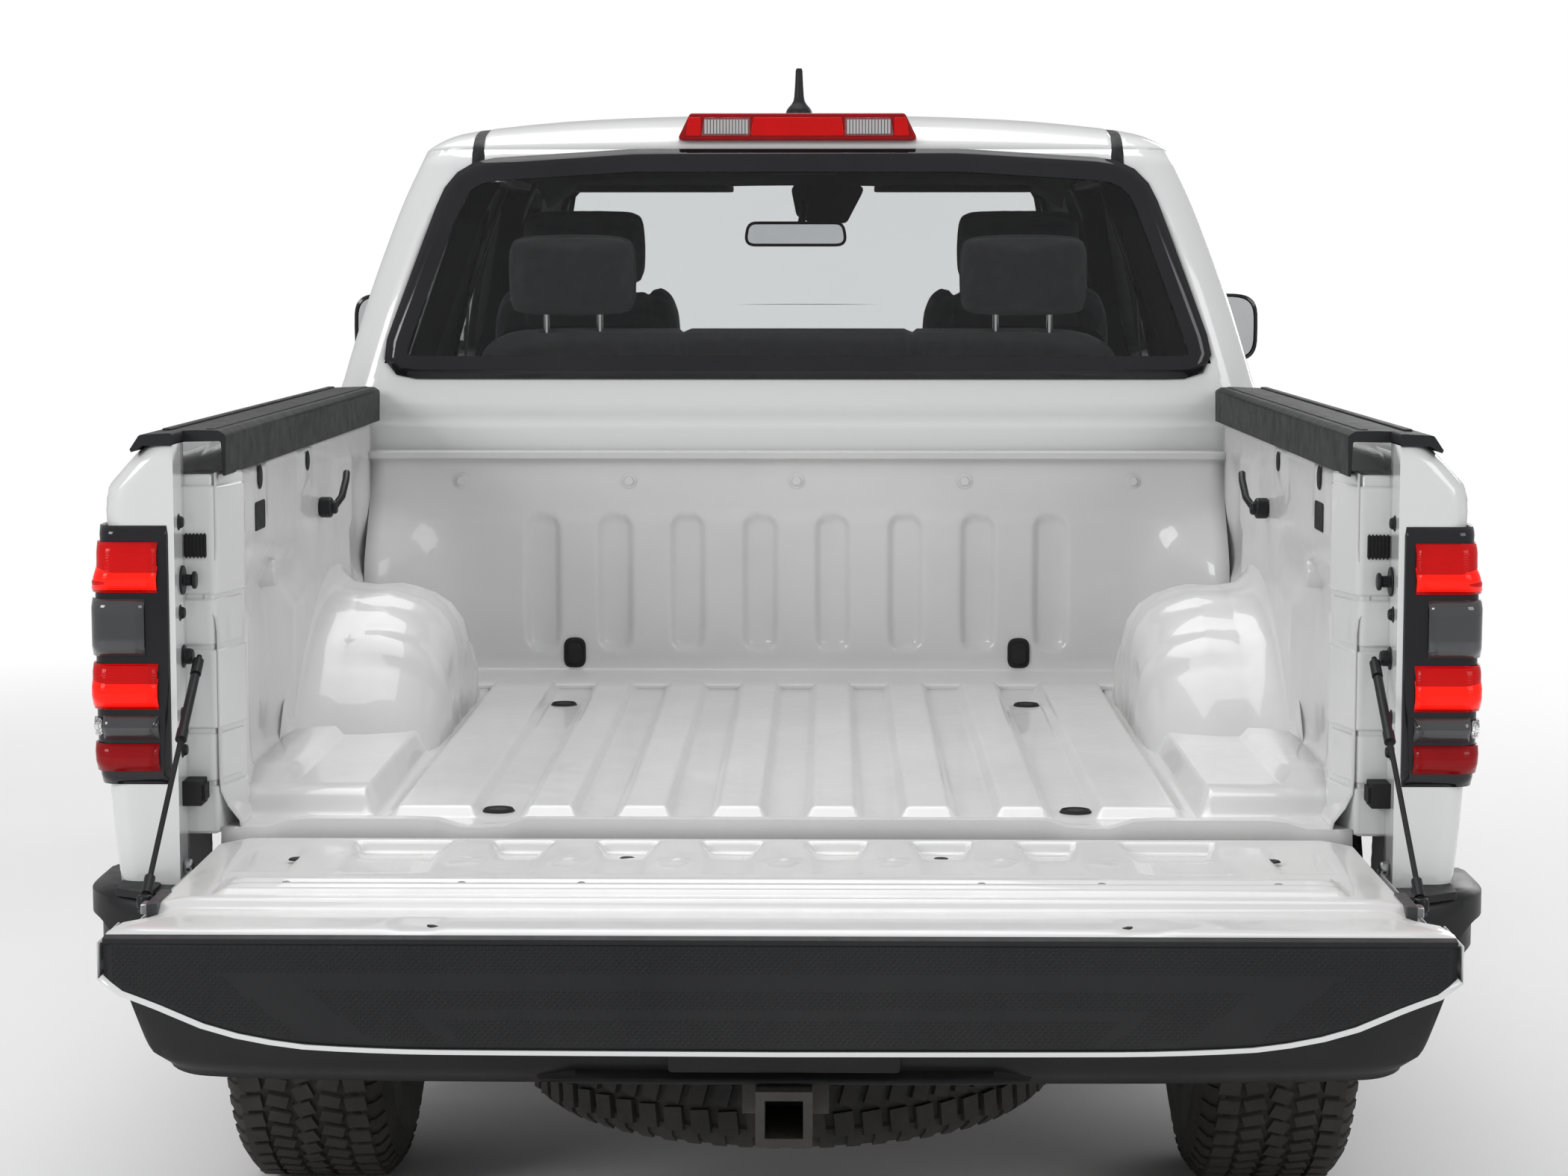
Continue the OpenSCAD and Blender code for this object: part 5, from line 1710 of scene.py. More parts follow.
def scatter(name: str, spots: Sequence[tuple[Point, Point]], tree: bpy.types.NodeTree, sizes: dict[str, float],
            body: str) -> bpy.types.Object:
    """Sets studs on points with a Geometry Nodes tree and keeps the result as a plain mesh.

    Args:
        name: The piece's name.
        spots: Pairs of a point and the direction that its stud faces.
        tree: The tree that makes the studs.
        sizes: Values of the tree's inputs.
        body: The body that the piece rides on.

    Returns:
        The finished piece.
    """
    points = bpy.data.meshes.new(name + "_points")
    points.from_pydata([s[0] for s in spots], [], [])
    facing = points.attributes.new("facing", "FLOAT_VECTOR", "POINT")
    facing.data.foreach_set("vector", [c for s in spots for c in s[1]])
    carrier = bpy.data.objects.new(name + "_points", points)
    bpy.context.scene.collection.objects.link(carrier)
    modifier = carrier.modifiers.new("studs", "NODES")
    modifier.node_group = tree
    for key, value in sizes.items():
        modifier[socket_id(tree, key)] = value
    graph = bpy.context.evaluated_depsgraph_get()
    data = bpy.data.meshes.new_from_object(carrier.evaluated_get(graph), preserve_all_data_layers=False,
                                           depsgraph=graph)
    bpy.data.objects.remove(carrier)
    data.name = name
    obj = bpy.data.objects.new(name, data)
    bpy.context.scene.collection.objects.link(obj)
    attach(obj, body)
    LOG.info("%s rides on %s, %d points", name, body, len(spots))
    return obj


@dataclass
class StepStuds:
    """The small studs that cover the tailgate's step cap, outside its smooth bands."""

    gate: Tailgate
    pitch: float = 0.0078
    radius: float = 0.0031
    height: float = 0.0012

    def smooth_band(self, x: float, down: float) -> bool:
        """Says whether a place lies in one of the smooth nested bands.

        Args:
            x: Place across.
            down: Distance below the cap's top.

        Returns:
            True in a band.
        """
        across = abs(x)
        upper = 0.040 < down < 0.057 and across < 0.625
        wing = 0.040 < down and abs(across - 0.625 + (down - 0.040) * 1.3) < 0.040
        lower = 0.083 < down < 0.092 and across < 0.43
        small = 0.083 < down and abs(across - 0.43 + (down - 0.083) * 1.2) < 0.010
        return upper or wing or lower or small

    def build(self) -> None:
        """Sets the studs."""
        spots: list[tuple[Point, Point]] = []
        rows = int(self.gate.cap_depth / (self.pitch * 0.5))
        for row in range(rows):
            down = 0.010 + row * self.pitch * 0.5
            shift = self.pitch / 2 * (row % 2)
            count = int(self.gate.half / self.pitch)
            for k in range(-count, count + 1):
                x = k * self.pitch + shift
                z = self.gate.end_top - down
                if abs(x) > self.gate.half - 0.016 or z < self.gate.cap_low(x) + 0.014:
                    continue
                if self.smooth_band(x, down):
                    continue
                spots.append(((x, GATE_END - 0.0008, z), (0.0, 1.0, 0.0)))
        tree = scatter_tree("step_studs", 4, GRAINED)
        scatter("tailgate_cap_studs", spots, tree, {"Radius": self.radius, "Height": self.height, "Tip": 0.45},
                "tailgate")


# --------------------------------------------------------------------------
# Tail lamps, brake lamp, rear bumper
# --------------------------------------------------------------------------
@dataclass
class TailLamps:
    """The two tall tail lamps that wrap round the bed's rear corners."""

    inner: float = 0.826
    low: float = 0.846
    high: float = 1.196
    front: float = BED_END - 0.150

    def outline(self, z: float, proud: float) -> list[Flat]:
        """The lamp's surface seen from above at one height, from its inner edge to the side.

        Args:
            z: Height.
            proud: How far it stands out of the body.

        Returns:
            Points as X and Y.
        """
        wide = BODY.bed_x(BED_END - 0.03, z) + proud - 0.002
        back = BED_END + proud
        r = 0.026
        points = [(self.inner, back - 0.004), (self.inner + 0.004, back)]
        points += [(self.inner + (wide - r - self.inner) * t, back) for t in (0.2, 0.4, 0.6, 0.8)]
        points += [(wide - r + r * math.sin(a), back - r + r * math.cos(a))
                   for a in (k * math.pi / 16 for k in range(9))]
        points += [(wide, back - r - t * (back - r - self.front)) for t in (0.25, 0.5, 0.75, 1.0)]
        return points

    def sheet(self, piece: Piece, low: float, high: float, proud: float, finish: Finish, first: int = 0,
              last: int = 19, slant: float = 0.0) -> None:
        """Adds one lens or housing sheet.

        Args:
            piece: The mesh to add to.
            low: Its lower edge.
            high: Its upper edge.
            proud: How far it stands out of the body.
            finish: Its finish.
            first: The first outline point that it covers.
            last: The last one.
            slant: Extra height at the side end.
        """
        count = max(2, int((high - low) / 0.012))
        levels = [low + (high - low) * k / count for k in range(count + 1)]
        size = min(last, 19) - first

        def place(z: float, k: float) -> Point:
            """Places one point of the sheet."""
            x, y = self.outline(z, proud)[first + int(k)]
            rim = min(z - low, high - z)
            edge = 0.003 * smooth_step(0.006, 0.0, rim)
            return (x - edge * 0.4, y - edge, z + slant * (k / size))

        piece.grid(levels, list(range(size)), place, finish)

    def build(self) -> None:
        """Makes the housings, the coloured lenses and the side corners."""
        housing = Piece("tail_lamp_housings")
        self.sheet(housing, self.low, self.high, 0.004, GLOSS_BLACK)
        housing.mirrored().done("root", "black_plastic", wall=CASING, smooth=SOFTENED, replaces=("tail_lamps",))
        lenses = Piece("tail_lamp_lenses")
        blocks = (
            (1.106, 1.174, RED_LENS, 2, 16), (1.020, 1.098, SMOKED, 3, 14), (0.948, 1.010, RED_LENS, 2, 18),
            (0.908, 0.940, SMOKED, 2, 9), (0.912, 0.936, CLEAR, 9, 15), (0.864, 0.902, DARK_RED, 2, 16),
        )
        for low, high, finish, first, last in blocks:
            self.sheet(lenses, low, high, 0.0085, finish, first, last)
        lenses.mirrored().done("root", "red_lens", wall=MOULDED, smooth=SOFTENED)
        glow = Piece("tail_lamp_reflectors")
        for low, high in ((1.110, 1.142), (0.952, 0.990)):
            self.sheet(glow, low, high, 0.0098, BRIGHT_RED, 2, 15)
        glow.mirrored().done("root", "red_lens", wall=FOIL, smooth=SOFTENED)


@dataclass
class BrakeLamp:
    """The high brake lamp on the roof's rear edge."""

    y: float = corners("brake_lamp")[1].y
    low: float = corners("brake_lamp")[0].z
    high: float = corners("brake_lamp")[1].z
    top_half: float = 0.200
    foot_half: float = 0.225

    def build(self) -> None:
        """Makes the housing, the red lens and the two clear cargo lenses."""
        housing = Piece("brake_lamp_housing")
        outline = rounded([(-self.foot_half, self.low), (self.foot_half, self.low), (self.top_half, self.high),
                           (-self.top_half, self.high)], 0.008)
        housing.prism(outline, self.y - 0.05, self.y, "y", DARK_RED, 0.985)
        housing.done("root", "red_lens", Rounding.SOFT, replaces=("brake_lamp",))
        lens = Piece("brake_lamp_lenses")
        low, high = self.low + 0.008, self.high - 0.008

        def panel(x0: float, x1: float, finish: Finish) -> None:
            """Adds one lens between two places across."""
            lean = 0.006
            points = [(x0 - (lean if x0 < 0 else 0), low), (x1 + (lean if x1 > 0 else 0), low), (x1, high), (x0, high)]
            lens.prism(rounded(points, 0.004, 4), self.y - 0.004, self.y + 0.003, "y", finish, 0.985)

        panel(-0.082, 0.082, RED_LENS)
        for s in (-1, 1):
            panel(*sorted((s * 0.086, s * 0.172)), CLEAR)
            panel(*sorted((s * 0.177, s * 0.200)), RED_LENS)
        lens.done("root", "clear_lens", Rounding.FINE)
        bulbs = Piece("cargo_lamp_reflectors")
        for s in (-1, 1):
            for k in range(14):
                x = s * (0.091 + 0.0058 * k)
                bulbs.block((min(x, x + s * 0.0042), self.y - 0.006, low + 0.004),
                            (max(x, x + s * 0.0042), self.y + 0.0035, high - 0.004), CHROME)
        bulbs.done("root", "clear_lens")


@dataclass
class RearBumper:
    """The wrap-round rear step bumper."""

    half: float = 0.948
    front: float = BED_END - 0.150
    back: float = BED_END + 0.110
    low: float = 0.455
    step: float = 0.696
    corner: float = 0.708
    power: float = 5.0

    def plan(self, t: float, inset: float) -> Flat:
        """A point of the bumper's outline seen from above.

        Args:
            t: From 0 at the left front end, through 1 at the middle, to 2.
            inset: Distance inside the outline.

        Returns:
            X and Y.
        """
        angle = math.pi * t / 2
        c, s = math.cos(angle), math.sin(angle)
        x = math.copysign(abs(c) ** (2 / self.power), c) * (self.half - inset)
        y = self.front + abs(s) ** (2 / self.power) * (self.back - inset - self.front)
        return (x, y)

    def lower(self, x: float) -> float:
        """Height of the bumper's lower edge at a place across."""
        across = abs(x)
        return self.low + 0.055 * smooth_step(0.80, self.half, across) ** 2 + 0.10 * smooth_step(0.86, 0.93, across)

    def build(self) -> None:
        """Makes the shell, its step pads, the plate recess and the lower valance."""
        shell = Piece("rear_bumper_shell")
        ts = [2 * k / 120 for k in range(121)]
        vs = [0.0, 0.02, 0.05, 0.10, 0.18, 0.28, 0.40, 0.50, 0.58, 0.62, 0.66, 0.75, 0.85, 0.93, 0.97, 0.99, 1.0]

        def place(t: float, v: float) -> Point:
            """Places one point of the shell."""
            x = self.plan(t, 0.0)[0]
            low = self.lower(x)
            high = self.step + (self.corner - self.step) * smooth_step(0.79, 0.83, abs(x))
            round_in = 0.012 * (smooth_step(0.93, 1.0, v) ** 2) + 0.03 * smooth_step(0.18, 0.0, v) ** 2
            crease = 0.012 * smooth_step(0.60, 0.55, v)
            x2, y2 = self.plan(t, round_in + crease)
            recess = box_distance(x, low + v * (high - low), 0.0, 0.515, 0.33, 0.055, 0.02)
            y2 -= 0.028 * smooth_step(0.004, -0.006, recess)
            return (x2, y2, low + v * (high - low))

        shell.grid(ts, vs, place, SATIN_BLACK)
        top = []
        for t in ts:
            x, y, z = place(t, 1.0)
            inner_y = BED_END + 0.004 if abs(x) < 0.815 else y - 0.075
            inner_x = max(-0.905, min(0.905, x)) if abs(x) < 0.87 else math.copysign(0.86, x)
            top += [(x, y, z), (inner_x, min(inner_y, y - 0.002) if abs(x) < 0.87 else min(y, BED_END), z + 0.0005)]
        shell.add(top, [(2 * i, 2 * i + 1, 2 * i + 3, 2 * i + 2) for i in range(len(ts) - 1)], SATIN_BLACK)
        shell.done("root", "black_plastic", wall=TRIM, smooth=CRISP, replaces=("rear_bumper",))
        pads = Piece("bumper_step_pads")
        z = self.corner + 0.001
        for s in (-1, 1):
            outline = rounded([(s * 0.842, BED_END + 0.008), (s * 0.900, BED_END - 0.03), (s * 0.896, BED_END + 0.05),
                               (s * 0.842, BED_END + 0.085)], 0.01)
            pads.prism(outline, z - 0.006, z + 0.004, "z", GRAINED)
        outline = rounded([(-0.20, BED_END + 0.016), (0.20, BED_END + 0.016), (0.17, BED_END + 0.092),
                           (-0.17, BED_END + 0.092)], 0.01)
        pads.prism(outline, self.step - 0.004, self.step + 0.004, "z", GRAINED)
        pads.done("root", "black_plastic", Rounding.FINE)
        plate = Piece("blank_number_plate")
        outline = rounded([(-0.155, 0.470), (0.155, 0.470), (0.155, 0.562), (-0.155, 0.562)], 0.006)
        plate.prism(outline, self.back - 0.045, self.back - 0.036, "y", SATIN_BLACK)
        plate.done("root", "black_plastic", Rounding.FINE)
        lamps = Piece("plate_lamps")
        for s in (-1, 1):
            lamps.block((s * 0.2 - 0.02, self.back - 0.034, 0.566), (s * 0.2 + 0.02, self.back - 0.012, 0.580), CLEAR)
        lamps.done("root", "clear_lens", Rounding.FINE)


# --------------------------------------------------------------------------
# Cab shell, roof and fixed glass
# --------------------------------------------------------------------------
@dataclass
class CabShell:
    """The fixed cab: quarters and back panel, roof rails and pillars, roof, screens and sills."""

    corner: float = 0.075
    crown: tuple[Flat, ...] = (
        (1.010, 1.757), (1.060, 1.780), (1.140, 1.803), (1.280, 1.824), (1.500, 1.837), (1.800, 1.838),
        (2.200, 1.832), (2.480, 1.815), (2.575, 1.794), (2.612, 1.766), (2.618, 1.752),
    )
    drop: tuple[Flat, ...] = (
        (0.0, 0.0), (0.20, 0.002), (0.40, 0.010), (0.56, 0.026), (0.625, 0.038), (0.660, 0.053), (0.680, 0.070),
        (0.690, 0.086),
    )
    side: float = 0.690
    seam: float = 1.752
    ditch: float = 0.588

    def back(self, z: float) -> float:
        """Place of the back panel at a height."""
        flat = behind(curve_through(((0.47, 2.420), (0.56, 2.460), (0.62, 2.700), (0.66, 2.710), (1.250, 2.710),
                                     (1.300, 2.706), (1.45, 2.680), (1.752, 2.618)), z))
        groove = 1 - smooth_step(0.004, 0.010, abs(z - 1.262))
        return flat - 0.004 * groove

    def rear_edge(self, z: float) -> float:
        """Place of the rear door opening's rear edge at a height."""
        return behind(curve_through(((0.490, 2.188), (0.530, 2.205), (0.640, 2.300), (0.700, 2.306), (1.302, 2.306),
                                     (1.420, 2.288), (1.645, 2.240), (1.700, 2.200), (1.730, 2.155)), z))

    def build_quarters(self) -> None:
        """Makes the quarters and the back panel as one skin with the rear window's opening."""
        piece = Piece("cab_quarters_and_back")
        zs = lines(0.490, 1.752, 0.030, (1.262, 1.30), 0.005, 2)
        side = [k / 8 for k in range(9)]
        turn = [1 + k / 8 for k in range(1, 9)]
        across = [2 + k / 24 for k in range(1, 25)]

        def place(u: float, z: float) -> Point:
            """Places one point, from the door's edge round the corner to the middle."""
            back = self.back(z)
            r = self.corner
            half = BODY.cab_x(behind(2.5), z)
            if u <= 1:
                y = self.rear_edge(min(z, 1.73)) + u * (back - r - self.rear_edge(min(z, 1.73)))
                return (BODY.cab_x(y, z), y, z)
            if u <= 2:
                a = (u - 1) * math.pi / 2
                return (half - r + r * math.cos(a), back - r + r * math.sin(a), z)
            crown = 0.012 * (1 - ((3 - u)) ** 2) * 0.5
            return ((half - r) * (3 - u), back + crown, z)

        def keep(u: float, z: float) -> bool:
            """Leaves out the cells behind the rear window."""
            x = place(u, z)[0]
            return u < 2 or RearWindow().distance(x, z) > -0.016

        piece.grid(side + turn + across, zs, place, PAINT, keep)
        piece.mirrored().done("root", "body_paint", wall=PRESSED, smooth=CRISP, replaces=("cab_pillars", "roof"))
        seam = Piece("cab_back_seam")
        seam.prism(rounded([(CAB_BACK - 0.006, 1.176), (CAB_BACK + 0.004, 1.178), (CAB_BACK + 0.004, 1.184),
                            (CAB_BACK - 0.006, 1.186)], 0.002), -0.74, 0.74, "x", SEAL)
        seam.done("root", "black_plastic")

    def roof_point(self, x: float, d: float) -> Point:
        """A point of the roof.

        Args:
            x: Place across.
            d: Distance behind the front axle.

        Returns:
            The point.
        """
        share = 1 - curve_through(self.drop, abs(x)) / 0.086
        gutter = 1 - smooth_step(0.004, 0.012, abs(abs(x) - self.ditch))
        rear = 2.618
        inner = abs(x) - (self.side - self.corner)
        if inner > 0:
            rear -= self.corner - math.sqrt(max(0.0, self.corner ** 2 - inner ** 2))
        flat = 1.006 + (d - 1.006) * (rear - 1.006) / (2.618 - 1.006)
        return (x, behind(flat), self.seam + (curve_through(self.crown, d) - self.seam) * share - 0.008 * gutter)

    def build_roof(self) -> None:
        """Makes the roof panel with its ditches and their black strips."""
        piece = Piece("roof_panel")
        xs = lines(-self.side, self.side, 0.06, (-self.ditch, self.ditch, -0.665, 0.665), 0.006, 3)
        ds = [1.006, 1.012, 1.03, 1.06] + [1.1 + 1.4 * k / 22 for k in range(23)] + [2.53, 2.56, 2.585, 2.60, 2.612,
                                                                                       2.618]
        piece.grid(xs, ds, self.roof_point, PAINT)
        piece.done("root", "body_paint", wall=PRESSED, smooth=SOFTENED)
        strips = Piece("roof_ditch_strips")
        for s in (-1, 1):
            path = [self.roof_point(s * self.ditch, 1.06 + 1.53 * k / 40) for k in range(41)]
            path += [self.roof_point(s * self.ditch, d) for d in (2.600, 2.610, 2.616)]
            path.append((s * self.ditch, behind(2.626), path[-1][2] - 0.030))
            rows = [[(p[0] + dx, p[1] + 0.003, p[2] + 0.006 + dz) for p in path]
                    for dx, dz in ((-0.0115, -0.006), (-0.0095, 0.000), (0.0, 0.001), (0.0095, 0.000),
                                   (0.0115, -0.006))]
            strips.sheets(rows, GRAINED)
        strips.done("root", "black_plastic", wall=FOIL, smooth=SOFTENED)

    def build_rails(self) -> None:
        """Makes the A pillars and the roof rails above the doors."""
        piece = Piece("roof_rails_and_pillars")
        low = [(0.464, 1.244), (0.62, 1.366), (0.78, 1.488), (0.94, 1.610), (1.046, 1.688), (1.134, 1.728),
               (1.40, 1.731), (1.70, 1.731), (2.00, 1.731), (2.165, 1.731)]
        rows: list[list[Point]] = []
        count = 48
        for k in range(count + 1):
            t = k / count * (len(low) - 1)
            i = min(int(t), len(low) - 2)
            d = low[i][0] + (low[i + 1][0] - low[i][0]) * (t - i)
            z = low[i][1] + (low[i + 1][1] - low[i][1]) * (t - i)
            y = behind(d)
            foot = Vector((BODY.cab_x(y, z), y, z))
            rise = min(1.0, max(0.0, (d - 0.464) / 0.55))
            if d < 1.03:
                screen = Vector((0.690 - 0.130 * rise, behind(0.418 + 0.552 * rise), 1.257 + 0.482 * rise))
                top = screen + Vector((0.004, 0.0, 0.0))
            else:
                top = Vector((self.side, y, self.seam))
            bow = 1.0 if d < 1.0 else max(0.1, 1 - (d - 1.0) * 4)
            out = (foot + top) / 2 + Vector((0.020, -0.006, 0.016)) * bow
            inside = foot + Vector((-0.030, 0.0, -0.006))
            row = [tuple(inside)]
            for m in range(9):
                s = m / 8
                p = foot * (1 - s) ** 2 + out * 2 * s * (1 - s) + top * s * s
                row.append(tuple(p))
            row.append((top.x - 0.02, top.y, top.z - 0.012))
            rows.append(row)
        piece.sheets(rows, PAINT)
        piece.mirrored().done("root", "body_paint", wall=PRESSED, smooth=CREASED)

    def build_inner(self) -> None:
        """Makes the door openings' inner frames, the B pillars, the headliner and the sills."""
        frames = Piece("door_opening_frames")
        loops = (
            [(0.480, 1.236), (0.480, 0.515), (1.395, 0.515), (1.395, 1.700), (1.150, 1.704), (1.062, 1.668)],
            [(1.458, 0.515), (2.165, 0.515), (2.282, 0.650), (2.282, 1.300), (2.218, 1.632), (2.140, 1.702),
             (1.458, 1.702)],
        )
        for loop in loops:
            ring = rounded(loop, 0.035, 5)
            outer = [(max(0.5, BODY.cab_x(behind(d), z)) - 0.066, behind(d), z) for d, z in ring]
            mid = (sum(p[0] for p in ring) / len(ring), sum(p[1] for p in ring) / len(ring))
            grown = [(mid[0] + (d - mid[0]) * 1.035, mid[1] + (z - mid[1]) * 1.022) for d, z in ring]
            wide = [(BODY.cab_x(behind(d), z) - 0.064, behind(d), z) for d, z in grown]
            inner = [(p[0] - 0.052, p[1], p[2]) for p in outer]
            frames.strip(wide, outer, PAINT, ring=True)
            frames.strip(outer, inner, CABIN, ring=True)
        frames.mirrored().done("root", "body_paint", wall=FOLDED, smooth=CREASED)
        pillar = Piece("b_pillar_trims")
        zs = lines(0.65, 1.72, 0.05)
        pillar.grid([behind(1.398), behind(1.412), behind(1.426), behind(1.440), behind(1.455)], zs,
                    lambda y, z: (BODY.cab_x(y, z) - 0.112 - 0.008 * (1 - abs(y - behind(1.426)) / 0.03), y, z), CABIN)
        pillar.mirrored().done("root", "cabin_plastic", wall=TRIM, smooth=SOFTENED)
        lining = Piece("headliner")
        xs = lines(-0.60, 0.60, 0.08)
        ds = [1.04 + 1.50 * k / 24 for k in range(25)]
        lining.grid(xs, ds, lambda x, d: (x, behind(d), self.roof_point(x * 0.9, d)[2] - 0.045
                                          - 0.05 * smooth_step(0.50, 0.60, abs(x))), HEADLINER)
        lining.done("root", "cabin_plastic", wall=TRIM, smooth=ROUND)
        back = Piece("cab_rear_trim")
        back.grid(lines(-0.78, 0.78, 0.08), lines(0.66, 1.325, 0.05),
                  lambda x, z: (x * (1 - 0.06 * smooth_step(1.1, 1.33, z)), self.back(z) - 0.055, z), CABIN)
        back.done("root", "cabin_plastic", wall=TRIM, smooth=SOFTENED)
        sills = Piece("cab_sills")
        section = [(0.780, 0.600), (0.780, 0.475), (0.866, 0.442), (0.890, 0.458), (0.896, 0.486), (0.868, 0.498),
                   (0.846, 0.500), (0.840, 0.560), (0.838, 0.636), (0.780, 0.640)]
        sills.prism(rounded(section, 0.006, 3), behind(0.47), behind(2.30), "y", PAINT)
        sills.mirrored().done("root", "body_paint", Rounding.FINE)
        plates = Piece("sill_plates")
        for d0, d1 in ((0.62, 1.36), (1.50, 2.14)):
            plates.prism(rounded([(0.790, behind(d0)), (0.842, behind(d0)), (0.842, behind(d1)), (0.790, behind(d1))],
                                 0.01), 0.638, 0.644, "z", CABIN)
        plates.mirrored().done("root", "cabin_plastic", Rounding.FINE)

    def build(self) -> None:
        """Makes the whole cab shell."""
        self.build_quarters()
        self.build_roof()
        self.build_rails()
        self.build_inner()
        RearWindow().build()
        Windscreen().build()


def resampled(outline: Sequence[Flat], count: int) -> list[Flat]:
    """Spreads points evenly along a closed outline, from its first point on.

    Args:
        outline: The outline.
        count: How many points to make.

    Returns:
        The new outline.
    """
    ring = [*outline, outline[0]]
    lengths = [math.dist(a, b) for a, b in zip(ring[:-1], ring[1:])]
    total = sum(lengths)
    out = []
    for k in range(count):
        left = total * k / count
        i = 0
        while left > lengths[i] and i < len(lengths) - 1:
            left -= lengths[i]
            i += 1
        t = left / lengths[i] if lengths[i] else 0.0
        a, b = ring[i], ring[i + 1]
        out.append((a[0] + (b[0] - a[0]) * t, a[1] + (b[1] - a[1]) * t))
    return out


def shrunk(outline: Sequence[Flat], by: float) -> list[Flat]:
    """Moves each point of a closed outline inwards along its own normal.

    Args:
        outline: The outline, evenly sampled.
        by: How far.

    Returns:
        The smaller outline.
    """
    count = len(outline)
    area = sum(outline[i][0] * outline[(i + 1) % count][1] - outline[(i + 1) % count][0] * outline[i][1]
               for i in range(count))
    way = 1.0 if area > 0 else -1.0
    out = []
    for i in range(count):
        a, b = outline[i - 1], outline[(i + 1) % count]
        dx, dy = b[0] - a[0], b[1] - a[1]
        size = math.hypot(dx, dy) or 1.0
        out.append((outline[i][0] - way * dy / size * by, outline[i][1] + way * dx / size * by))
    return out


def pane(name: str, outline: Sequence[Flat], lift: Callable[[float, float], Point], finish: Finish, band: float,
         body: str, slot: str, thick: float = 0.004, replaces: Sequence[str] = (), offset: float = -1.0) -> None:
    """Makes a window pane with a black printed border.

    Args:
        name: The piece's name.
        outline: The pane's outline.
        lift: Turns a point of the outline's plane into a place.
        finish: The glass.
        band: Width of the black border.
        body: The body that it rides on.
        slot: The record's material slot.
        thick: Thickness of the glass.
        replaces: CAD nodes that it stands for.
        offset: Side of the sheet that the thickness goes to.
    """
    piece = Piece(name)
    ring = resampled(outline, 96)
    levels = [ring]
    for _ in range(2):
        levels.append(shrunk(levels[-1], band * 0.5))
    rows = [[lift(*p) for p in level] for level in levels]
    piece.sheets(rows, GLOSS_BLACK, ring=True)
    last = levels[-1]
    mid = (sum(p[0] for p in last) / len(last), sum(p[1] for p in last) / len(last))
    inner = [[(mid[0] + (p[0] - mid[0]) * s, mid[1] + (p[1] - mid[1]) * s) for p in last] for s in (0.8, 0.55, 0.3)]
    rows = [rows[-1]] + [[lift(*p) for p in level] for level in inner]
    piece.sheets(rows, finish, ring=True)
    piece.lid(rows[-1], finish)
    piece.done(body, slot, wall=thick, smooth=CRISP, replaces=replaces, offset=offset)


@dataclass
class RearWindow:
    """The rear window: a dark pane with a wide printed border, bonded over its opening."""

    foot_half: float = 0.778
    top_half: float = 0.634
    low: float = 1.333
    high: float = 1.742

    def outline(self) -> list[Flat]:
        """The rounded outline in the X-Z plane."""
        return rounded([(-self.foot_half, self.low), (self.foot_half, self.low), (self.top_half, self.high - 0.010),
                        (0.30, self.high + 0.011), (-0.30, self.high + 0.011), (-self.top_half, self.high - 0.010)],
                       [0.060, 0.060, 0.120, 0.3, 0.3, 0.120], 8)

    def distance(self, x: float, z: float) -> float:
        """Rough distance outside the outline, negative inside."""
        t = (z - self.low) / (self.high - self.low)
        half = self.foot_half + (self.top_half - self.foot_half) * t
        r = 0.120 if t > 0.5 else 0.060
        dx = abs(x) - half + r
        dz = max(z - self.high, self.low - z) + r
        return math.hypot(max(dx, 0.0), max(dz, 0.0)) + min(max(dx, dz), 0.0) - r

    def build(self) -> None:
        """Makes the pane and the inner trim round it."""
        shell = CabShell()

        def lift(x: float, z: float) -> Point:
            """Places a point of the pane just proud of the back panel."""
            return (x, shell.back(z) + 0.005 + 0.006 * (1 - (x / self.foot_half) ** 2), z)

        pane("rear_window_pane", self.outline(), lift, TINTED, 0.042, "root", "tinted_glass",
             replaces=("rear_window",))
        trim = Piece("rear_window_inner_trim")
        ring = resampled(self.outline(), 96)
        rows = [[(x, shell.back(z) - 0.006, z) for x, z in shrunk(ring, 0.012)],
                [(x, shell.back(z) - 0.030, z) for x, z in shrunk(ring, 0.034)],
                [(x, shell.back(z) - 0.052, z) for x, z in shrunk(ring, 0.010)],
                [(x, shell.back(z) - 0.050, z) for x, z in shrunk(ring, -0.040)]]
        trim.sheets(rows, CABIN, ring=True)
        trim.done("root", "cabin_plastic", wall=FOLDED, smooth=SOFTENED)


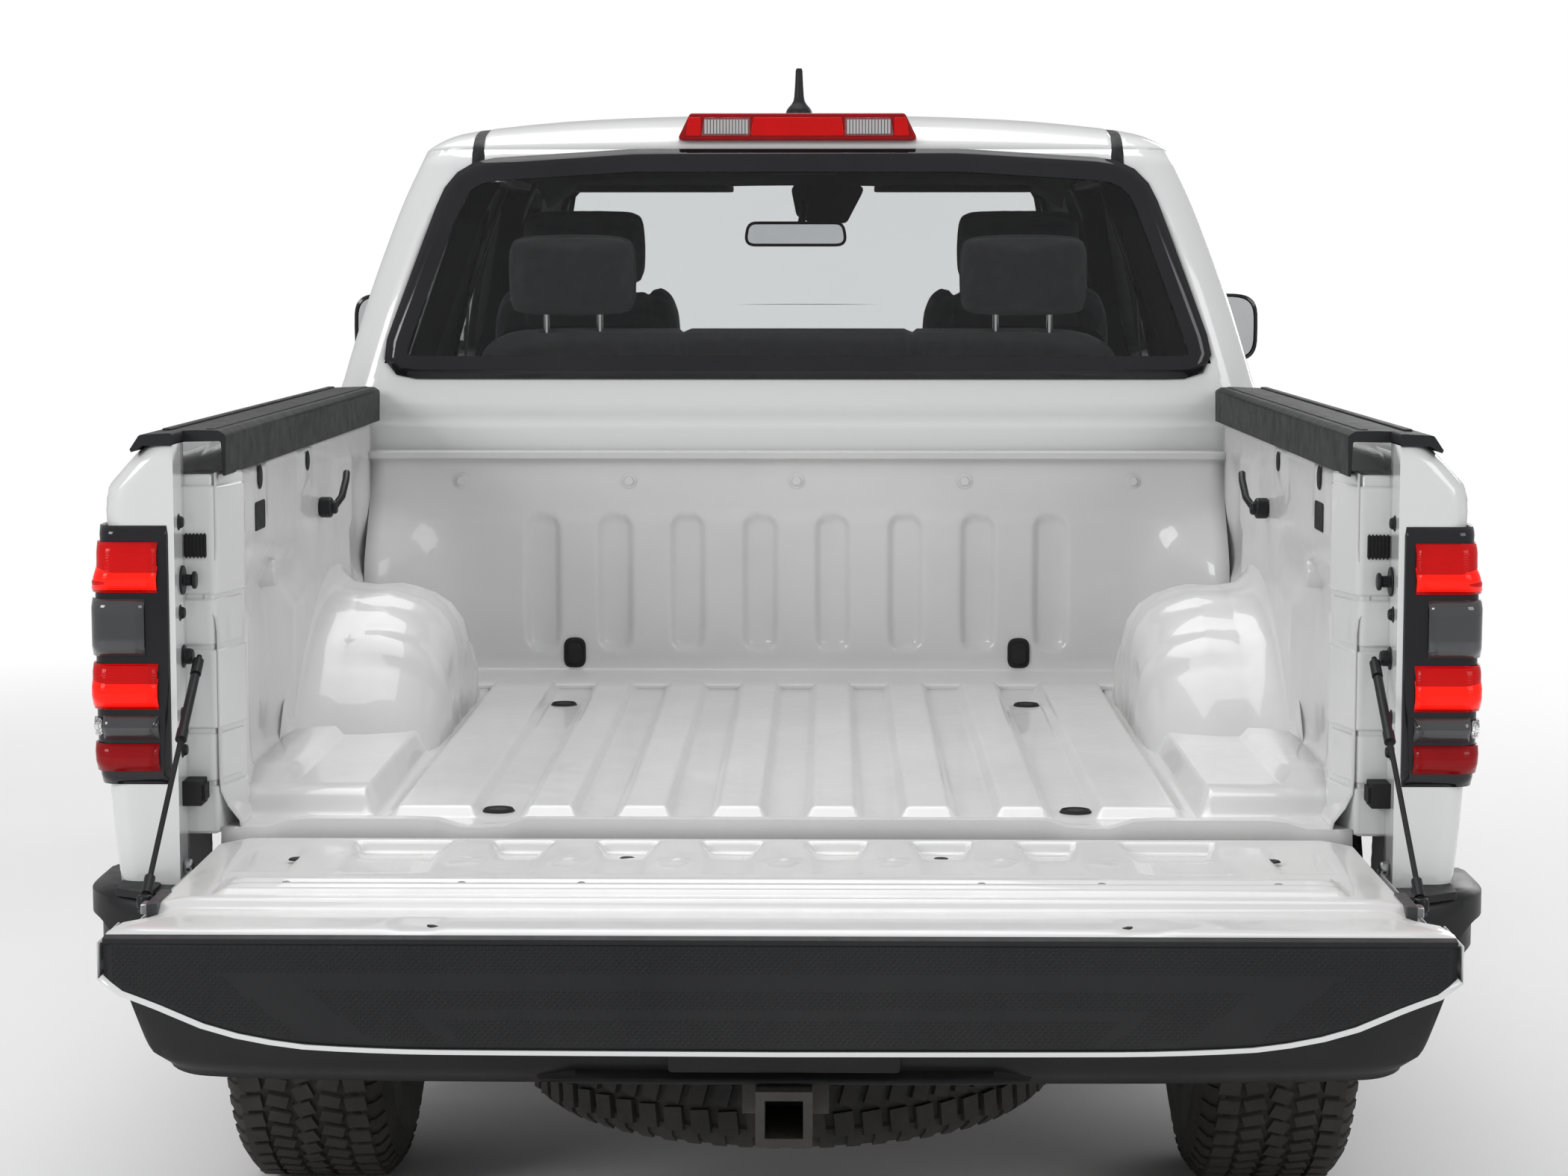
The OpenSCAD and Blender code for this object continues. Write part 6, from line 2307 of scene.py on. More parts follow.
@dataclass
class Windscreen:
    """The curved windscreen with its printed border and wipers."""

    foot: Vector = Vector((0.690, behind(0.420), 1.258))
    top: Vector = Vector((0.562, behind(0.975), 1.728))

    def lift(self, x: float, v: float) -> Point:
        """A point of the screen, by its place across and its share of the way up."""
        half = self.foot.x + (self.top.x - self.foot.x) * v
        y = self.foot.y + (self.top.y - self.foot.y) * v
        z = self.foot.z + (self.top.z - self.foot.z) * v
        bow = 1 - min(1.0, (x / half)) ** 2 if half else 0.0
        across = 1 - 4 * (v - 0.5) ** 2
        return (x, y - 0.030 * bow - 0.006 * across, z + 0.018 * bow + 0.006 * across)

    def build(self) -> None:
        """Makes the screen, the cowl and the wipers."""
        outline = rounded([(-0.690, 0.0), (0.690, 0.0), (0.562, 1.0), (-0.562, 1.0)], 0.05, 6)
        count = 96
        ring = resampled([(x, v * 0.72) for x, v in outline], count)

        def lift(x: float, s: float) -> Point:
            """Places a point given in flat sizes."""
            return self.lift(x, s / 0.72)

        pane("windscreen_pane", ring, lift, GLASS, 0.030, "root", "tinted_glass", replaces=("windscreen",))
        cowl = Piece("cowl_panel")
        us = [-1 + 2 * k / 32 for k in range(33)]
        rows = []
        for k in range(5):
            s = k / 4
            rows.append([(u * (0.745 - 0.05 * s), behind(0.372 + 0.062 * s) - 0.034 * (1 - u * u) * s,
                          1.196 + 0.052 * s + 0.018 * (1 - u * u)) for u in us])
        cowl.sheets(rows, GRAINED)
        cowl.done("root", "black_plastic", wall=MOULDED, smooth=SOFTENED)
        wipers = Piece("windscreen_wipers")
        for x0, x1 in ((0.56, -0.02), (-0.05, -0.52)):
            start = Vector(self.lift(x0, 0.065)) + Vector((0, -0.008, 0.006))
            end = Vector(self.lift(x1, 0.105)) + Vector((0, -0.008, 0.008))
            wipers.tube([start.lerp(end, k / 10) for k in range(11)], 0.005, SATIN_BLACK, 8)
            pivot = start + Vector((0.03, 0.002, -0.022))
            wipers.tube([pivot, start.lerp(end, 0.25), start.lerp(end, 0.5)], 0.008, SATIN_BLACK, 8)
            wipers.lathe([(0.0, 0.02), (0.016, 0.018), (0.018, 0.0)], tuple(pivot - Vector((0, 0, 0.014))), (0, 0, 1),
                         SATIN_BLACK, 20)
        wipers.done("root", "black_plastic", smooth=ROUND)


# --------------------------------------------------------------------------
# Doors
# --------------------------------------------------------------------------
@dataclass
class Door:
    """One side door: skin, window frame, glass, handle and inner trim."""

    node: str
    glass: str
    body: str
    left: bool
    front: float
    rear: float
    outline: tuple[Flat, ...]
    window: tuple[Flat, ...]
    low_rear: tuple[Flat, ...]
    low: float = 0.500
    belt: float = 1.302
    thick: float = 0.058

    def top(self, d: float) -> float:
        """Height of the skin's upper edge, which drops ahead of the front window."""
        return min(self.belt, 1.240 + max(0.0, d - 0.470) * 0.7458) if self.front < 1.0 else self.belt

    def bottom(self, d: float) -> float:
        """Height of the skin's lower edge."""
        return max(self.low, curve_through(self.low_rear, d))

    def skin_x(self, d: float, z: float) -> float:
        """Half width of the skin, with the handle's cup pressed in."""
        x = BODY.cab_x(behind(d), z)
        cup = box_distance(d, z, self.rear - 0.125, 1.055, 0.060, 0.026, 0.024)
        return x - 0.016 * smooth_step(0.006, -0.014, cup)

    def set_in(self, points: Sequence[Flat], depth: float) -> list[Point]:
        """Lays points on the cab's side.

        Args:
            points: Distances behind the front axle, with heights.
            depth: How far inside the side they lie.

        Returns:
            The points.
        """
        return [(BODY.cab_x(behind(d), z) - depth, behind(d), z) for d, z in points]

    def finished(self, piece: Piece, slot: str, **how: object) -> None:
        """Turns the piece to the door's own side and finishes it."""
        if not self.left:
            piece.flip_x()
        piece.done(self.body, slot, **how)

    def build_skin(self) -> None:
        """Makes the outer skin and the frame round the window."""
        name = self.node
        piece = Piece(name + "_skin")
        cup = self.rear - 0.125
        ds = lines(self.front, self.rear, 0.035, (cup - 0.06, cup + 0.06), 0.006, 3)
        vs = [0.0, 0.01, 0.03] + [0.05 + 0.90 * k / 46 for k in range(47)] + [0.97, 0.99, 1.0]

        def place(d: float, v: float) -> Point:
            """Places one point of the skin."""
            low, high = self.bottom(d), self.top(d)
            z = low + v * (high - low)
            hem = max(smooth_step(0.008, 0.0, d - self.front), smooth_step(0.008, 0.0, self.rear - d))
            return (self.skin_x(d, z) - 0.002 * hem, behind(d), z)

        piece.grid(ds, vs, place, PAINT)
        self.frame_ring(piece, PAINT)
        self.finished(piece, "body_paint", wall=PRESSED, smooth=CRISP, replaces=(self.node,))

    def frame_ring(self, piece: Piece, finish: Finish) -> None:
        """Adds the frame round the window, from the door's edge to the glass and inwards."""
        outer = [p for p in self.outline if p[1] >= self.belt - 0.001]
        steps = 14
        rings = []
        for loop, depth in ((outer, 0.0), (outer, 0.0), (self.window, 0.004), (self.window, 0.020)):
            points = []
            count = len(loop)
            for i in range(count):
                a, b = loop[i], loop[(i + 1) % count]
                points += [(a[0] + (b[0] - a[0]) * k / steps, a[1] + (b[1] - a[1]) * k / steps) for k in range(steps)]
            rings.append((points, depth))
        rings[1] = ([(o[0] + (w[0] - o[0]) * 0.72, o[1] + (w[1] - o[1]) * 0.72)
                     for o, w in zip(rings[0][0], rings[2][0])], -0.001)
        rows = [self.set_in(points, depth) for points, depth in rings]
        piece.strip(rows[0], rows[1], finish, ring=True)
        piece.strip(rows[1], rows[2], SATIN_BLACK, ring=True)
        piece.strip(rows[2], rows[3], SEAL, ring=True)

    def build_edges(self) -> None:
        """Makes the door's edges and its inner panel."""
        loop = resampled(rounded(list(self.outline), 0.012, 3), 120)
        inner = resampled(rounded(list(self.window), 0.02, 3), 120)
        shell = Piece(self.node + "_edges")
        rows = []
        for depth, inset in ((0.001, 0.0015), (0.012, 0.002), (0.014, 0.010), (self.thick, 0.012)):
            rows.append(self.set_in(shrunk(loop, inset), depth))
        shell.sheets(rows, PAINT, ring=True)
        self.finished(shell, "body_paint", wall=PRESSED, smooth=CREASED)
        panel = Piece(self.node + "_trim")
        back = self.set_in(shrunk(loop, 0.012), self.thick)
        first = min(range(120), key=lambda i: math.dist(inner[i], loop[0]))
        ordered = inner[first:] + inner[:first]
        hole = self.set_in(ordered, self.thick - 0.001)
        lip = self.set_in(shrunk(ordered, 0.004), 0.026)
        panel.strip(back, hole, CABIN, ring=True)
        panel.strip(hole, lip, CABIN, ring=True)
        self.finished(panel, "cabin_plastic", wall=FOLDED, smooth=CRISP)

    def build_glass(self) -> None:
        """Makes the side window and its weather strips."""
        side = 1 if self.left else -1
        outline = shrunk(resampled(rounded(list(self.window), 0.015, 3), 96), -0.004)

        def lift(d: float, z: float) -> Point:
            """Places a point of the glass."""
            return (side * (BODY.cab_x(behind(d), z) - 0.022), behind(d), z)

        finish = GLASS if self.front < 1.0 else PRIVACY
        pane(self.glass + "_pane", outline, lift, finish, 0.006, self.body, "tinted_glass", replaces=(self.glass,))
        strip = Piece(self.node + "_belt_strip")
        low = min(p[0] for p in self.window) - 0.03
        high = max(p[0] for p in self.window) + 0.03
        ds = lines(max(low, self.front + 0.01), min(high, self.rear - 0.008), 0.05)
        rows = []
        for dz, out in ((-0.010, 0.001), (-0.008, 0.005), (0.010, 0.005), (0.016, -0.004), (0.016, -0.018)):
            rows.append([(BODY.cab_x(behind(d), 1.314 + dz) + out, behind(d), 1.314 + dz) for d in ds])
        strip.sheets(rows, SATIN_BLACK)
        self.finished(strip, "black_plastic", wall=FOLDED, smooth=CRISP)

    def build_handles(self) -> None:
        """Makes the outer handle, the inner pull, the armrest and the speaker."""
        handle = Piece(self.node + "_handle")
        mid = self.rear - 0.125
        rows = []
        for k in range(13):
            t = k / 12
            d = mid - 0.092 + 0.184 * t
            out = 0.010 + 0.026 * math.sin(math.pi * min(1.0, max(0.0, t)))
            x = BODY.cab_x(behind(d), 1.060) + out
            rows.append([(x + 0.006 * math.cos(a), behind(d), 1.060 + 0.015 * math.sin(a))
                         for a in full_turn(10)])
        handle.sheets(rows, PAINT, ring=True)
        handle.lid(rows[0], PAINT)
        handle.lid(rows[-1], PAINT)
        self.finished(handle, "body_paint", smooth=SOFTENED)
        inside = Piece(self.node + "_armrest")
        d0, d1 = self.front + 0.16, self.rear - 0.14
        section = [(-0.005, 0.86), (0.060, 0.875), (0.068, 0.925), (0.055, 0.938), (-0.005, 0.940)]
        rows = []
        for k in range(11):
            d = d0 + (d1 - d0) * k / 10
            grow = 0.25 + 0.75 * math.sin(math.pi * (0.1 + 0.8 * k / 10))
            x = BODY.cab_x(behind(d), 0.9) - self.thick
            rows.append([(x - out * grow, behind(d), z) for out, z in section])
        inside.sheets(rows, CABIN, ring=True)
        inside.lid(rows[0], CABIN)
        inside.lid(rows[-1], CABIN)
        x = BODY.cab_x(behind(d0), 0.68) - self.thick
        inside.lathe([(0.0, 0.006), (0.055, 0.004), (0.075, 0.010), (0.085, 0.0)], (x, behind(d0 + 0.10), 0.675),
                     (-1, 0, 0), GRAINED, 32)
        inside.tube([(x - 0.012, behind(d0 + 0.05), 1.06), (x - 0.020, behind(d0 + 0.07), 1.06),
                     (x - 0.020, behind(d0 + 0.16), 1.06), (x - 0.012, behind(d0 + 0.18), 1.06)], 0.008, CHROME, 10)
        self.finished(inside, "cabin_plastic", rounding=Rounding.FINE)

    def build(self) -> None:
        """Makes the whole door."""
        self.build_skin()
        self.build_edges()
        self.build_glass()
        self.build_handles()


def make_doors() -> None:
    """Makes the four doors, two outlines on each side."""
    front = ((0.470, 0.500), (1.420, 0.500), (1.420, 1.302), (1.420, 1.722), (1.140, 1.716), (1.060, 1.680),
             (0.553, 1.302), (0.470, 1.240))
    front_window = ((1.362, 1.322), (1.362, 1.664), (1.150, 1.664), (1.085, 1.640), (0.655, 1.322))
    rear = ((1.432, 0.500), (2.180, 0.500), (2.300, 0.640), (2.300, 1.302), (2.230, 1.640), (2.150, 1.716),
            (1.432, 1.722), (1.432, 1.302))
    rear_window = ((2.232, 1.322), (2.165, 1.632), (2.120, 1.664), (1.490, 1.664), (1.490, 1.322))
    for left, word, short in ((True, "left", "l"), (False, "right", "r")):
        Door(f"front_door_{word}", f"front_glass_{word}", f"door_f{short}", left, 0.470, 1.420, front, front_window,
             ((0.470, 0.5), (1.420, 0.5))).build()
        Door(f"rear_door_{word}", f"rear_glass_{word}", f"door_r{short}", left, 1.432, 2.300, rear, rear_window,
             ((2.180, 0.500), (2.205, 0.515), (2.300, 0.640))).build()


@dataclass
class Mirrors:
    """The two outside mirrors: housing, arm, glass and side repeater."""

    centre: Vector = Vector((1.010, behind(0.640), 1.385))

    def build_side(self, word: str, body: str, left: bool) -> None:
        """Makes the mirror of one side.

        Args:
            word: The side's word in the CAD node's name.
            body: The door that it rides on.
            left: True for the side at positive X.
        """
        c = self.centre
        shell = Piece(f"mirror_{word}_housing")
        rows = []
        for k in range(11):
            t = k / 10
            swell = 0.55 + 0.45 * math.sin(math.pi / 2 * min(1.0, t * 1.5))
            half_w, half_h = 0.095 * swell, 0.083 * (0.62 + 0.38 * math.sin(math.pi / 2 * min(1.0, t * 1.4)))
            y = c.y - 0.050 + 0.096 * t
            rows.append([(c.x + half_w * math.copysign(abs(math.cos(a)) ** 0.5, math.cos(a)), y,
                          c.z + half_h * math.copysign(abs(math.sin(a)) ** 0.5, math.sin(a)))
                         for a in full_turn(40)])
        shell.sheets(rows, GLOSS_BLACK, ring=True)
        shell.lid(rows[0], GLOSS_BLACK)
        rim = [(c.x + (x - c.x) * 0.93, y + 0.001, c.z + (z - c.z) * 0.93) for x, y, z in rows[-1]]
        bowl = [(x, y - 0.012, z) for x, y, z in rim]
        shell.strip(rows[-1], rim, GLOSS_BLACK, ring=True)
        shell.strip(rim, bowl, SATIN_BLACK, ring=True)
        shell.lid(bowl, SATIN_BLACK)
        arm = [(0.838, c.y + 0.012), (0.838, c.y - 0.040), (0.862, c.y - 0.040), (0.955, c.y - 0.026),
               (0.955, c.y + 0.014)]
        shell.prism(rounded(arm, 0.008, 3), 1.325, 1.352, "z", GRAINED)
        foot = [(c.y - 0.075, 1.310), (c.y + 0.035, 1.310), (c.y + 0.030, 1.385), (c.y - 0.010, 1.392)]
        shell.prism(rounded(foot, 0.010, 3), 0.812, 0.842, "x", GRAINED)
        glass = Piece(f"mirror_{word}_glass")
        face = [(c.x + (x - c.x) * 0.97, y + 0.004, c.z + (z - c.z) * 0.97) for x, y, z in bowl]
        back = [(x, y + 0.005, z) for x, y, z in face]
        glass.strip(face, back, CHROME, ring=True)
        glass.lid(face, CHROME)
        glass.lid(back, CHROME)
        lamp = Piece(f"mirror_{word}_repeater")
        spot = [(c.x + 0.020 + 0.060 * k / 8, c.y - 0.046 + 0.020 * (k / 8) ** 2, c.z - 0.010) for k in range(9)]
        lamp.tube(spot, 0.006, AMBER, 8)
        for piece, slot, turn in ((shell, "black_plastic", 50), (glass, "clear_lens", 30), (lamp, "clear_lens", 60)):
            if not left:
                piece.flip_x()
            piece.done(body, slot, smooth=turn, replaces=(f"mirror_{word}",) if piece is shell else ())

    def build(self) -> None:
        """Makes both mirrors."""
        self.build_side("left", "door_fl", True)
        self.build_side("right", "door_fr", False)


# --------------------------------------------------------------------------
# Front of the vehicle
# --------------------------------------------------------------------------
@dataclass
class Nose:
    """Plan shape of the front: how the width shrinks towards the grille and the bumper."""

    start: float = -0.350
    length: float = 0.490
    power: float = 3.0
    half: float = 0.928

    def share(self, d: float) -> float:
        """Share of the half width left at a distance behind the front axle."""
        t = max(0.0, min(1.0, (self.start - d) / self.length))
        return (1 - t ** self.power) ** (1 / self.power)

    def reach(self, x: float, extra: float = 0.0) -> float:
        """Distance of the nose's surface at a place across, grown by an extra length."""
        t = min(1.0, abs(x) / self.half)
        return self.start - (self.length + extra) * (1 - t ** self.power) ** (1 / self.power)


NOSE = Nose()


@dataclass
class FrontWings:
    """The front wings with their wheel arches, liners and side vents."""

    arch_r: float = 0.455
    axle_z: float = 0.410
    rear: float = 0.458

    def top(self, d: float) -> float:
        """Height of the upper edge, along the hood's gap and the shoulder."""
        return curve_through(((-0.84, 1.012), (-0.70, 1.040), (-0.505, 1.070), (-0.30, 1.100), (0.0, 1.128),
                              (0.30, 1.157), (0.378, 1.165), (0.40, 1.196), (0.458, 1.240)), d)

    def low(self, d: float) -> float:
        """Height of the lower edge: the arch, or the panel's foot."""
        if abs(d) < self.arch_r - 0.004:
            return self.axle_z + math.sqrt(self.arch_r ** 2 - d * d)
        if d > 0:
            return 0.485
        return curve_through(((-0.90, 1.012), (-0.56, 1.010), (-0.512, 1.008), (-0.500, 0.802), (-0.414, 0.792),
                              (-0.398, 0.690)), d)

    def skin_x(self, d: float, z: float) -> float:
        """Half width of the wing at a place along and a height."""
        x = BODY.cab_x(behind(d), z) * (NOSE.share(d) if d < NOSE.start else 1.0)
        vent = box_distance(d, z, 0.360, 1.010, 0.045, 0.030, 0.012)
        return x - 0.006 * smooth_step(0.004, -0.006, vent)

    def build(self) -> None:
        """Makes the two wings, the liners and the vents."""
        skin = Piece("front_wing_skins")
        ds = lines(-0.835, self.rear, 0.028, (-0.512, -0.500, -0.451, 0.451, 0.315, 0.405), 0.006, 2)
        vs = [0.0, 0.012, 0.03] + [0.05 + 0.93 * k / 34 for k in range(35)] + [1.0]

        def place(d: float, v: float) -> Point:
            """Places one point of the skin."""
            low, high = self.low(d), self.top(d)
            z = low + v * (high - low)
            return (self.skin_x(d, z), behind(d), z)

        skin.grid(ds, vs, place, PAINT)
        over = [0.0, 0.06, 0.14, 0.25, 0.40, 0.60, 0.80, 1.0]

        def shoulder(d: float, v: float) -> Point:
            """Places one point of the shoulder between the skin and the hood's gap."""
            z = self.top(d)
            x = self.skin_x(d, z)
            inner = min(0.795 * (NOSE.share(d) if d < NOSE.start else 1.0), x - 0.01)
            rise = 0.034 * math.sin(math.pi / 2 * v)
            return (x + (inner - x) * v, behind(d), z + rise)

        def corner(d: float, v: float) -> Point:
            """Places one point of the corner between the wing and the screen's foot."""
            z = self.top(d)
            x = self.skin_x(d, z)
            inner_z = 1.199 + 0.058 * (d - 0.384) / (self.rear - 0.384)
            return (x + (0.722 - x) * v, behind(d), z + (inner_z - z) * v)

        skin.grid([d for d in ds if d <= 0.378], over, shoulder, PAINT)
        skin.grid([0.384] + [d for d in ds if d > 0.386], over, corner, PAINT)
        skin.mirrored().done("root", "body_paint", wall=PRESSED, smooth=CRISP, replaces=("front_wings",))
        lips = Piece("front_wing_arch_lips")
        arc = [math.radians(-3 + 186 * k / 72) for k in range(73)]
        for r0, r1, dx0, dx1 in ((self.arch_r, self.arch_r - 0.012, 0.001, 0.0), (self.arch_r - 0.012,
                                                                               self.arch_r - 0.014, 0.0, -0.045)):
            rows = []
            for r, dx in ((r0, dx0), (r1, dx1)):
                rows.append([(self.skin_x(r * math.cos(a), self.axle_z + r * max(math.sin(a), 0.17)) + dx,
                              behind(r * math.cos(a)), self.axle_z + r * math.sin(a)) for a in arc])
            lips.strip(rows[0], rows[1], PAINT)
        lips.mirrored().done("root", "body_paint", wall=PRESSED, smooth=SOFTENED)
        liner = Piece("front_arch_liners")
        arc = [math.radians(8 + 164 * k / 48) for k in range(49)]
        xs = lines(0.600, 0.885, 0.035)
        liner.grid(xs, arc, lambda x, a: (x, behind((self.arch_r - 0.010 + 0.006 * math.cos(60 * x)) * math.cos(a)),
                                          self.axle_z + (self.arch_r - 0.010 + 0.006 * math.cos(60 * x))
                                          * math.sin(a)), GRAINED)
        liner.mirrored().done("root", "black_plastic", wall=MOULDED, smooth=CRISP)
        vent = Piece("front_wing_vents")
        for k in range(3):
            z = 0.994 + 0.016 * k
            x = self.skin_x(0.36, z) - 0.001
            vent.block((x - 0.004, behind(0.320), z - 0.004), (x + 0.003, behind(0.400), z + 0.004), GLOSS_BLACK)
        vent.mirrored().done("root", "black_plastic", Rounding.FINE)


@dataclass
class Hood:
    """The hood with its raised centre, its gap round the edge and its under panel."""

    rear: float = 0.378
    half: float = 0.792
    crown: float = 1.232
    slope: float = math.tan(math.radians(5.5))

    def height(self, x: float, d: float) -> float:
        """Height of the hood's surface."""
        drop = curve_through(((0.0, 0.0), (0.40, 0.008), (0.65, 0.026), (0.80, 0.050), (0.862, 0.072)), abs(x))
        dome = 0.010 * (1 - smooth_step(0.36, 0.44, abs(x) + 0.10 * smooth_step(0.2, -0.7, d)))
        nose = 0.055 * smooth_step(-0.62, -0.90, d) ** 2
        return self.crown - self.slope * (self.rear - d) - drop - nose + dome - 0.005

    def build(self) -> None:
        """Makes the hood's skin, its rim and its under panel."""
        skin = Piece("hood_skin")
        us = lines(-1.0, 1.0, 0.06, (-0.5, 0.5), 0.02, 3)
        vs = [k / 44 for k in range(45)]

        def place(u: float, v: float) -> Point:
            """Places one point between the nose's curve and the rear edge."""
            x = u * self.half
            front = NOSE.reach(x * 0.985, 0.012) if abs(u) < 1 else NOSE.reach(self.half * 0.985, 0.012)
            d = front + (self.rear - front) * v
            return (x, behind(d), self.height(x, d))

        skin.grid(us, vs, place, PAINT)
        edge = [place(u, 0.0) for u in us]
        fold = [(x, y + 0.004, z - 0.030) for x, y, z in edge]
        skin.strip(edge, fold, PAINT)
        for u in (-1.0, 1.0):
            row = [place(u, v) for v in vs]
            skin.strip(row, [(x - 0.003 * u, y, z - 0.022) for x, y, z in row], PAINT)
        back = [place(u, 1.0) for u in us]
        skin.strip(back, [(x, y - 0.002, z - 0.020) for x, y, z in back], PAINT)
        skin.done("hood", "body_paint", wall=PRESSED, smooth=CRISP, replaces=("hood",))
        under = Piece("hood_under_panel")
        xs = lines(-0.70, 0.70, 0.05)
        ds = [-0.66 + 0.98 * k / 28 for k in range(29)]

        def below(x: float, d: float) -> Point:
            """Places one point of the stiffened under panel."""
            rib = min(abs(abs(x) - 0.38), abs(d + 0.16), abs(abs(x) - (0.60 - 0.5 * abs(d + 0.16))))
            return (x, behind(d), self.height(x, d) - 0.024 + 0.012 * (1 - smooth_step(0.02, 0.05, rib)))

        under.grid(xs, ds, below, SATIN_BLACK)
        under.done("hood", "black_plastic", wall=FOLDED, smooth=SOFTENED)


@dataclass
class FrontFace:
    """Grille, headlamps, bumper, fog lamps and skid plate, wrapped round the nose's plan curve."""

    def wrapped(self, x: float, z: float, extra: float, out: float = 0.0) -> Point:
        """Lays a point of the X-Z plane on the nose.

        Args:
            x: Place across.
            z: Height.
            extra: How much longer than the wings this part's nose is.
            out: How far the point stands ahead of the surface.

        Returns:
            The point.
        """
        return (x, behind(NOSE.reach(x * 0.97, extra) - out), z)

    def sheet(self, piece: Piece, outline: Sequence[Flat], extra: float, layers: Sequence[Flat], finish: Finish,
              steps: int = 96) -> None:
        """Adds a domed plate whose outline steps inwards and outwards layer by layer.

        Args:
            piece: The piece to add to.
            outline: The plate's outline in the X-Z plane.
            extra: How much longer than the wings this part's nose is.
            layers: Pairs of inset and height.
            finish: The finish.
            steps: How many points to use round the outline.
        """
        ring = resampled(outline, steps)
        rows = []
        for inset, out in layers:
            rows.append([self.wrapped(x, z, extra, out) for x, z in shrunk(ring, inset)])
        piece.sheets(rows, finish, ring=True)
        last = shrunk(ring, layers[-1][0])
        mid = (sum(p[0] for p in last) / steps, sum(p[1] for p in last) / steps)
        rows = [rows[-1]]
        for s in (0.85, 0.65, 0.45, 0.25, 0.08):
            rows.append([self.wrapped(mid[0] + (x - mid[0]) * s, mid[1] + (z - mid[1]) * s, extra, layers[-1][1])
                         for x, z in last])
        piece.sheets(rows, finish, ring=True)
        piece.lid(rows[-1], finish)

    def bar(self, piece: Piece, start: Flat, end: Flat, extra: float, size: Flat, out: float, finish: Finish,
            steps: int = 24) -> None:
        """Adds a bar that follows the nose between two points of the X-Z plane."""
        rows = []
        for k in range(steps + 1):
            x = start[0] + (end[0] - start[0]) * k / steps
            z = start[1] + (end[1] - start[1]) * k / steps
            rows.append([self.wrapped(x, z + dz, extra, out + dy)
                         for dy, dz in ((-size[1], -size[0]), (size[1] * 0.7, -size[0]), (size[1], -size[0] * 0.6),
                                        (size[1], size[0] * 0.6), (size[1] * 0.7, size[0]), (-size[1], size[0]))])
        piece.sheets(rows, finish, ring=True)
        piece.lid(rows[0], finish)
        piece.lid(rows[-1], finish)

    def build_grille(self) -> None:
        """Makes the grille: a frame, a centre bar and a lattice over a dark backing."""
        outline = rounded([(-0.585, 1.034), (-0.300, 1.048), (0.300, 1.048), (0.585, 1.034), (0.558, 0.862),
                           (0.500, 0.772), (-0.500, 0.772), (-0.558, 0.862)], 0.012, 3)
        backing = Piece("grille_backing")
        self.sheet(backing, outline, 0.030, ((0.004, -0.030), (0.004, -0.020)), SATIN_BLACK)
        backing.done("root", "black_plastic", wall=FOLDED, replaces=("grille",))
        frame = Piece("grille_frame")
        ring = resampled(outline, 120)
        rows = [[self.wrapped(x, z, 0.030, out) for x, z in shrunk(ring, inset)]
                for inset, out in ((0.002, -0.030), (0.001, 0.002), (0.008, 0.010), (0.026, 0.010), (0.032, 0.0),
                                   (0.032, -0.022))]
        frame.sheets(rows, GLOSS_BLACK, ring=True)
        self.bar(frame, (-0.548, 0.958), (0.548, 0.958), 0.030, (0.030, 0.014), 0.0, GLOSS_BLACK, 40)
        self.bar(frame, (-0.548, 0.936), (0.548, 0.936), 0.030, (0.004, 0.017), 0.002, CHROME, 40)
        self.bar(frame, (-0.548, 0.980), (0.548, 0.980), 0.030, (0.004, 0.017), 0.002, CHROME, 40)
        frame.done("root", "black_plastic", smooth=CRISP)
        lattice = Piece("grille_lattice")
        for k in range(3):
            self.bar(lattice, (-0.535 + 0.012 * k, 0.885 - 0.030 * k), (0.535 - 0.012 * k, 0.885 - 0.030 * k), 0.030,
                     (0.004, 0.010), -0.010, SATIN_BLACK, 40)
        self.bar(lattice, (-0.55, 1.012), (0.55, 1.012), 0.030, (0.004, 0.010), -0.010, SATIN_BLACK, 40)
        for k in range(-13, 14):
            x = 0.0405 * k
            low = 0.800 if abs(x) < 0.48 else 0.800 + (abs(x) - 0.48) * 1.2
            for z0, z1 in ((low, 0.930), (0.988, 1.026)):
                a = Vector(self.wrapped(x, z0, 0.030, -0.012))
                b = Vector(self.wrapped(x, z1, 0.030, -0.012))
                lattice.block((a.x - 0.0035, a.y - 0.008, a.z), (b.x + 0.0035, b.y + 0.008, b.z), SATIN_BLACK)
        lattice.done("root", "black_plastic")

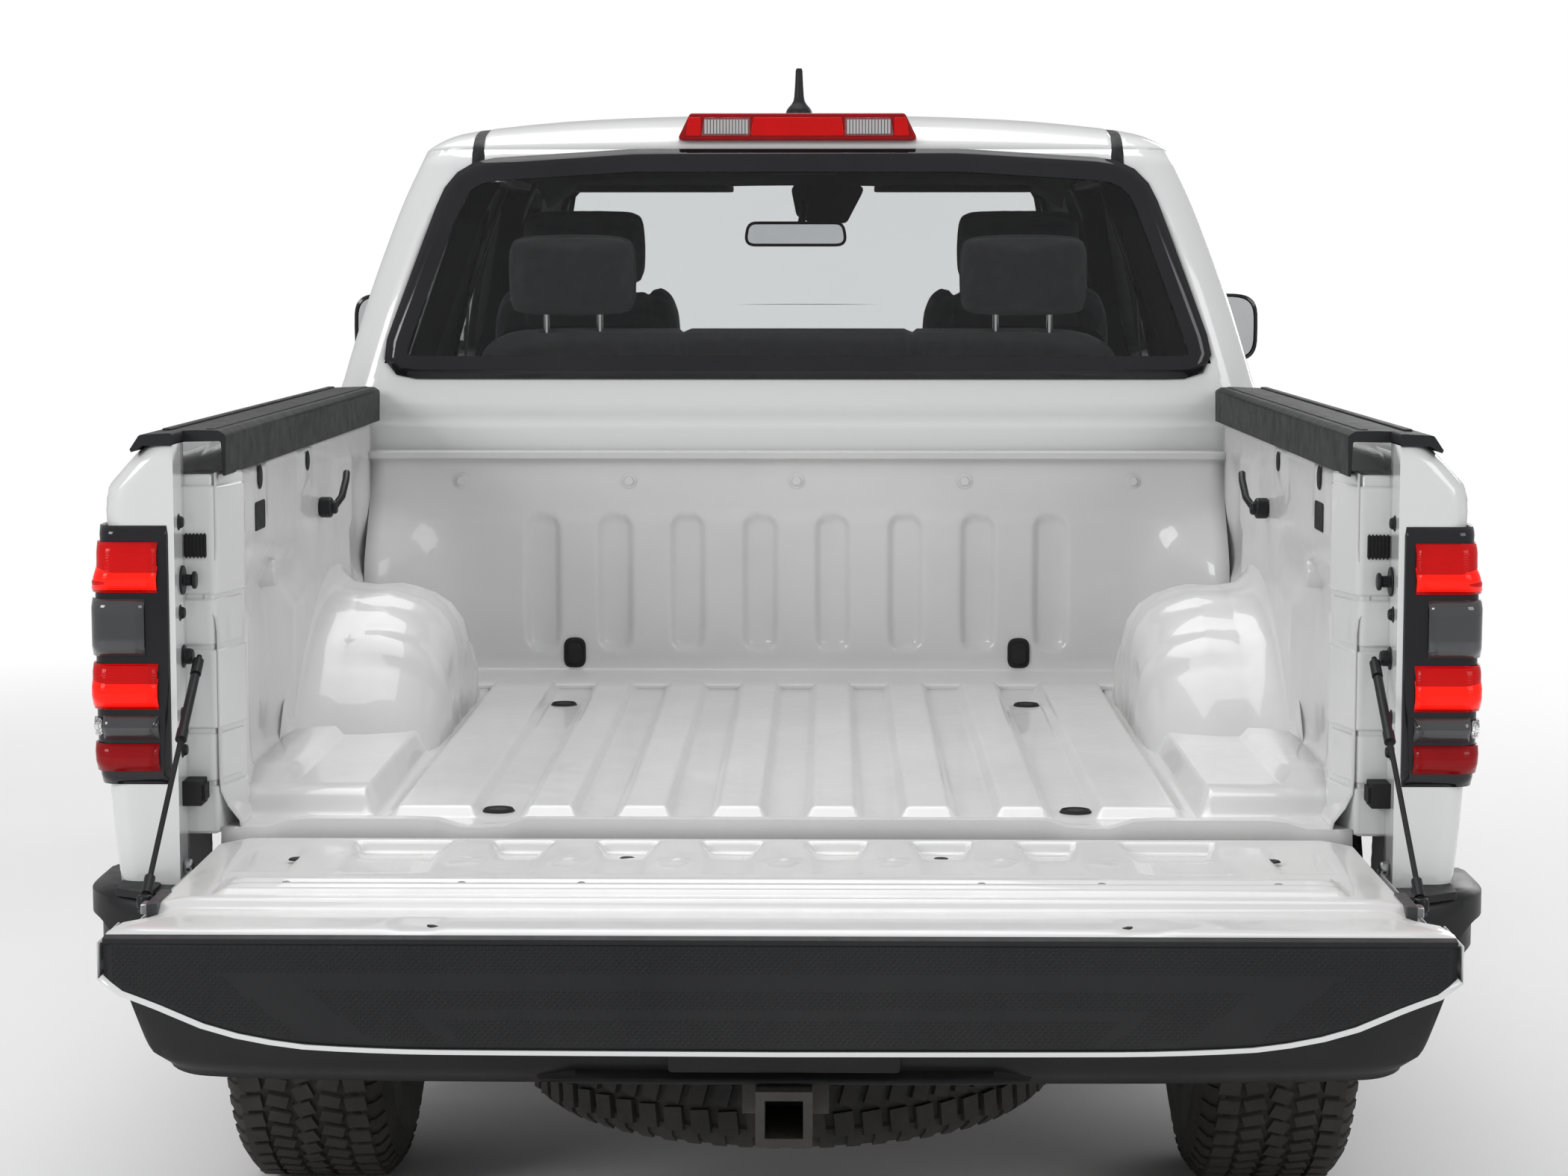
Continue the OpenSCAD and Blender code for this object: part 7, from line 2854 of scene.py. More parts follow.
    def build_lamps(self) -> None:
        """Makes the headlamps: housings, projectors, light guides and lenses."""
        outline = rounded([(0.592, 1.030), (0.568, 0.868), (0.930, 0.884), (0.938, 0.998), (0.800, 1.022)], 0.012, 4)
        house = Piece("headlamp_housings")
        self.sheet(house, outline, 0.0, ((0.003, -0.045), (0.004, -0.035)), DARK_ALLOY, 72)
        ring = resampled(outline, 72)
        rows = [[self.wrapped(x, z, 0.0, out) for x, z in shrunk(ring, inset)]
                for inset, out in ((0.002, -0.045), (0.001, -0.001), (0.010, -0.006), (0.012, -0.035))]
        house.sheets(rows, GLOSS_BLACK, ring=True)
        for x in (0.655, 0.755):
            y = self.wrapped(x, 0.950, 0.0, -0.034)[1]
            house.lathe([(0.038, 0.0), (0.040, 0.018), (0.034, 0.020), (0.028, 0.012), (0.028, 0.004)],
                        (x, y, 0.948), (0, -1, 0), CHROME, 36)
            house.lathe([(0.028, 0.006), (0.020, 0.014), (0.010, 0.018), (0.0, 0.019)], (x, y, 0.948), (0, -1, 0),
                        CLEAR, 36)
        house.mirrored().done("root", "clear_lens", smooth=CRISP, replaces=("headlamps",))
        guide = Piece("headlamp_light_guides")
        path = [(0.600, 1.014), (0.588, 0.886), (0.700, 0.890), (0.860, 0.898)]
        track = [self.wrapped(*(path[i][j] + (path[i + 1][j] - path[i][j]) * k / 8 for j in (0, 1)), 0.0, -0.022)
                 for i in range(3) for k in range(9)]
        track = [p for i, p in enumerate(track) if i == 0 or math.dist(p, track[i - 1]) > 1e-4]
        guide.tube(track, 0.005, CLEAR, 8)
        amber = [self.wrapped(0.83 + 0.07 * k / 8, 0.972, 0.0, -0.024) for k in range(9)]
        guide.tube(amber, 0.012, AMBER, 10)
        guide.mirrored().done("root", "clear_lens", smooth=ROUND)
        lens = Piece("headlamp_lenses")
        self.sheet(lens, outline, 0.0, ((0.002, -0.006), (0.0035, 0.001), (0.007, 0.004)), CLEAR, 72)
        lens.mirrored().done("root", "clear_lens", wall=MOULDED, smooth=SOFTENED)

    def build_bumper(self) -> None:
        """Makes the bumper with its intake, fog lamps, skid plate and blank plate carrier."""
        paint = Piece("front_bumper_skin")
        self.band(paint, PAINT)
        paint.done("root", "body_paint", wall=MOULDED, smooth=CREASED, replaces=("front_bumper",))
        lower = Piece("front_bumper_lower")
        side = rounded([(0.905, 0.688), (0.880, 0.500), (0.790, 0.452), (0.600, 0.424), (0.410, 0.500),
                        (0.452, 0.586), (0.522, 0.580), (0.622, 0.646)], 0.010, 3)
        self.sheet(lower, side, 0.066, ((0.0, -0.040), (0.0, -0.006), (0.006, 0.0)), GRAINED)
        lower.mirrored()
        chin = rounded([(-0.600, 0.424), (-0.405, 0.500), (0.405, 0.500), (0.600, 0.424)], 0.006, 3)
        self.sheet(lower, chin, 0.066, ((0.0, -0.060), (0.0, -0.006), (0.006, 0.0)), GRAINED)
        back = rounded([(-0.50, 0.580), (-0.42, 0.500), (0.42, 0.500), (0.50, 0.580)], 0.006, 3)
        self.sheet(lower, back, 0.066, ((0.0, -0.060), (0.0, -0.045)), SATIN_BLACK)
        for k in range(3):
            self.bar(lower, (-0.45, 0.522 + 0.018 * k), (0.45, 0.522 + 0.018 * k), 0.066, (0.003, 0.008), -0.025,
                     SATIN_BLACK, 30)
        lower.done("root", "black_plastic", smooth=CREASED)
        fog = Piece("fog_lamps")
        for s in (-1, 1):
            x, z = s * 0.735, 0.575
            y = self.wrapped(x, z, 0.066, 0.0)[1]
            fog.lathe([(0.072, -0.004), (0.074, 0.008), (0.060, 0.014), (0.046, 0.004), (0.044, -0.002)], (x, y, z),
                      (s * 0.18, -1, 0), GLOSS_BLACK, 40)
            fog.lathe([(0.046, 0.002), (0.030, 0.009), (0.0, 0.012)], (x, y, z), (s * 0.18, -1, 0), CLEAR, 36)
        fog.done("root", "clear_lens", smooth=CRISP)
        skid = Piece("front_skid_plate")
        rows = []
        for d, z, half in ((-0.885, 0.470, 0.34), (-0.870, 0.436, 0.36), (-0.80, 0.412, 0.38), (-0.66, 0.404, 0.38)):
            rows.append([(half * (-1 + 2 * k / 16), behind(d + 0.03 * (abs(k - 8) / 8) ** 2), z) for k in range(17)])
        skid.sheets(rows, STEEL)
        skid.done("root", "cast_metal", wall=TRIM, smooth=SOFTENED)
        plate = Piece("front_plate_carrier")
        self.bar(plate, (-0.170, 0.672), (0.170, 0.672), 0.066, (0.070, 0.006), 0.004, SATIN_BLACK, 20)
        plate.done("root", "black_plastic", Rounding.FINE)

    def band(self, piece: Piece, finish: Finish) -> None:
        """Adds the bumper's painted cover by columns between its upper and lower edges."""
        top = ((0.0, 0.765), (0.500, 0.765), (0.566, 0.850), (0.905, 0.862))
        low = ((0.0, 0.585), (0.520, 0.585), (0.620, 0.650), (0.905, 0.690))
        xs = lines(-0.905, 0.905, 0.035, (-0.566, -0.5, 0.5, 0.566, -0.62, -0.52, 0.52, 0.62), 0.008, 2)
        vs = [0.0, 0.04, 0.10, 0.20, 0.35, 0.5, 0.65, 0.80, 0.90, 0.96, 1.0]

        def place(x: float, v: float) -> Point:
            """Places one point of the cover."""
            z0, z1 = curve_through(low, abs(x)), curve_through(top, abs(x))
            return self.wrapped(x, z0 + (z1 - z0) * v, 0.066, 0.014 * math.sin(math.pi * v) - 0.006)

        piece.grid(xs, vs, place, finish)
        for v in (0.0, 1.0):
            row = [place(x, v) for x in xs]
            piece.strip(row, [(x, y + 0.050, z) for x, y, z in row], finish)
        for s in (-1, 1):
            corner = [place(s * 0.905, v) for v in vs]
            piece.strip(corner, [(s * 0.925, y + 0.10, z) for x, y, z in corner], finish)
            piece.strip([(s * 0.925, y + 0.10, z) for x, y, z in corner],
                        [(s * 0.925, behind(-0.470), z) for x, y, z in corner], finish)

    def build(self) -> None:
        """Makes the whole front."""
        self.build_grille()
        self.build_lamps()
        self.build_bumper()


# --------------------------------------------------------------------------
# Wheels
# --------------------------------------------------------------------------
@dataclass(frozen=True)
class TreadRow:
    """One ring of tread blocks: its place across the tyre, block size and turn."""

    across: float
    count: int
    long: float
    wide: float
    skew: float
    phase: float = 0.0


TREAD_ROWS = (
    TreadRow(0.000, 68, 0.026, 0.030, 0.35),
    TreadRow(0.042, 68, 0.024, 0.034, -0.28, 0.5),
    TreadRow(-0.042, 68, 0.024, 0.034, -0.28, 0.5),
    TreadRow(0.084, 60, 0.028, 0.034, 0.10),
    TreadRow(-0.084, 60, 0.028, 0.034, 0.10),
)


def tread_tree(name: str, rows: Sequence[TreadRow], finish: Finish) -> bpy.types.NodeTree:
    """Builds a Geometry Nodes tree that rings a tyre with tread blocks about its Z axis.

    Args:
        name: The tree's name.
        rows: The rings of blocks.
        finish: The blocks' finish.

    Returns:
        The tree, with inputs Radius and Height.
    """
    found = bpy.data.node_groups.get(name)
    if found:
        return found
    tree = bpy.data.node_groups.new(name, "GeometryNodeTree")
    tree.interface.new_socket(name="Geometry", in_out="INPUT", socket_type="NodeSocketGeometry")
    add_socket(tree, "Radius", False, 0.385)
    add_socket(tree, "Height", False, 0.012)
    tree.interface.new_socket(name="Geometry", in_out="OUTPUT", socket_type="NodeSocketGeometry")
    link = tree.links.new
    start = tree.nodes.new("NodeGroupInput")
    join = tree.nodes.new("GeometryNodeJoinGeometry")
    for row in rows:
        circle = tree.nodes.new("GeometryNodeMeshCircle")
        circle.inputs["Vertices"].default_value = row.count
        link(start.outputs["Radius"], circle.inputs["Radius"])
        size = tree.nodes.new("ShaderNodeCombineXYZ")
        link(start.outputs["Height"], size.inputs["X"])
        size.inputs["Y"].default_value = row.long
        size.inputs["Z"].default_value = row.wide
        cube = tree.nodes.new("GeometryNodeMeshCube")
        link(size.outputs["Vector"], cube.inputs["Size"])
        index = tree.nodes.new("GeometryNodeInputIndex")
        angle = tree.nodes.new("ShaderNodeMath")
        angle.operation = "MULTIPLY"
        link(index.outputs["Index"], angle.inputs[0])
        angle.inputs[1].default_value = 2 * math.pi / row.count
        turn = tree.nodes.new("ShaderNodeCombineXYZ")
        turn.inputs["X"].default_value = row.skew
        link(angle.outputs["Value"], turn.inputs["Z"])
        place = tree.nodes.new("GeometryNodeInstanceOnPoints")
        link(circle.outputs["Mesh"], place.inputs["Points"])
        link(cube.outputs["Mesh"], place.inputs["Instance"])
        link(turn.outputs["Vector"], place.inputs["Rotation"])
        shift = tree.nodes.new("GeometryNodeTransform")
        shift.inputs["Translation"].default_value = (0.0, 0.0, row.across)
        shift.inputs["Rotation"].default_value = (0.0, 0.0, row.phase * 2 * math.pi / row.count)
        link(place.outputs["Instances"], shift.inputs["Geometry"])
        link(shift.outputs["Geometry"], join.inputs["Geometry"])
    real = tree.nodes.new("GeometryNodeRealizeInstances")
    paint = tree.nodes.new("GeometryNodeSetMaterial")
    paint.inputs["Material"].default_value = finish.material()
    link(join.outputs["Geometry"], real.inputs["Geometry"])
    link(real.outputs["Geometry"], paint.inputs["Geometry"])
    end = tree.nodes.new("NodeGroupOutput")
    link(paint.outputs["Geometry"], end.inputs["Geometry"])
    return tree


@dataclass
class Wheel:
    """One road wheel or the spare: tyre, tread, rim, disc and nuts."""

    name: str
    tyre: str
    rim: str
    body: str
    matrix: Matrix
    steel_only: bool = False
    tyre_r: float = 0.395
    rim_r: float = 0.216
    half: float = 0.1325

    def tyre_piece(self) -> None:
        """Makes the tyre's casing and its tread."""
        h, r0, r1 = self.half, self.rim_r, self.tyre_r
        side = [(r0 - 0.006, h - 0.034), (r0 + 0.004, h - 0.022), (r0 + 0.018, h - 0.012), (r0 + 0.030, h - 0.007),
                (r0 + 0.032, h - 0.0055), (r0 + 0.052, h - 0.002), (r0 + 0.080, h), (r0 + 0.082, h + 0.0008),
                (r0 + 0.104, h + 0.0006), (r0 + 0.106, h - 0.0010), (r1 - 0.050, h - 0.0045),
                (r1 - 0.034, h - 0.010), (r1 - 0.018, h - 0.020), (r1 - 0.0105, h - 0.034), (r1 - 0.0085, 0.060)]
        profile = side + [(r1 - 0.0075, 0.0)] + [(r, -x) for r, x in reversed(side)]
        casing = Piece(self.name + "_casing")
        casing.lathe(profile, (0, 0, 0), (1, 0, 0), TYRE, 120, closed=True)
        for k in range(60):
            a = 2 * math.pi * (k + 0.5) / 60
            for s in (-1, 1):
                rows = []
                for r, x, w in ((r1 - 0.0060, h - 0.040, 0.013), (r1 - 0.0115, h - 0.021, 0.013),
                                (r1 - 0.030, h - 0.0075, 0.010)):
                    rows.append([(s * x, r * math.cos(a + da / r) , r * math.sin(a + da / r)) for da in (-w, w)]
                                + [(s * (x - 0.010), (r - 0.008) * math.cos(a + da / r),
                                    (r - 0.008) * math.sin(a + da / r)) for da in (w, -w)])
                for p, q in zip(rows[:-1], rows[1:]):
                    casing.strip(p, q, TYRE, ring=True)
                for row in (rows[0], rows[-1]):
                    casing.add(row, [(0, 1, 2, 3)], TYRE)
        casing.moved(self.matrix).done(self.body, "tyre_rubber", smooth=38, replaces=(self.tyre,))
        carrier_mesh = bpy.data.meshes.new(self.name + "_tread")
        carrier = bpy.data.objects.new(self.name + "_tread_points", carrier_mesh)
        bpy.context.scene.collection.objects.link(carrier)
        modifier = carrier.modifiers.new("tread", "NODES")
        tree = tread_tree("tyre_tread", TREAD_ROWS, TYRE)
        modifier.node_group = tree
        modifier[socket_id(tree, "Radius")] = r1 - 0.0055
        modifier[socket_id(tree, "Height")] = 0.010
        graph = bpy.context.evaluated_depsgraph_get()
        data = bpy.data.meshes.new_from_object(carrier.evaluated_get(graph), preserve_all_data_layers=False,
                                               depsgraph=graph)
        bpy.data.objects.remove(carrier)
        data.transform(self.matrix @ Matrix.Rotation(math.pi / 2, 4, "Y"))
        obj = bpy.data.objects.new(self.name + "_tread", data)
        bpy.context.scene.collection.objects.link(obj)
        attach(obj, self.body)

    def rim_piece(self) -> None:
        """Makes the rim: barrel, spokes, hub, cap and nuts."""
        rim = Piece(self.name + "_rim")
        r = self.rim_r
        barrel = [(r + 0.002, 0.098), (r + 0.010, 0.106), (r + 0.011, 0.112), (r + 0.006, 0.115), (r - 0.002, 0.112),
                  (r - 0.010, 0.100), (r - 0.016, 0.086), (r - 0.020, 0.060), (r - 0.022, -0.06), (r - 0.012, -0.095),
                  (r + 0.004, -0.108), (r + 0.010, -0.110), (r + 0.010, -0.104), (r, -0.098)]
        rim.lathe(barrel, (0, 0, 0), (1, 0, 0), STEEL if self.steel_only else ALLOY, 96, closed=True)
        if self.steel_only:
            rim.lathe([(r - 0.018, -0.03), (0.150, -0.058), (0.110, -0.062), (0.085, -0.050), (0.0, -0.050)],
                      (0, 0, 0), (1, 0, 0), CHASSIS, 72)
            for k in range(5):
                a = 2 * math.pi * k / 5
                rim.lathe([(0.030, 0.002), (0.028, -0.004), (0.0, -0.004)],
                          (-0.056, 0.130 * math.cos(a), 0.130 * math.sin(a)), (1, 0, 0), SATIN_BLACK, 20)
            rim.moved(self.matrix).done(self.body, "wheel_alloy", smooth=38)
            return
        for k in range(6):
            a = 2 * math.pi * k / 6
            c, s = math.cos(a), math.sin(a)
            rows = []
            for i in range(9):
                t = i / 8
                rad = 0.052 + (r - 0.016 - 0.052) * t
                w = 0.034 - 0.012 * math.sin(math.pi * min(t * 1.15, 1.0)) + 0.014 * t ** 3
                f = 0.058 + 0.026 * t ** 1.6
                deep = 0.034 - 0.008 * t
                dip = 0.010 * math.sin(math.pi * t) ** 0.6 if 0 < t < 1 else 0.0
                cut = ((-w, f - deep), (-w, f - 0.007), (-w * 0.82, f), (-w * 0.40, f + 0.001), (-w * 0.26, f - dip),
                       (w * 0.26, f - dip), (w * 0.40, f + 0.001), (w * 0.82, f), (w, f - 0.007), (w, f - deep))
                rows.append([(x, rad * c - u * s, rad * s + u * c) for u, x in cut])
            for p, q in zip(rows[:-1], rows[1:]):
                for j in range(9):
                    rim.strip([p[j], p[j + 1]], [q[j], q[j + 1]], DARK_ALLOY if j == 4 else ALLOY)
                rim.strip([p[9], p[0]], [q[9], q[0]], DARK_ALLOY)
        rim.lathe([(0.094, 0.022), (0.094, 0.048), (0.088, 0.057), (0.066, 0.058), (0.060, 0.052), (0.040, 0.052),
                   (0.038, 0.060), (0.034, 0.066), (0.0, 0.069)], (0, 0, 0), (1, 0, 0), ALLOY, 60)
        for k in range(6):
            a = 2 * math.pi * (k + 0.5) / 6
            y, z = 0.077 * math.cos(a), 0.077 * math.sin(a)
            rim.lathe([(0.0135, 0.0), (0.0125, -0.010)], (0.0585, y, z), (1, 0, 0), DARK_ALLOY, 20)
            rim.lathe([(0.0095, -0.006), (0.0095, 0.008), (0.007, 0.011), (0.0, 0.012)], (0.054, y, z), (1, 0, 0),
                      CHROME, 6)
        a = 0.35
        rim.rod((0.098, (r - 0.012) * math.cos(a), (r - 0.012) * math.sin(a)),
                (0.128, (r - 0.030) * math.cos(a), (r - 0.030) * math.sin(a)), 0.0035, SATIN_BLACK, 12)
        rim.moved(self.matrix).done(self.body, "wheel_alloy", smooth=38, replaces=(self.rim,))
        disc = Piece(self.name + "_brake_disc")
        disc.lathe([(0.090, -0.022), (0.160, -0.022), (0.162, -0.024), (0.162, -0.030), (0.158, -0.031),
                    (0.158, -0.036), (0.162, -0.037), (0.162, -0.043), (0.160, -0.044), (0.075, -0.044),
                    (0.075, 0.020), (0.090, 0.020)], (0, 0, 0), (1, 0, 0), STEEL, 72, closed=True)
        for k in range(36):
            a = 2 * math.pi * k / 36
            b = a + 0.10
            disc.strip([(-0.0315, 0.100 * math.cos(a), 0.100 * math.sin(a)), (-0.0355, 0.100 * math.cos(a),
                                                                            0.100 * math.sin(a))],
                       [(-0.0315, 0.157 * math.cos(b), 0.157 * math.sin(b)), (-0.0355, 0.157 * math.cos(b),
                                                                            0.157 * math.sin(b))], STEEL)
        disc.moved(self.matrix).done(self.body, "cast_metal", smooth=38)

    def build(self) -> None:
        """Makes the whole wheel."""
        self.tyre_piece()
        self.rim_piece()


def make_wheels() -> None:
    """Makes the four road wheels and the spare under the bed."""
    for end, short in (("front", "f"), ("rear", "r")):
        for word, way, letter in (("left", 1.0, "l"), ("right", -1.0, "r")):
            low, high = corners(f"tyre_{end}_{word}")
            place = Matrix.Translation((low + high) / 2) @ Matrix.Diagonal((way, 1.0, 1.0, 1.0))
            Wheel(f"wheel_{end}_{word}", f"tyre_{end}_{word}", f"rim_{end}_{word}", f"wheel_{short}{letter}",
                  place).build()
    low, high = corners("spare_wheel")
    place = Matrix.Translation((low + high) / 2) @ Matrix.Rotation(math.pi / 2, 4, "Y")
    Wheel("spare_wheel_full", "spare_wheel", "", "root", place, steel_only=True).build()


# --------------------------------------------------------------------------
# Cabin
# --------------------------------------------------------------------------
@dataclass
class Pad:
    """A stuffed piece: a soft form, swollen by a cloth simulation, with its seams drawn in afterwards."""

    name: str
    size: Point
    place: Matrix
    bolster: float = 0.0
    seams: tuple[float, ...] = ()
    channels: tuple[float, ...] = ()
    fill: float = 0.8
    voxel: float = 0.013
    cap: float = 0.022
    obj: bpy.types.Object | None = None
    rest: list[Vector] | None = None

    def form(self) -> None:
        """Makes the remeshed soft form and readies its cloth."""
        half = [s / 2 for s in self.size]
        piece = Piece(self.name)

        def bent(value: float, power: float) -> float:
            """Raises a value to a power and keeps its sign."""
            return math.copysign(abs(value) ** power, value)

        def point(u: float, v: float) -> Point:
            """Places a point of the rounded box, with raised side bolsters."""
            x = half[0] * bent(math.cos(v), 0.30) * bent(math.cos(u), 0.26)
            y = half[1] * bent(math.cos(v), 0.30) * bent(math.sin(u), 0.26)
            z = half[2] * bent(math.sin(v), 0.55)
            side = smooth_step(0.55, 0.85, abs(x) / half[0])
            return (x, y, z + (self.bolster * side if z > 0 else 0.0))

        us = [2 * math.pi * k / 64 for k in range(65)]
        vs = [-math.pi / 2 + math.pi * k / 32 for k in range(33)]
        piece.grid(us, vs, point, CLOTH)
        bmesh.ops.remove_doubles(piece.mesh, verts=piece.mesh.verts[:], dist=1e-4)
        bmesh.ops.recalc_face_normals(piece.mesh, faces=piece.mesh.faces[:])
        data = bpy.data.meshes.new(self.name)
        piece.mesh.to_mesh(data)
        piece.mesh.free()
        self.obj = bpy.data.objects.new(self.name, data)
        bpy.context.scene.collection.objects.link(self.obj)
        remesh = self.obj.modifiers.new("remesh", "REMESH")
        remesh.mode = "VOXEL"
        remesh.voxel_size = self.voxel
        self.apply()
        self.rest = [v.co.copy() for v in self.obj.data.vertices]
        swell = self.obj.modifiers.new("swell", "CLOTH")
        swell.settings.use_pressure = True
        swell.settings.uniform_pressure_force = 4.0
        swell.settings.effector_weights.gravity = 0.0

    def apply(self) -> None:
        """Turns what the piece's modifiers make into its own mesh."""
        graph = bpy.context.evaluated_depsgraph_get()
        data = bpy.data.meshes.new_from_object(self.obj.evaluated_get(graph), depsgraph=graph)
        self.obj.modifiers.clear()
        old = self.obj.data
        self.obj.data = data
        bpy.data.meshes.remove(old)

    def sew(self, slot: str) -> None:
        """Caps the swelling, smooths the piece, draws its seams in and puts it in place.

        Args:
            slot: The record's material slot; not used.
        """
        self.apply()
        half = [s / 2 for s in self.size]
        for vertex, rest in zip(self.obj.data.vertices, self.rest):
            move = vertex.co - rest
            if move.length > self.cap:
                move *= self.cap / move.length
            vertex.co = rest + move
            vertex.co.z = max(vertex.co.z, -half[2])
        finer = self.obj.modifiers.new("finer", "SUBSURF")
        finer.levels = finer.render_levels = 1
        self.apply()
        normals = [v.normal.copy() for v in self.obj.data.vertices]
        for vertex, normal in zip(self.obj.data.vertices, normals):
            x, y, z = vertex.co
            away = [abs(abs(x) - s * half[0]) for s in self.seams]
            if z > 0:
                away += [abs(y - c * half[1]) for c in self.channels if abs(x) < (self.seams[0] if self.seams else 1)
                         * half[0]]
            away += [abs(z + half[2] * 0.15)] if max(abs(x) / half[0], abs(y) / half[1]) > 0.9 else []
            if away:
                depth = 0.0075 * (1 - smooth_step(0.0, 0.011, min(away)))
                vertex.co = vertex.co - normal * depth
        self.obj.data.transform(self.place)
        self.obj.data.materials.clear()
        self.obj.data.materials.append(CLOTH.material())
        for polygon in self.obj.data.polygons:
            polygon.use_smooth = True
            polygon.material_index = 0
        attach(self.obj, "root")


def leaning(x: float, d: float, z: float, lean: float, up: float, out: float = 0.0) -> Matrix:
    """Frame of a pad on a leaning back: its length runs up the back and its face looks ahead.

    Args:
        x: Place across.
        d: Foot of the back behind the front axle.
        z: Height of the foot.
        lean: Lean in degrees.
        up: How far up the back the pad's centre is.
        out: How far ahead of the foot's line it is.

    Returns:
        The frame.
    """
    a = math.radians(lean)
    c, s = math.cos(a), math.sin(a)
    turn = Matrix(((1, 0, 0, 0), (0, s, -c, 0), (0, c, s, 0), (0, 0, 0, 1)))
    return Matrix.Translation((x, behind(d) + up * s - out * c, z + up * c + out * s)) @ turn


def flat_place(x: float, d: float, z: float, tilt: float) -> Matrix:
    """Frame of a seat cushion, with its front edge tilted up by some degrees."""
    return Matrix.Translation((x, behind(d), z)) @ Matrix.Rotation(math.radians(-tilt), 4, "X")


@dataclass
class Seats:
    """The front seats and the rear bench."""

    def pads(self) -> list[Pad]:
        """Lists every stuffed piece of the seats."""
        out = []
        for word, x in (("left", 0.45), ("right", -0.45)):
            out += [
                Pad(f"front_cushion_{word}", (0.455, 0.485, 0.115), flat_place(x, 1.425, 0.835, 3), 0.026,
                    (0.62,), (-0.35, 0.25)),
                Pad(f"front_back_{word}", (0.430, 0.650, 0.095), leaning(x, 1.64, 0.90, 18, 0.305, 0.005), 0.034,
                    (0.60,), (-0.45, -0.05, 0.40)),
                Pad(f"front_headrest_{word}", (0.250, 0.150, 0.080), leaning(x, 1.64, 0.90, 18, 0.712, -0.012),
                    voxel=0.009, cap=0.014),
            ]
        out += [
            Pad("rear_cushion", (1.250, 0.440, 0.105), flat_place(0.0, 2.305, 0.862, 3), 0.010, (0.34,), (-0.2, 0.4),
                voxel=0.016),
            Pad("rear_back", (1.250, 0.520, 0.085), leaning(0.0, 2.50, 0.925, 6, 0.262, 0.0), 0.012, (0.34,),
                (-0.3, 0.35), voxel=0.016),
        ]
        for word, x in (("left", 0.42), ("right", -0.42)):
            out.append(Pad(f"rear_headrest_{word}", (0.235, 0.145, 0.070), leaning(x, 2.50, 0.925, 6, 0.600, -0.010),
                           voxel=0.009, cap=0.012))
        return out

    def build(self) -> None:
        """Makes the pads with one simulation and the frames under them."""
        pads = self.pads()
        for pad in pads:
            pad.form()
        for frame_number in range(1, 21):
            bpy.context.scene.frame_set(frame_number)
        for pad in pads:
            pad.sew("seat_cloth")
        bpy.context.scene.frame_set(1)
        frames = Piece("front_seat_frames")
        for x in (0.45, -0.45):
            shell = rounded([(behind(1.19), 0.735), (behind(1.66), 0.735), (behind(1.72), 0.80), (behind(1.70), 0.86),
                             (behind(1.62), 0.83), (behind(1.19), 0.80)], 0.02, 4)
            for side in (-1, 1):
                a, b = sorted((x + side * 0.214, x + side * 0.236))
                frames.prism(shell, a, b, "x", CABIN)
            frames.block((x - 0.20, behind(1.22), 0.745), (x + 0.20, behind(1.64), 0.775), SATIN_BLACK)
            for side in (-1, 1):
                rail = x + side * 0.17
                frames.block((rail - 0.022, behind(1.20), 0.648), (rail + 0.022, behind(1.68), 0.668), STEEL)
                frames.block((rail - 0.016, behind(1.22), 0.666), (rail + 0.016, behind(1.66), 0.684), SATIN_BLACK)
                for d in (1.30, 1.56):
                    frames.block((rail - 0.012, behind(d) - 0.03, 0.682), (rail + 0.012, behind(d) + 0.03, 0.750),
                                 SATIN_BLACK)
            back = leaning(x, 1.64, 0.90, 18, 0.285, -0.052)
            shield = Piece("shield")
            outline = rounded([(-0.195, -0.29), (0.195, -0.29), (0.185, 0.27), (-0.185, 0.27)], 0.05, 5)
            shield.prism(outline, -0.012, 0.004, "z", CABIN)
            shield.moved(back)
            shell_mesh = bpy.data.meshes.new("shield")
            shield.mesh.to_mesh(shell_mesh)
            shield.mesh.free()
            frames.add([tuple(v.co) for v in shell_mesh.vertices], [tuple(p.vertices) for p in shell_mesh.polygons],
                       CABIN)
            bpy.data.meshes.remove(shell_mesh)
            for side in (-1, 1):
                low = leaning(x + side * 0.055, 1.64, 0.90, 18, 0.54, -0.012).translation
                high = leaning(x + side * 0.055, 1.64, 0.90, 18, 0.66, -0.012).translation
                frames.rod(low, high, 0.006, CHROME, 16)
        frames.done("root", "cabin_plastic", Rounding.FINE, replaces=("front_seats",))
        bench = Piece("rear_seat_frame")
        bench.block((-0.60, behind(2.20), 0.642), (0.60, behind(2.50), 0.802), CABIN)
        bench.block((-0.62, behind(2.12), 0.780), (0.62, behind(2.50), 0.806), CABIN)
        for x in (0.42, -0.42):
            for side in (-1, 1):
                low = leaning(x + side * 0.05, 2.50, 0.925, 6, 0.46, -0.010).translation
                high = leaning(x + side * 0.05, 2.50, 0.925, 6, 0.56, -0.010).translation
                bench.rod(low, high, 0.006, CHROME, 16)
        bench.done("root", "cabin_plastic", Rounding.SOFT, replaces=("rear_seat",))
        self.build_belts()

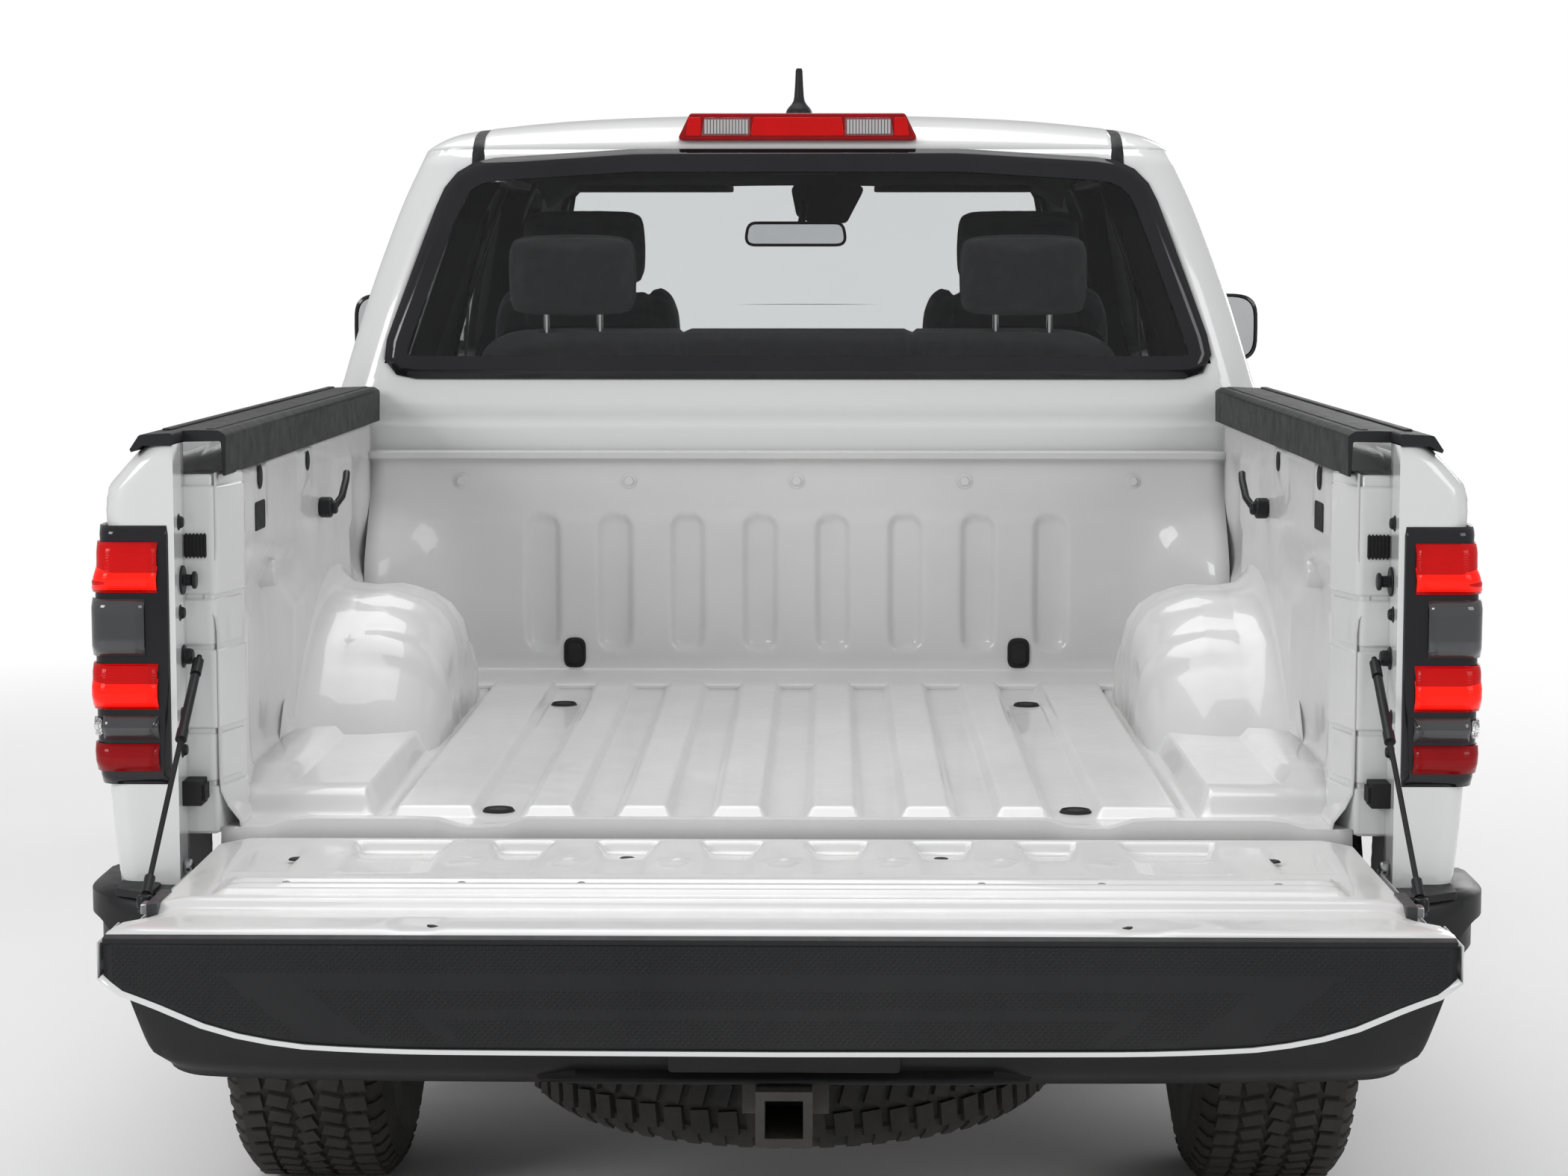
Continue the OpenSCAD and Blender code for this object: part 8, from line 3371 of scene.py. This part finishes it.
    def build_belts(self) -> None:
        """Makes the buckles and the front belts with their anchors."""
        belts = Piece("seat_belts")
        for s in (-1, 1):
            top = Vector((s * 0.735, behind(1.445), 1.56))
            foot = Vector((s * 0.782, behind(1.46), 0.72))
            belts.block((top.x - 0.012, top.y - 0.030, top.z - 0.03), (top.x + 0.012, top.y + 0.030, top.z + 0.03),
                        CABIN)
            rows = [[(top.x + (foot.x - top.x) * t, top.y + (foot.y - top.y) * t + w,
                      top.z + (foot.z - top.z) * t) for t in (k / 10 for k in range(11))] for w in (-0.023, 0.023)]
            belts.strip(rows[0], rows[1], SEAL)
            belts.strip([(x - s * 0.0015, y, z) for x, y, z in rows[1]], [(x - s * 0.0015, y, z)
                                                                        for x, y, z in rows[0]], SEAL)
            x = s * 0.205
            belts.block((x - 0.012, behind(1.62), 0.80), (x + 0.012, behind(1.66), 0.93), SATIN_BLACK)
            belts.block((x - 0.014, behind(1.615), 0.90), (x + 0.014, behind(1.665), 0.945), CABIN)
        belts.done("root", "cabin_plastic", Rounding.FINE)


@dataclass
class Dashboard:
    """The dashboard, the console, the pedals, the mirror and the steering wheel."""

    hub: Vector = Vector((0.420, behind(0.985), 1.105))
    tilt: float = 24.0

    def vent(self, piece: Piece, x: float, z: float, d: float, w: float, h: float) -> None:
        """Adds one air vent with its vanes."""
        y = behind(d)
        ring = rounded([(x - w, z - h), (x + w, z - h), (x + w, z + h), (x - w, z + h)], h * 0.5, 4)
        inner = rounded([(x - w + 0.007, z - h + 0.007), (x + w - 0.007, z - h + 0.007),
                         (x + w - 0.007, z + h - 0.007), (x - w + 0.007, z + h - 0.007)], h * 0.4, 4)
        rows = [[(a, y - 0.004, b) for a, b in ring], [(a, y + 0.006, b) for a, b in ring],
                [(a, y + 0.006, b) for a, b in inner], [(a, y - 0.018, b) for a, b in inner]]
        piece.sheets(rows, GLOSS_BLACK, ring=True)
        piece.lid(rows[-1], SATIN_BLACK)
        for k in range(4):
            level = z - h + 0.014 + (2 * h - 0.028) * k / 3
            piece.block((x - w + 0.006, y - 0.014, level - 0.0012), (x + w - 0.006, y + 0.003, level + 0.0012),
                        CABIN)

    def build_body(self) -> None:
        """Makes the dashboard's body with its cowl, vents, screen and glove box."""
        body = Piece("dashboard_body")
        section = rounded([(behind(0.490), 1.000), (behind(0.760), 0.902), (behind(0.852), 0.940),
                           (behind(0.872), 1.030), (behind(0.888), 1.052), (behind(0.892), 1.120),
                           (behind(0.815), 1.188), (behind(0.560), 1.212), (behind(0.490), 1.188)], 0.020, 4)
        body.prism(section, -0.715, 0.715, "x", CABIN)
        cowl = rounded([(0.245, 1.160), (0.255, 1.205), (0.330, 1.236), (0.510, 1.236), (0.585, 1.205),
                        (0.595, 1.160)], 0.03, 4)
        body.prism(cowl, behind(0.62), behind(0.875), "y", CABIN)
        body.done("root", "cabin_plastic", Rounding.ROUND, smooth=CRISP, replaces=("dashboard",))
        parts = Piece("dashboard_parts")
        for x in (0.640, 0.130, -0.130, -0.640):
            self.vent(parts, x, 1.085, 0.892, 0.056 if abs(x) > 0.2 else 0.050, 0.030)
        screen = rounded([(-0.115, 1.122), (0.115, 1.122), (0.115, 1.262), (-0.115, 1.262)], 0.010, 4)
        parts.prism(screen, behind(0.800), behind(0.826), "y", GLOSS_BLACK)
        face = rounded([(0.262, 1.135), (0.578, 1.135), (0.570, 1.196), (0.505, 1.222), (0.335, 1.222),
                        (0.270, 1.196)], 0.02, 4)
        parts.prism(face, behind(0.870), behind(0.879), "y", GLOSS_BLACK)
        for x in (0.345, 0.495):
            parts.lathe([(0.040, 0.0), (0.041, 0.006), (0.037, 0.007), (0.036, 0.002), (0.0, 0.002)],
                        (x, behind(0.878), 1.176), (0, 1, 0), DARK_ALLOY, 40)
        for k in range(3):
            parts.lathe([(0.024, 0.0), (0.023, 0.016), (0.019, 0.019), (0.0, 0.019)],
                        (-0.075 + 0.075 * k, behind(0.868), 0.992), (0, 1, 0.1), DARK_ALLOY, 32)
        glove = rounded([(-0.665, 0.945), (-0.255, 0.945), (-0.255, 1.035), (-0.665, 1.035)], 0.012, 4)
        parts.prism(glove, behind(0.850), behind(0.872), "y", CABIN)
        parts.block((-0.50, behind(0.868), 1.008), (-0.42, behind(0.878), 1.022), DARK_ALLOY)
        parts.done("root", "cabin_plastic", Rounding.FINE)
        console = Piece("centre_console")
        side = rounded([(behind(0.790), 0.642), (behind(1.70), 0.642), (behind(1.70), 0.905), (behind(1.66), 0.925),
                        (behind(1.38), 0.925), (behind(1.35), 0.862), (behind(1.05), 0.850), (behind(0.862), 0.930),
                        (behind(0.790), 0.900)], 0.014, 4)
        console.prism(side, -0.110, 0.110, "x", CABIN)
        for d in (1.20, 1.29):
            console.lathe([(0.040, 0.004), (0.043, 0.006), (0.044, 0.0), (0.040, 0.0), (0.038, -0.006)],
                          (0.045, behind(d), 0.860), (0, 0, 1), CHROME, 36)
        console.lathe([(0.050, 0.0), (0.040, 0.014), (0.022, 0.030), (0.012, 0.040)], (0.0, behind(1.04), 0.850),
                      (0, 0.1, 1), SEAL, 32)
        console.rod((0.0, behind(1.04), 0.880), (0.0, behind(1.055), 0.965), 0.008, CHROME, 16)
        console.lathe([(0.010, 0.0), (0.022, 0.012), (0.027, 0.032), (0.022, 0.052), (0.0, 0.058)],
                      (0.0, behind(1.053), 0.955), (0, 0.15, 1), GLOSS_BLACK, 28)
        console.done("root", "cabin_plastic", Rounding.SOFT, smooth=CRISP)
        pedals = Piece("pedals")
        for x, w, z in ((0.500, 0.045, 0.80), (0.400, 0.050, 0.80), (0.310, 0.028, 0.77)):
            pedals.tube([(x, behind(0.52), 0.98), (x, behind(0.60), 0.90), (x, behind(0.640), z)], 0.009, STEEL, 10)
            pedals.block((x - w, behind(0.636), z - 0.035), (x + w, behind(0.650), z + 0.030), SEAL)
        pedals.done("root", "chassis_black", Rounding.FINE)

    def build_wheel(self) -> None:
        """Makes the steering wheel and the column."""
        turn = Matrix.Translation(self.hub) @ Matrix.Rotation(math.radians(self.tilt - 90), 4, "X")
        wheel = Piece("steering_wheel_full")
        rim = []
        for k in range(72):
            a = 2 * math.pi * k / 72
            thick = 0.0145 + 0.0025 * math.cos(2 * a) ** 2
            rim.append([((0.178 + thick * math.cos(b)) * math.cos(a), (0.178 + thick * math.cos(b)) * math.sin(a),
                         thick * math.sin(b)) for b in full_turn(16)])
        for a, b in zip(rim, rim[1:] + rim[:1]):
            wheel.strip(a, b, SEAL, ring=True)
        hub = rounded([(-0.075, -0.050), (0.075, -0.050), (0.082, 0.030), (0.0, 0.058), (-0.082, 0.030)], 0.02, 5)
        wheel.prism(hub, -0.022, 0.022, "z", CABIN)
        wheel.prism([(x * 0.7, y * 0.7) for x, y in hub], 0.022, 0.028, "z", CABIN)
        for a in (0.0, math.pi, -math.pi / 2):
            c, s = math.cos(a), math.sin(a)
            blade = [(0.055, -0.024), (0.120, -0.017), (0.172, -0.020), (0.172, 0.020), (0.120, 0.017),
                     (0.055, 0.024)]
            wheel.prism([(u * c - v * s, u * s + v * c) for u, v in blade], -0.010, 0.008, "z", DARK_ALLOY)
        wheel.moved(turn).done("steering_wheel", "cabin_plastic", Rounding.SOFT, smooth=CREASED,
                               replaces=("steering_wheel",))
        column = Piece("steering_column")
        column.lathe([(0.036, -0.165), (0.040, -0.090), (0.036, -0.032)], (0, 0, 0), (0, 0, 1), CABIN, 32)
        column.tube([(-0.040, 0.0, -0.055), (-0.130, 0.02, -0.050), (-0.150, 0.024, -0.048)], 0.007, CABIN, 10)
        column.tube([(0.040, 0.0, -0.055), (0.130, 0.02, -0.050), (0.150, 0.024, -0.048)], 0.007, CABIN, 10)
        column.moved(turn).done("root", "cabin_plastic", smooth=CREASED)

    def build_mirror(self) -> None:
        """Makes the inside mirror, the sun visors and the roof lamp."""
        mirror = Piece("inside_mirror")
        z = 1.606
        outline = rounded([(-0.122, z - 0.026), (0.122, z - 0.026), (0.112, z + 0.032), (-0.112, z + 0.032)], 0.024,
                          6)
        ring = resampled(outline, 64)
        y = behind(1.090)
        rows = [[(x, y + dy, h) for x, h in shrunk(ring, inset)] for inset, dy in
                ((0.022, -0.020), (0.008, -0.016), (0.0, -0.004), (0.0, 0.012), (0.005, 0.015), (0.007, 0.012))]
        mirror.sheets(rows, CABIN, ring=True)
        mirror.lid(rows[0], CABIN)
        mirror.lid(rows[-1], CHROME)
        mirror.moved(Matrix.Translation((0.019, 0, 0)))
        mirror.tube([(0.010, y - 0.012, z + 0.010), (0, behind(1.050), z + 0.060), (0, behind(0.985), z + 0.112)],
                    0.009, CABIN, 12)
        mirror.lathe([(0.026, 0.0), (0.024, 0.008), (0.0, 0.010)], (0, behind(0.980), z + 0.116), (0, 0.65, -0.76),
                     CABIN, 24)
        pod = rounded([(-0.145, 1.722), (0.032, 1.722), (0.018, 1.652), (-0.030, 1.628), (-0.100, 1.636)], 0.014, 4)
        mirror.prism(pod, behind(0.985), behind(1.035), "y", CABIN)
        mirror.done("root", "cabin_plastic", smooth=CREASED, replaces=("interior_mirror",))
        visors = Piece("sun_visors")
        for s in (-1, 1):
            outline = rounded([(s * 0.16, behind(1.07)), (s * 0.53, behind(1.07)), (s * 0.52, behind(1.22)),
                               (s * 0.17, behind(1.22))], 0.03, 5)
            visors.prism(outline, 1.705, 1.719, "z", HEADLINER)
        lamp = rounded([(-0.075, behind(1.20)), (0.075, behind(1.20)), (0.07, behind(1.34)), (-0.07, behind(1.34))],
                       0.02, 4)
        visors.prism(lamp, 1.742, 1.770, "z", HEADLINER)
        visors.done("root", "cabin_plastic", Rounding.SOFT)

    def build_floor(self) -> None:
        """Makes the carpet, the rubber mats and the foot rest."""
        carpet = Piece("cabin_carpet")
        carpet.grid(lines(-0.775, 0.775, 0.05), [behind(0.50 + 1.98 * k / 40) for k in range(41)],
                    lambda x, y: (x, y, 0.6435 + 0.055 * (1 - smooth_step(0.10, 0.17, abs(x)))
                                  + 0.10 * smooth_step(behind(0.68), behind(0.50), y)), CARPET)
        carpet.done("root", "cabin_plastic", wall=MOULDED, smooth=SOFTENED)
        mats = Piece("rubber_mats")
        for x, d0, d1 in ((0.45, 0.72, 1.18), (-0.45, 0.72, 1.18), (0.43, 1.74, 2.06), (-0.43, 1.74, 2.06)):
            outline = rounded([(x - 0.21, behind(d0)), (x + 0.21, behind(d0)), (x + 0.23, behind(d1)),
                               (x - 0.23, behind(d1))], 0.04, 5)
            mats.prism(outline, 0.646, 0.653, "z", SEAL)
            for k in range(8):
                y = behind(d0 + 0.06 + (d1 - d0 - 0.12) * k / 7)
                mats.block((x - 0.17, y - 0.004, 0.652), (x + 0.17, y + 0.004, 0.656), SEAL)
        mats.done("root", "cabin_plastic", Rounding.FINE)

    def build(self) -> None:
        """Makes the whole front of the cabin."""
        self.build_body()
        self.build_wheel()
        self.build_mirror()
        self.build_floor()


@dataclass
class Antenna:
    """The short roof aerial: a round foot and a tapered mast."""

    def build(self) -> None:
        """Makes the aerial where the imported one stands."""
        low, high = corners("antenna")
        piece = Piece("roof_aerial")
        tall = high.z - low.z
        profile = [(0.0255, 0.0), (0.0250, 0.006), (0.0215, 0.012), (0.0150, 0.019), (0.0110, 0.026), (0.0095, 0.034),
                   (0.0080, tall * 0.62), (0.0068, tall * 0.95), (0.0050, tall)]
        piece.lathe(profile, ((low.x + high.x) / 2, (low.y + high.y) / 2, low.z), (0, 0, 1), SATIN_BLACK, 40)
        piece.done("root", "black_plastic", smooth=SOFTENED, replaces=("antenna",))


@dataclass
class EngineBay:
    """What shows under the open hood: engine cover, battery, air box, tanks, hoses and braces."""

    def box(self, piece: Piece, low: Point, high: Point, radius: float, finish: Finish, taper: float = 0.94) -> None:
        """Adds a box with rounded corners that narrows upwards."""
        cx, cy = (low[0] + high[0]) / 2, (low[1] + high[1]) / 2
        w, h = (high[0] - low[0]) / 2, (high[1] - low[1]) / 2
        ring = rounded([(-w, -h), (w, -h), (w, h), (-w, h)], radius, 4)
        rows = [[(cx + x * s, cy + y * s, z) for x, y in ring]
                for s, z in ((1.0, low[2]), (1.0, low[2] + 0.6 * (high[2] - low[2])), (taper, high[2] - 0.008),
                             (taper * 0.96, high[2]))]
        piece.sheets(rows, finish, ring=True)
        piece.lid(rows[0], finish)
        piece.lid(rows[-1], finish)

    def build(self) -> None:
        """Makes everything in the bay."""
        low, high = corners("engine_block")
        top = high.z
        engine = Piece("engine_top")
        self.box(engine, (-0.200, low.y + 0.05, top - 0.012), (0.200, high.y - 0.06, top + 0.055), 0.05, SATIN_BLACK,
                 0.88)
        for x in (-0.12, -0.04, 0.04, 0.12):
            engine.block((x - 0.006, low.y + 0.12, top + 0.050), (x + 0.006, high.y - 0.13, top + 0.062), GRAINED)
        for s in (-1, 1):
            self.box(engine, (s * 0.215 - 0.035, low.y + 0.06, top - 0.16), (s * 0.215 + 0.035, high.y - 0.10,
                                                                          top - 0.02), 0.02, CAST)
            for k in range(4):
                y = low.y + 0.12 + k * 0.13
                engine.tube([(s * 0.235, y, top - 0.12), (s * 0.285, y + 0.01, top - 0.19),
                             (s * 0.285, y + 0.02, top - 0.33)], 0.020, CAST, 14)
        engine.lathe([(0.030, 0.0), (0.034, 0.010), (0.030, 0.020), (0.0, 0.021)], (0.13, low.y + 0.10, top + 0.045),
                     (0, 0, 1), GLOSS_BLACK, 28)
        engine.done("root", "black_plastic", Rounding.FINE, smooth=CREASED)
        drive = Piece("belt_drive")
        for x, z, r in ((0.0, 0.66, 0.085), (0.14, 0.80, 0.045), (-0.15, 0.80, 0.050), (0.0, 0.90, 0.060),
                        (-0.13, 0.64, 0.045)):
            drive.lathe([(r * 0.3, 0.0), (r * 0.35, 0.028), (r * 0.8, 0.022), (r, 0.030), (r * 0.95, 0.018), (r, 0.004),
                         (r * 0.8, 0.0)], (x, low.y - 0.002, z), (0, -1, 0), STEEL, 36)
        drive.done("root", "cast_metal", smooth=CRISP)
        side = Piece("bay_boxes")
        self.box(side, (0.34, behind(0.10), 0.840), (0.56, behind(0.36), 1.035), 0.02, SATIN_BLACK)
        for x in (0.39, 0.51):
            side.lathe([(0.010, 0.0), (0.009, 0.018), (0.0, 0.018)], (x, behind(0.30), 1.033), (0, 0, 1), STEEL, 16)
        side.block((0.350, behind(0.20), 1.030), (0.552, behind(0.225), 1.042), GRAINED)
        self.box(side, (-0.60, behind(-0.12), 0.880), (-0.34, behind(0.20), 1.040), 0.03, GRAINED)
        self.box(side, (0.40, behind(-0.50), 0.850), (0.56, behind(-0.34), 1.000), 0.03, HEADLINER)
        side.lathe([(0.028, 0.0), (0.030, 0.012), (0.026, 0.020), (0.0, 0.021)], (0.48, behind(-0.42), 0.998),
                   (0, 0, 1), GLOSS_BLACK, 28)
        self.box(side, (-0.58, behind(0.24), 0.900), (-0.42, behind(0.37), 1.050), 0.02, GRAINED)
        side.done("root", "black_plastic", Rounding.FINE, smooth=CREASED)
        hoses = Piece("bay_hoses")
        hoses.tube([(-0.34, behind(0.02), 0.99), (-0.26, behind(-0.04), 1.03), (-0.16, behind(-0.06), 1.04),
                    (-0.12, behind(0.02), 1.035)], 0.036, SATIN_BLACK, 20)
        hoses.tube([(0.20, behind(-0.600), 0.93), (0.20, behind(-0.50), 0.95), (0.12, behind(-0.40), 0.97),
                    (0.08, behind(-0.33), 0.97)], 0.019, SEAL, 16)
        hoses.tube([(-0.22, behind(-0.600), 0.70), (-0.24, behind(-0.50), 0.68), (-0.16, behind(-0.40), 0.68),
                    (-0.10, behind(-0.34), 0.68)], 0.019, SEAL, 16)
        for s in (-1, 1):
            hoses.tube([(s * 0.42, behind(0.26), 0.96), (s * 0.30, behind(0.36), 1.02), (s * 0.10, behind(0.385), 1.03),
                        (0.0, behind(0.388), 1.03)], 0.008, SEAL, 10)
        hoses.done("root", "black_plastic", smooth=ROUND)
        front = Piece("front_cross_panel")
        section = rounded([(behind(-0.700), 0.985), (behind(-0.570), 0.985), (behind(-0.570), 1.012),
                           (behind(-0.600), 1.020), (behind(-0.700), 1.008)], 0.006, 3)
        front.prism(section, -0.60, 0.60, "x", SATIN_BLACK)
        front.block((-0.035, behind(-0.700), 1.008), (0.035, behind(-0.640), 1.024), STEEL)
        for x in (-0.18, 0.18):
            front.lathe([(0.160, 0.0), (0.165, 0.030), (0.158, 0.034), (0.150, 0.006)], (x, behind(-0.600), 0.80),
                        (0, 1, 0), SATIN_BLACK, 48, closed=True)
            front.lathe([(0.040, 0.004), (0.038, 0.024), (0.0, 0.026)], (x, behind(-0.600), 0.80), (0, 1, 0),
                        SATIN_BLACK, 28)
            for k in range(7):
                a = 2 * math.pi * k / 7
                c, d = math.cos(a), math.sin(a)
                front.strip([(x + 0.036 * c - 0.018 * d, behind(-0.596), 0.80 + 0.036 * d + 0.018 * c),
                             (x + 0.150 * c - 0.040 * d, behind(-0.592), 0.80 + 0.150 * d + 0.040 * c)],
                            [(x + 0.036 * c + 0.018 * d, behind(-0.580), 0.80 + 0.036 * d - 0.018 * c),
                             (x + 0.150 * c + 0.020 * d, behind(-0.574), 0.80 + 0.150 * d - 0.020 * c)], SATIN_BLACK)
        front.done("root", "black_plastic", Rounding.FINE, smooth=CRISP)


# --------------------------------------------------------------------------
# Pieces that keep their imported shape
# --------------------------------------------------------------------------
CHASSIS_FINISHES: dict[str, Finish] = {
    "ladder_frame": CHASSIS,
    "engine_block": CAST,
    "radiator": CORE,
    "cab_floor": CHASSIS,
    "front_suspension": CAST,
    "knuckle_left": CAST,
    "knuckle_right": CAST,
    "rear_axle": CHASSIS,
    "drive_shaft": STEEL,
    "exhaust": EXHAUST,
    "fuel_tank": TANK,
}
WELD_GAP = 0.0001
FLAT_ANGLE = math.radians(2)
EDGE_WIDTH = 0.003
EDGE_ANGLE = math.radians(42)


def dress_chassis() -> None:
    """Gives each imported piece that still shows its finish, soft edges and a material."""
    for name, finish in CHASSIS_FINISHES.items():
        obj = bpy.data.objects[name]
        obj.data.materials.clear()
        obj.data.materials.append(finish.material())
        weld = obj.modifiers.new("weld", "WELD")
        weld.merge_threshold = WELD_GAP
        flat = obj.modifiers.new("flat", "DECIMATE")
        flat.decimate_type = "DISSOLVE"
        flat.angle_limit = FLAT_ANGLE
        edge = obj.modifiers.new("edges", "BEVEL")
        edge.width = EDGE_WIDTH
        edge.segments = 2
        edge.limit_method = "ANGLE"
        edge.angle_limit = EDGE_ANGLE
        LOG.info("%s keeps its packed shape", name)


def main() -> None:
    """Builds the studio and the truck, piece by piece."""
    logging.basicConfig(level=logging.INFO, format="%(name)s: %(message)s")
    Studio().build()
    for part in (Seats(), Dashboard(), LoadBed(), Tailgate(), TailLamps(), BrakeLamp(), RearBumper(), CabShell(),
                 Mirrors(), FrontWings(), Hood(), FrontFace(), Antenna(), EngineBay()):
        part.build()
    make_doors()
    make_wheels()
    dress_chassis()


if __name__ == "__main__":
    main()
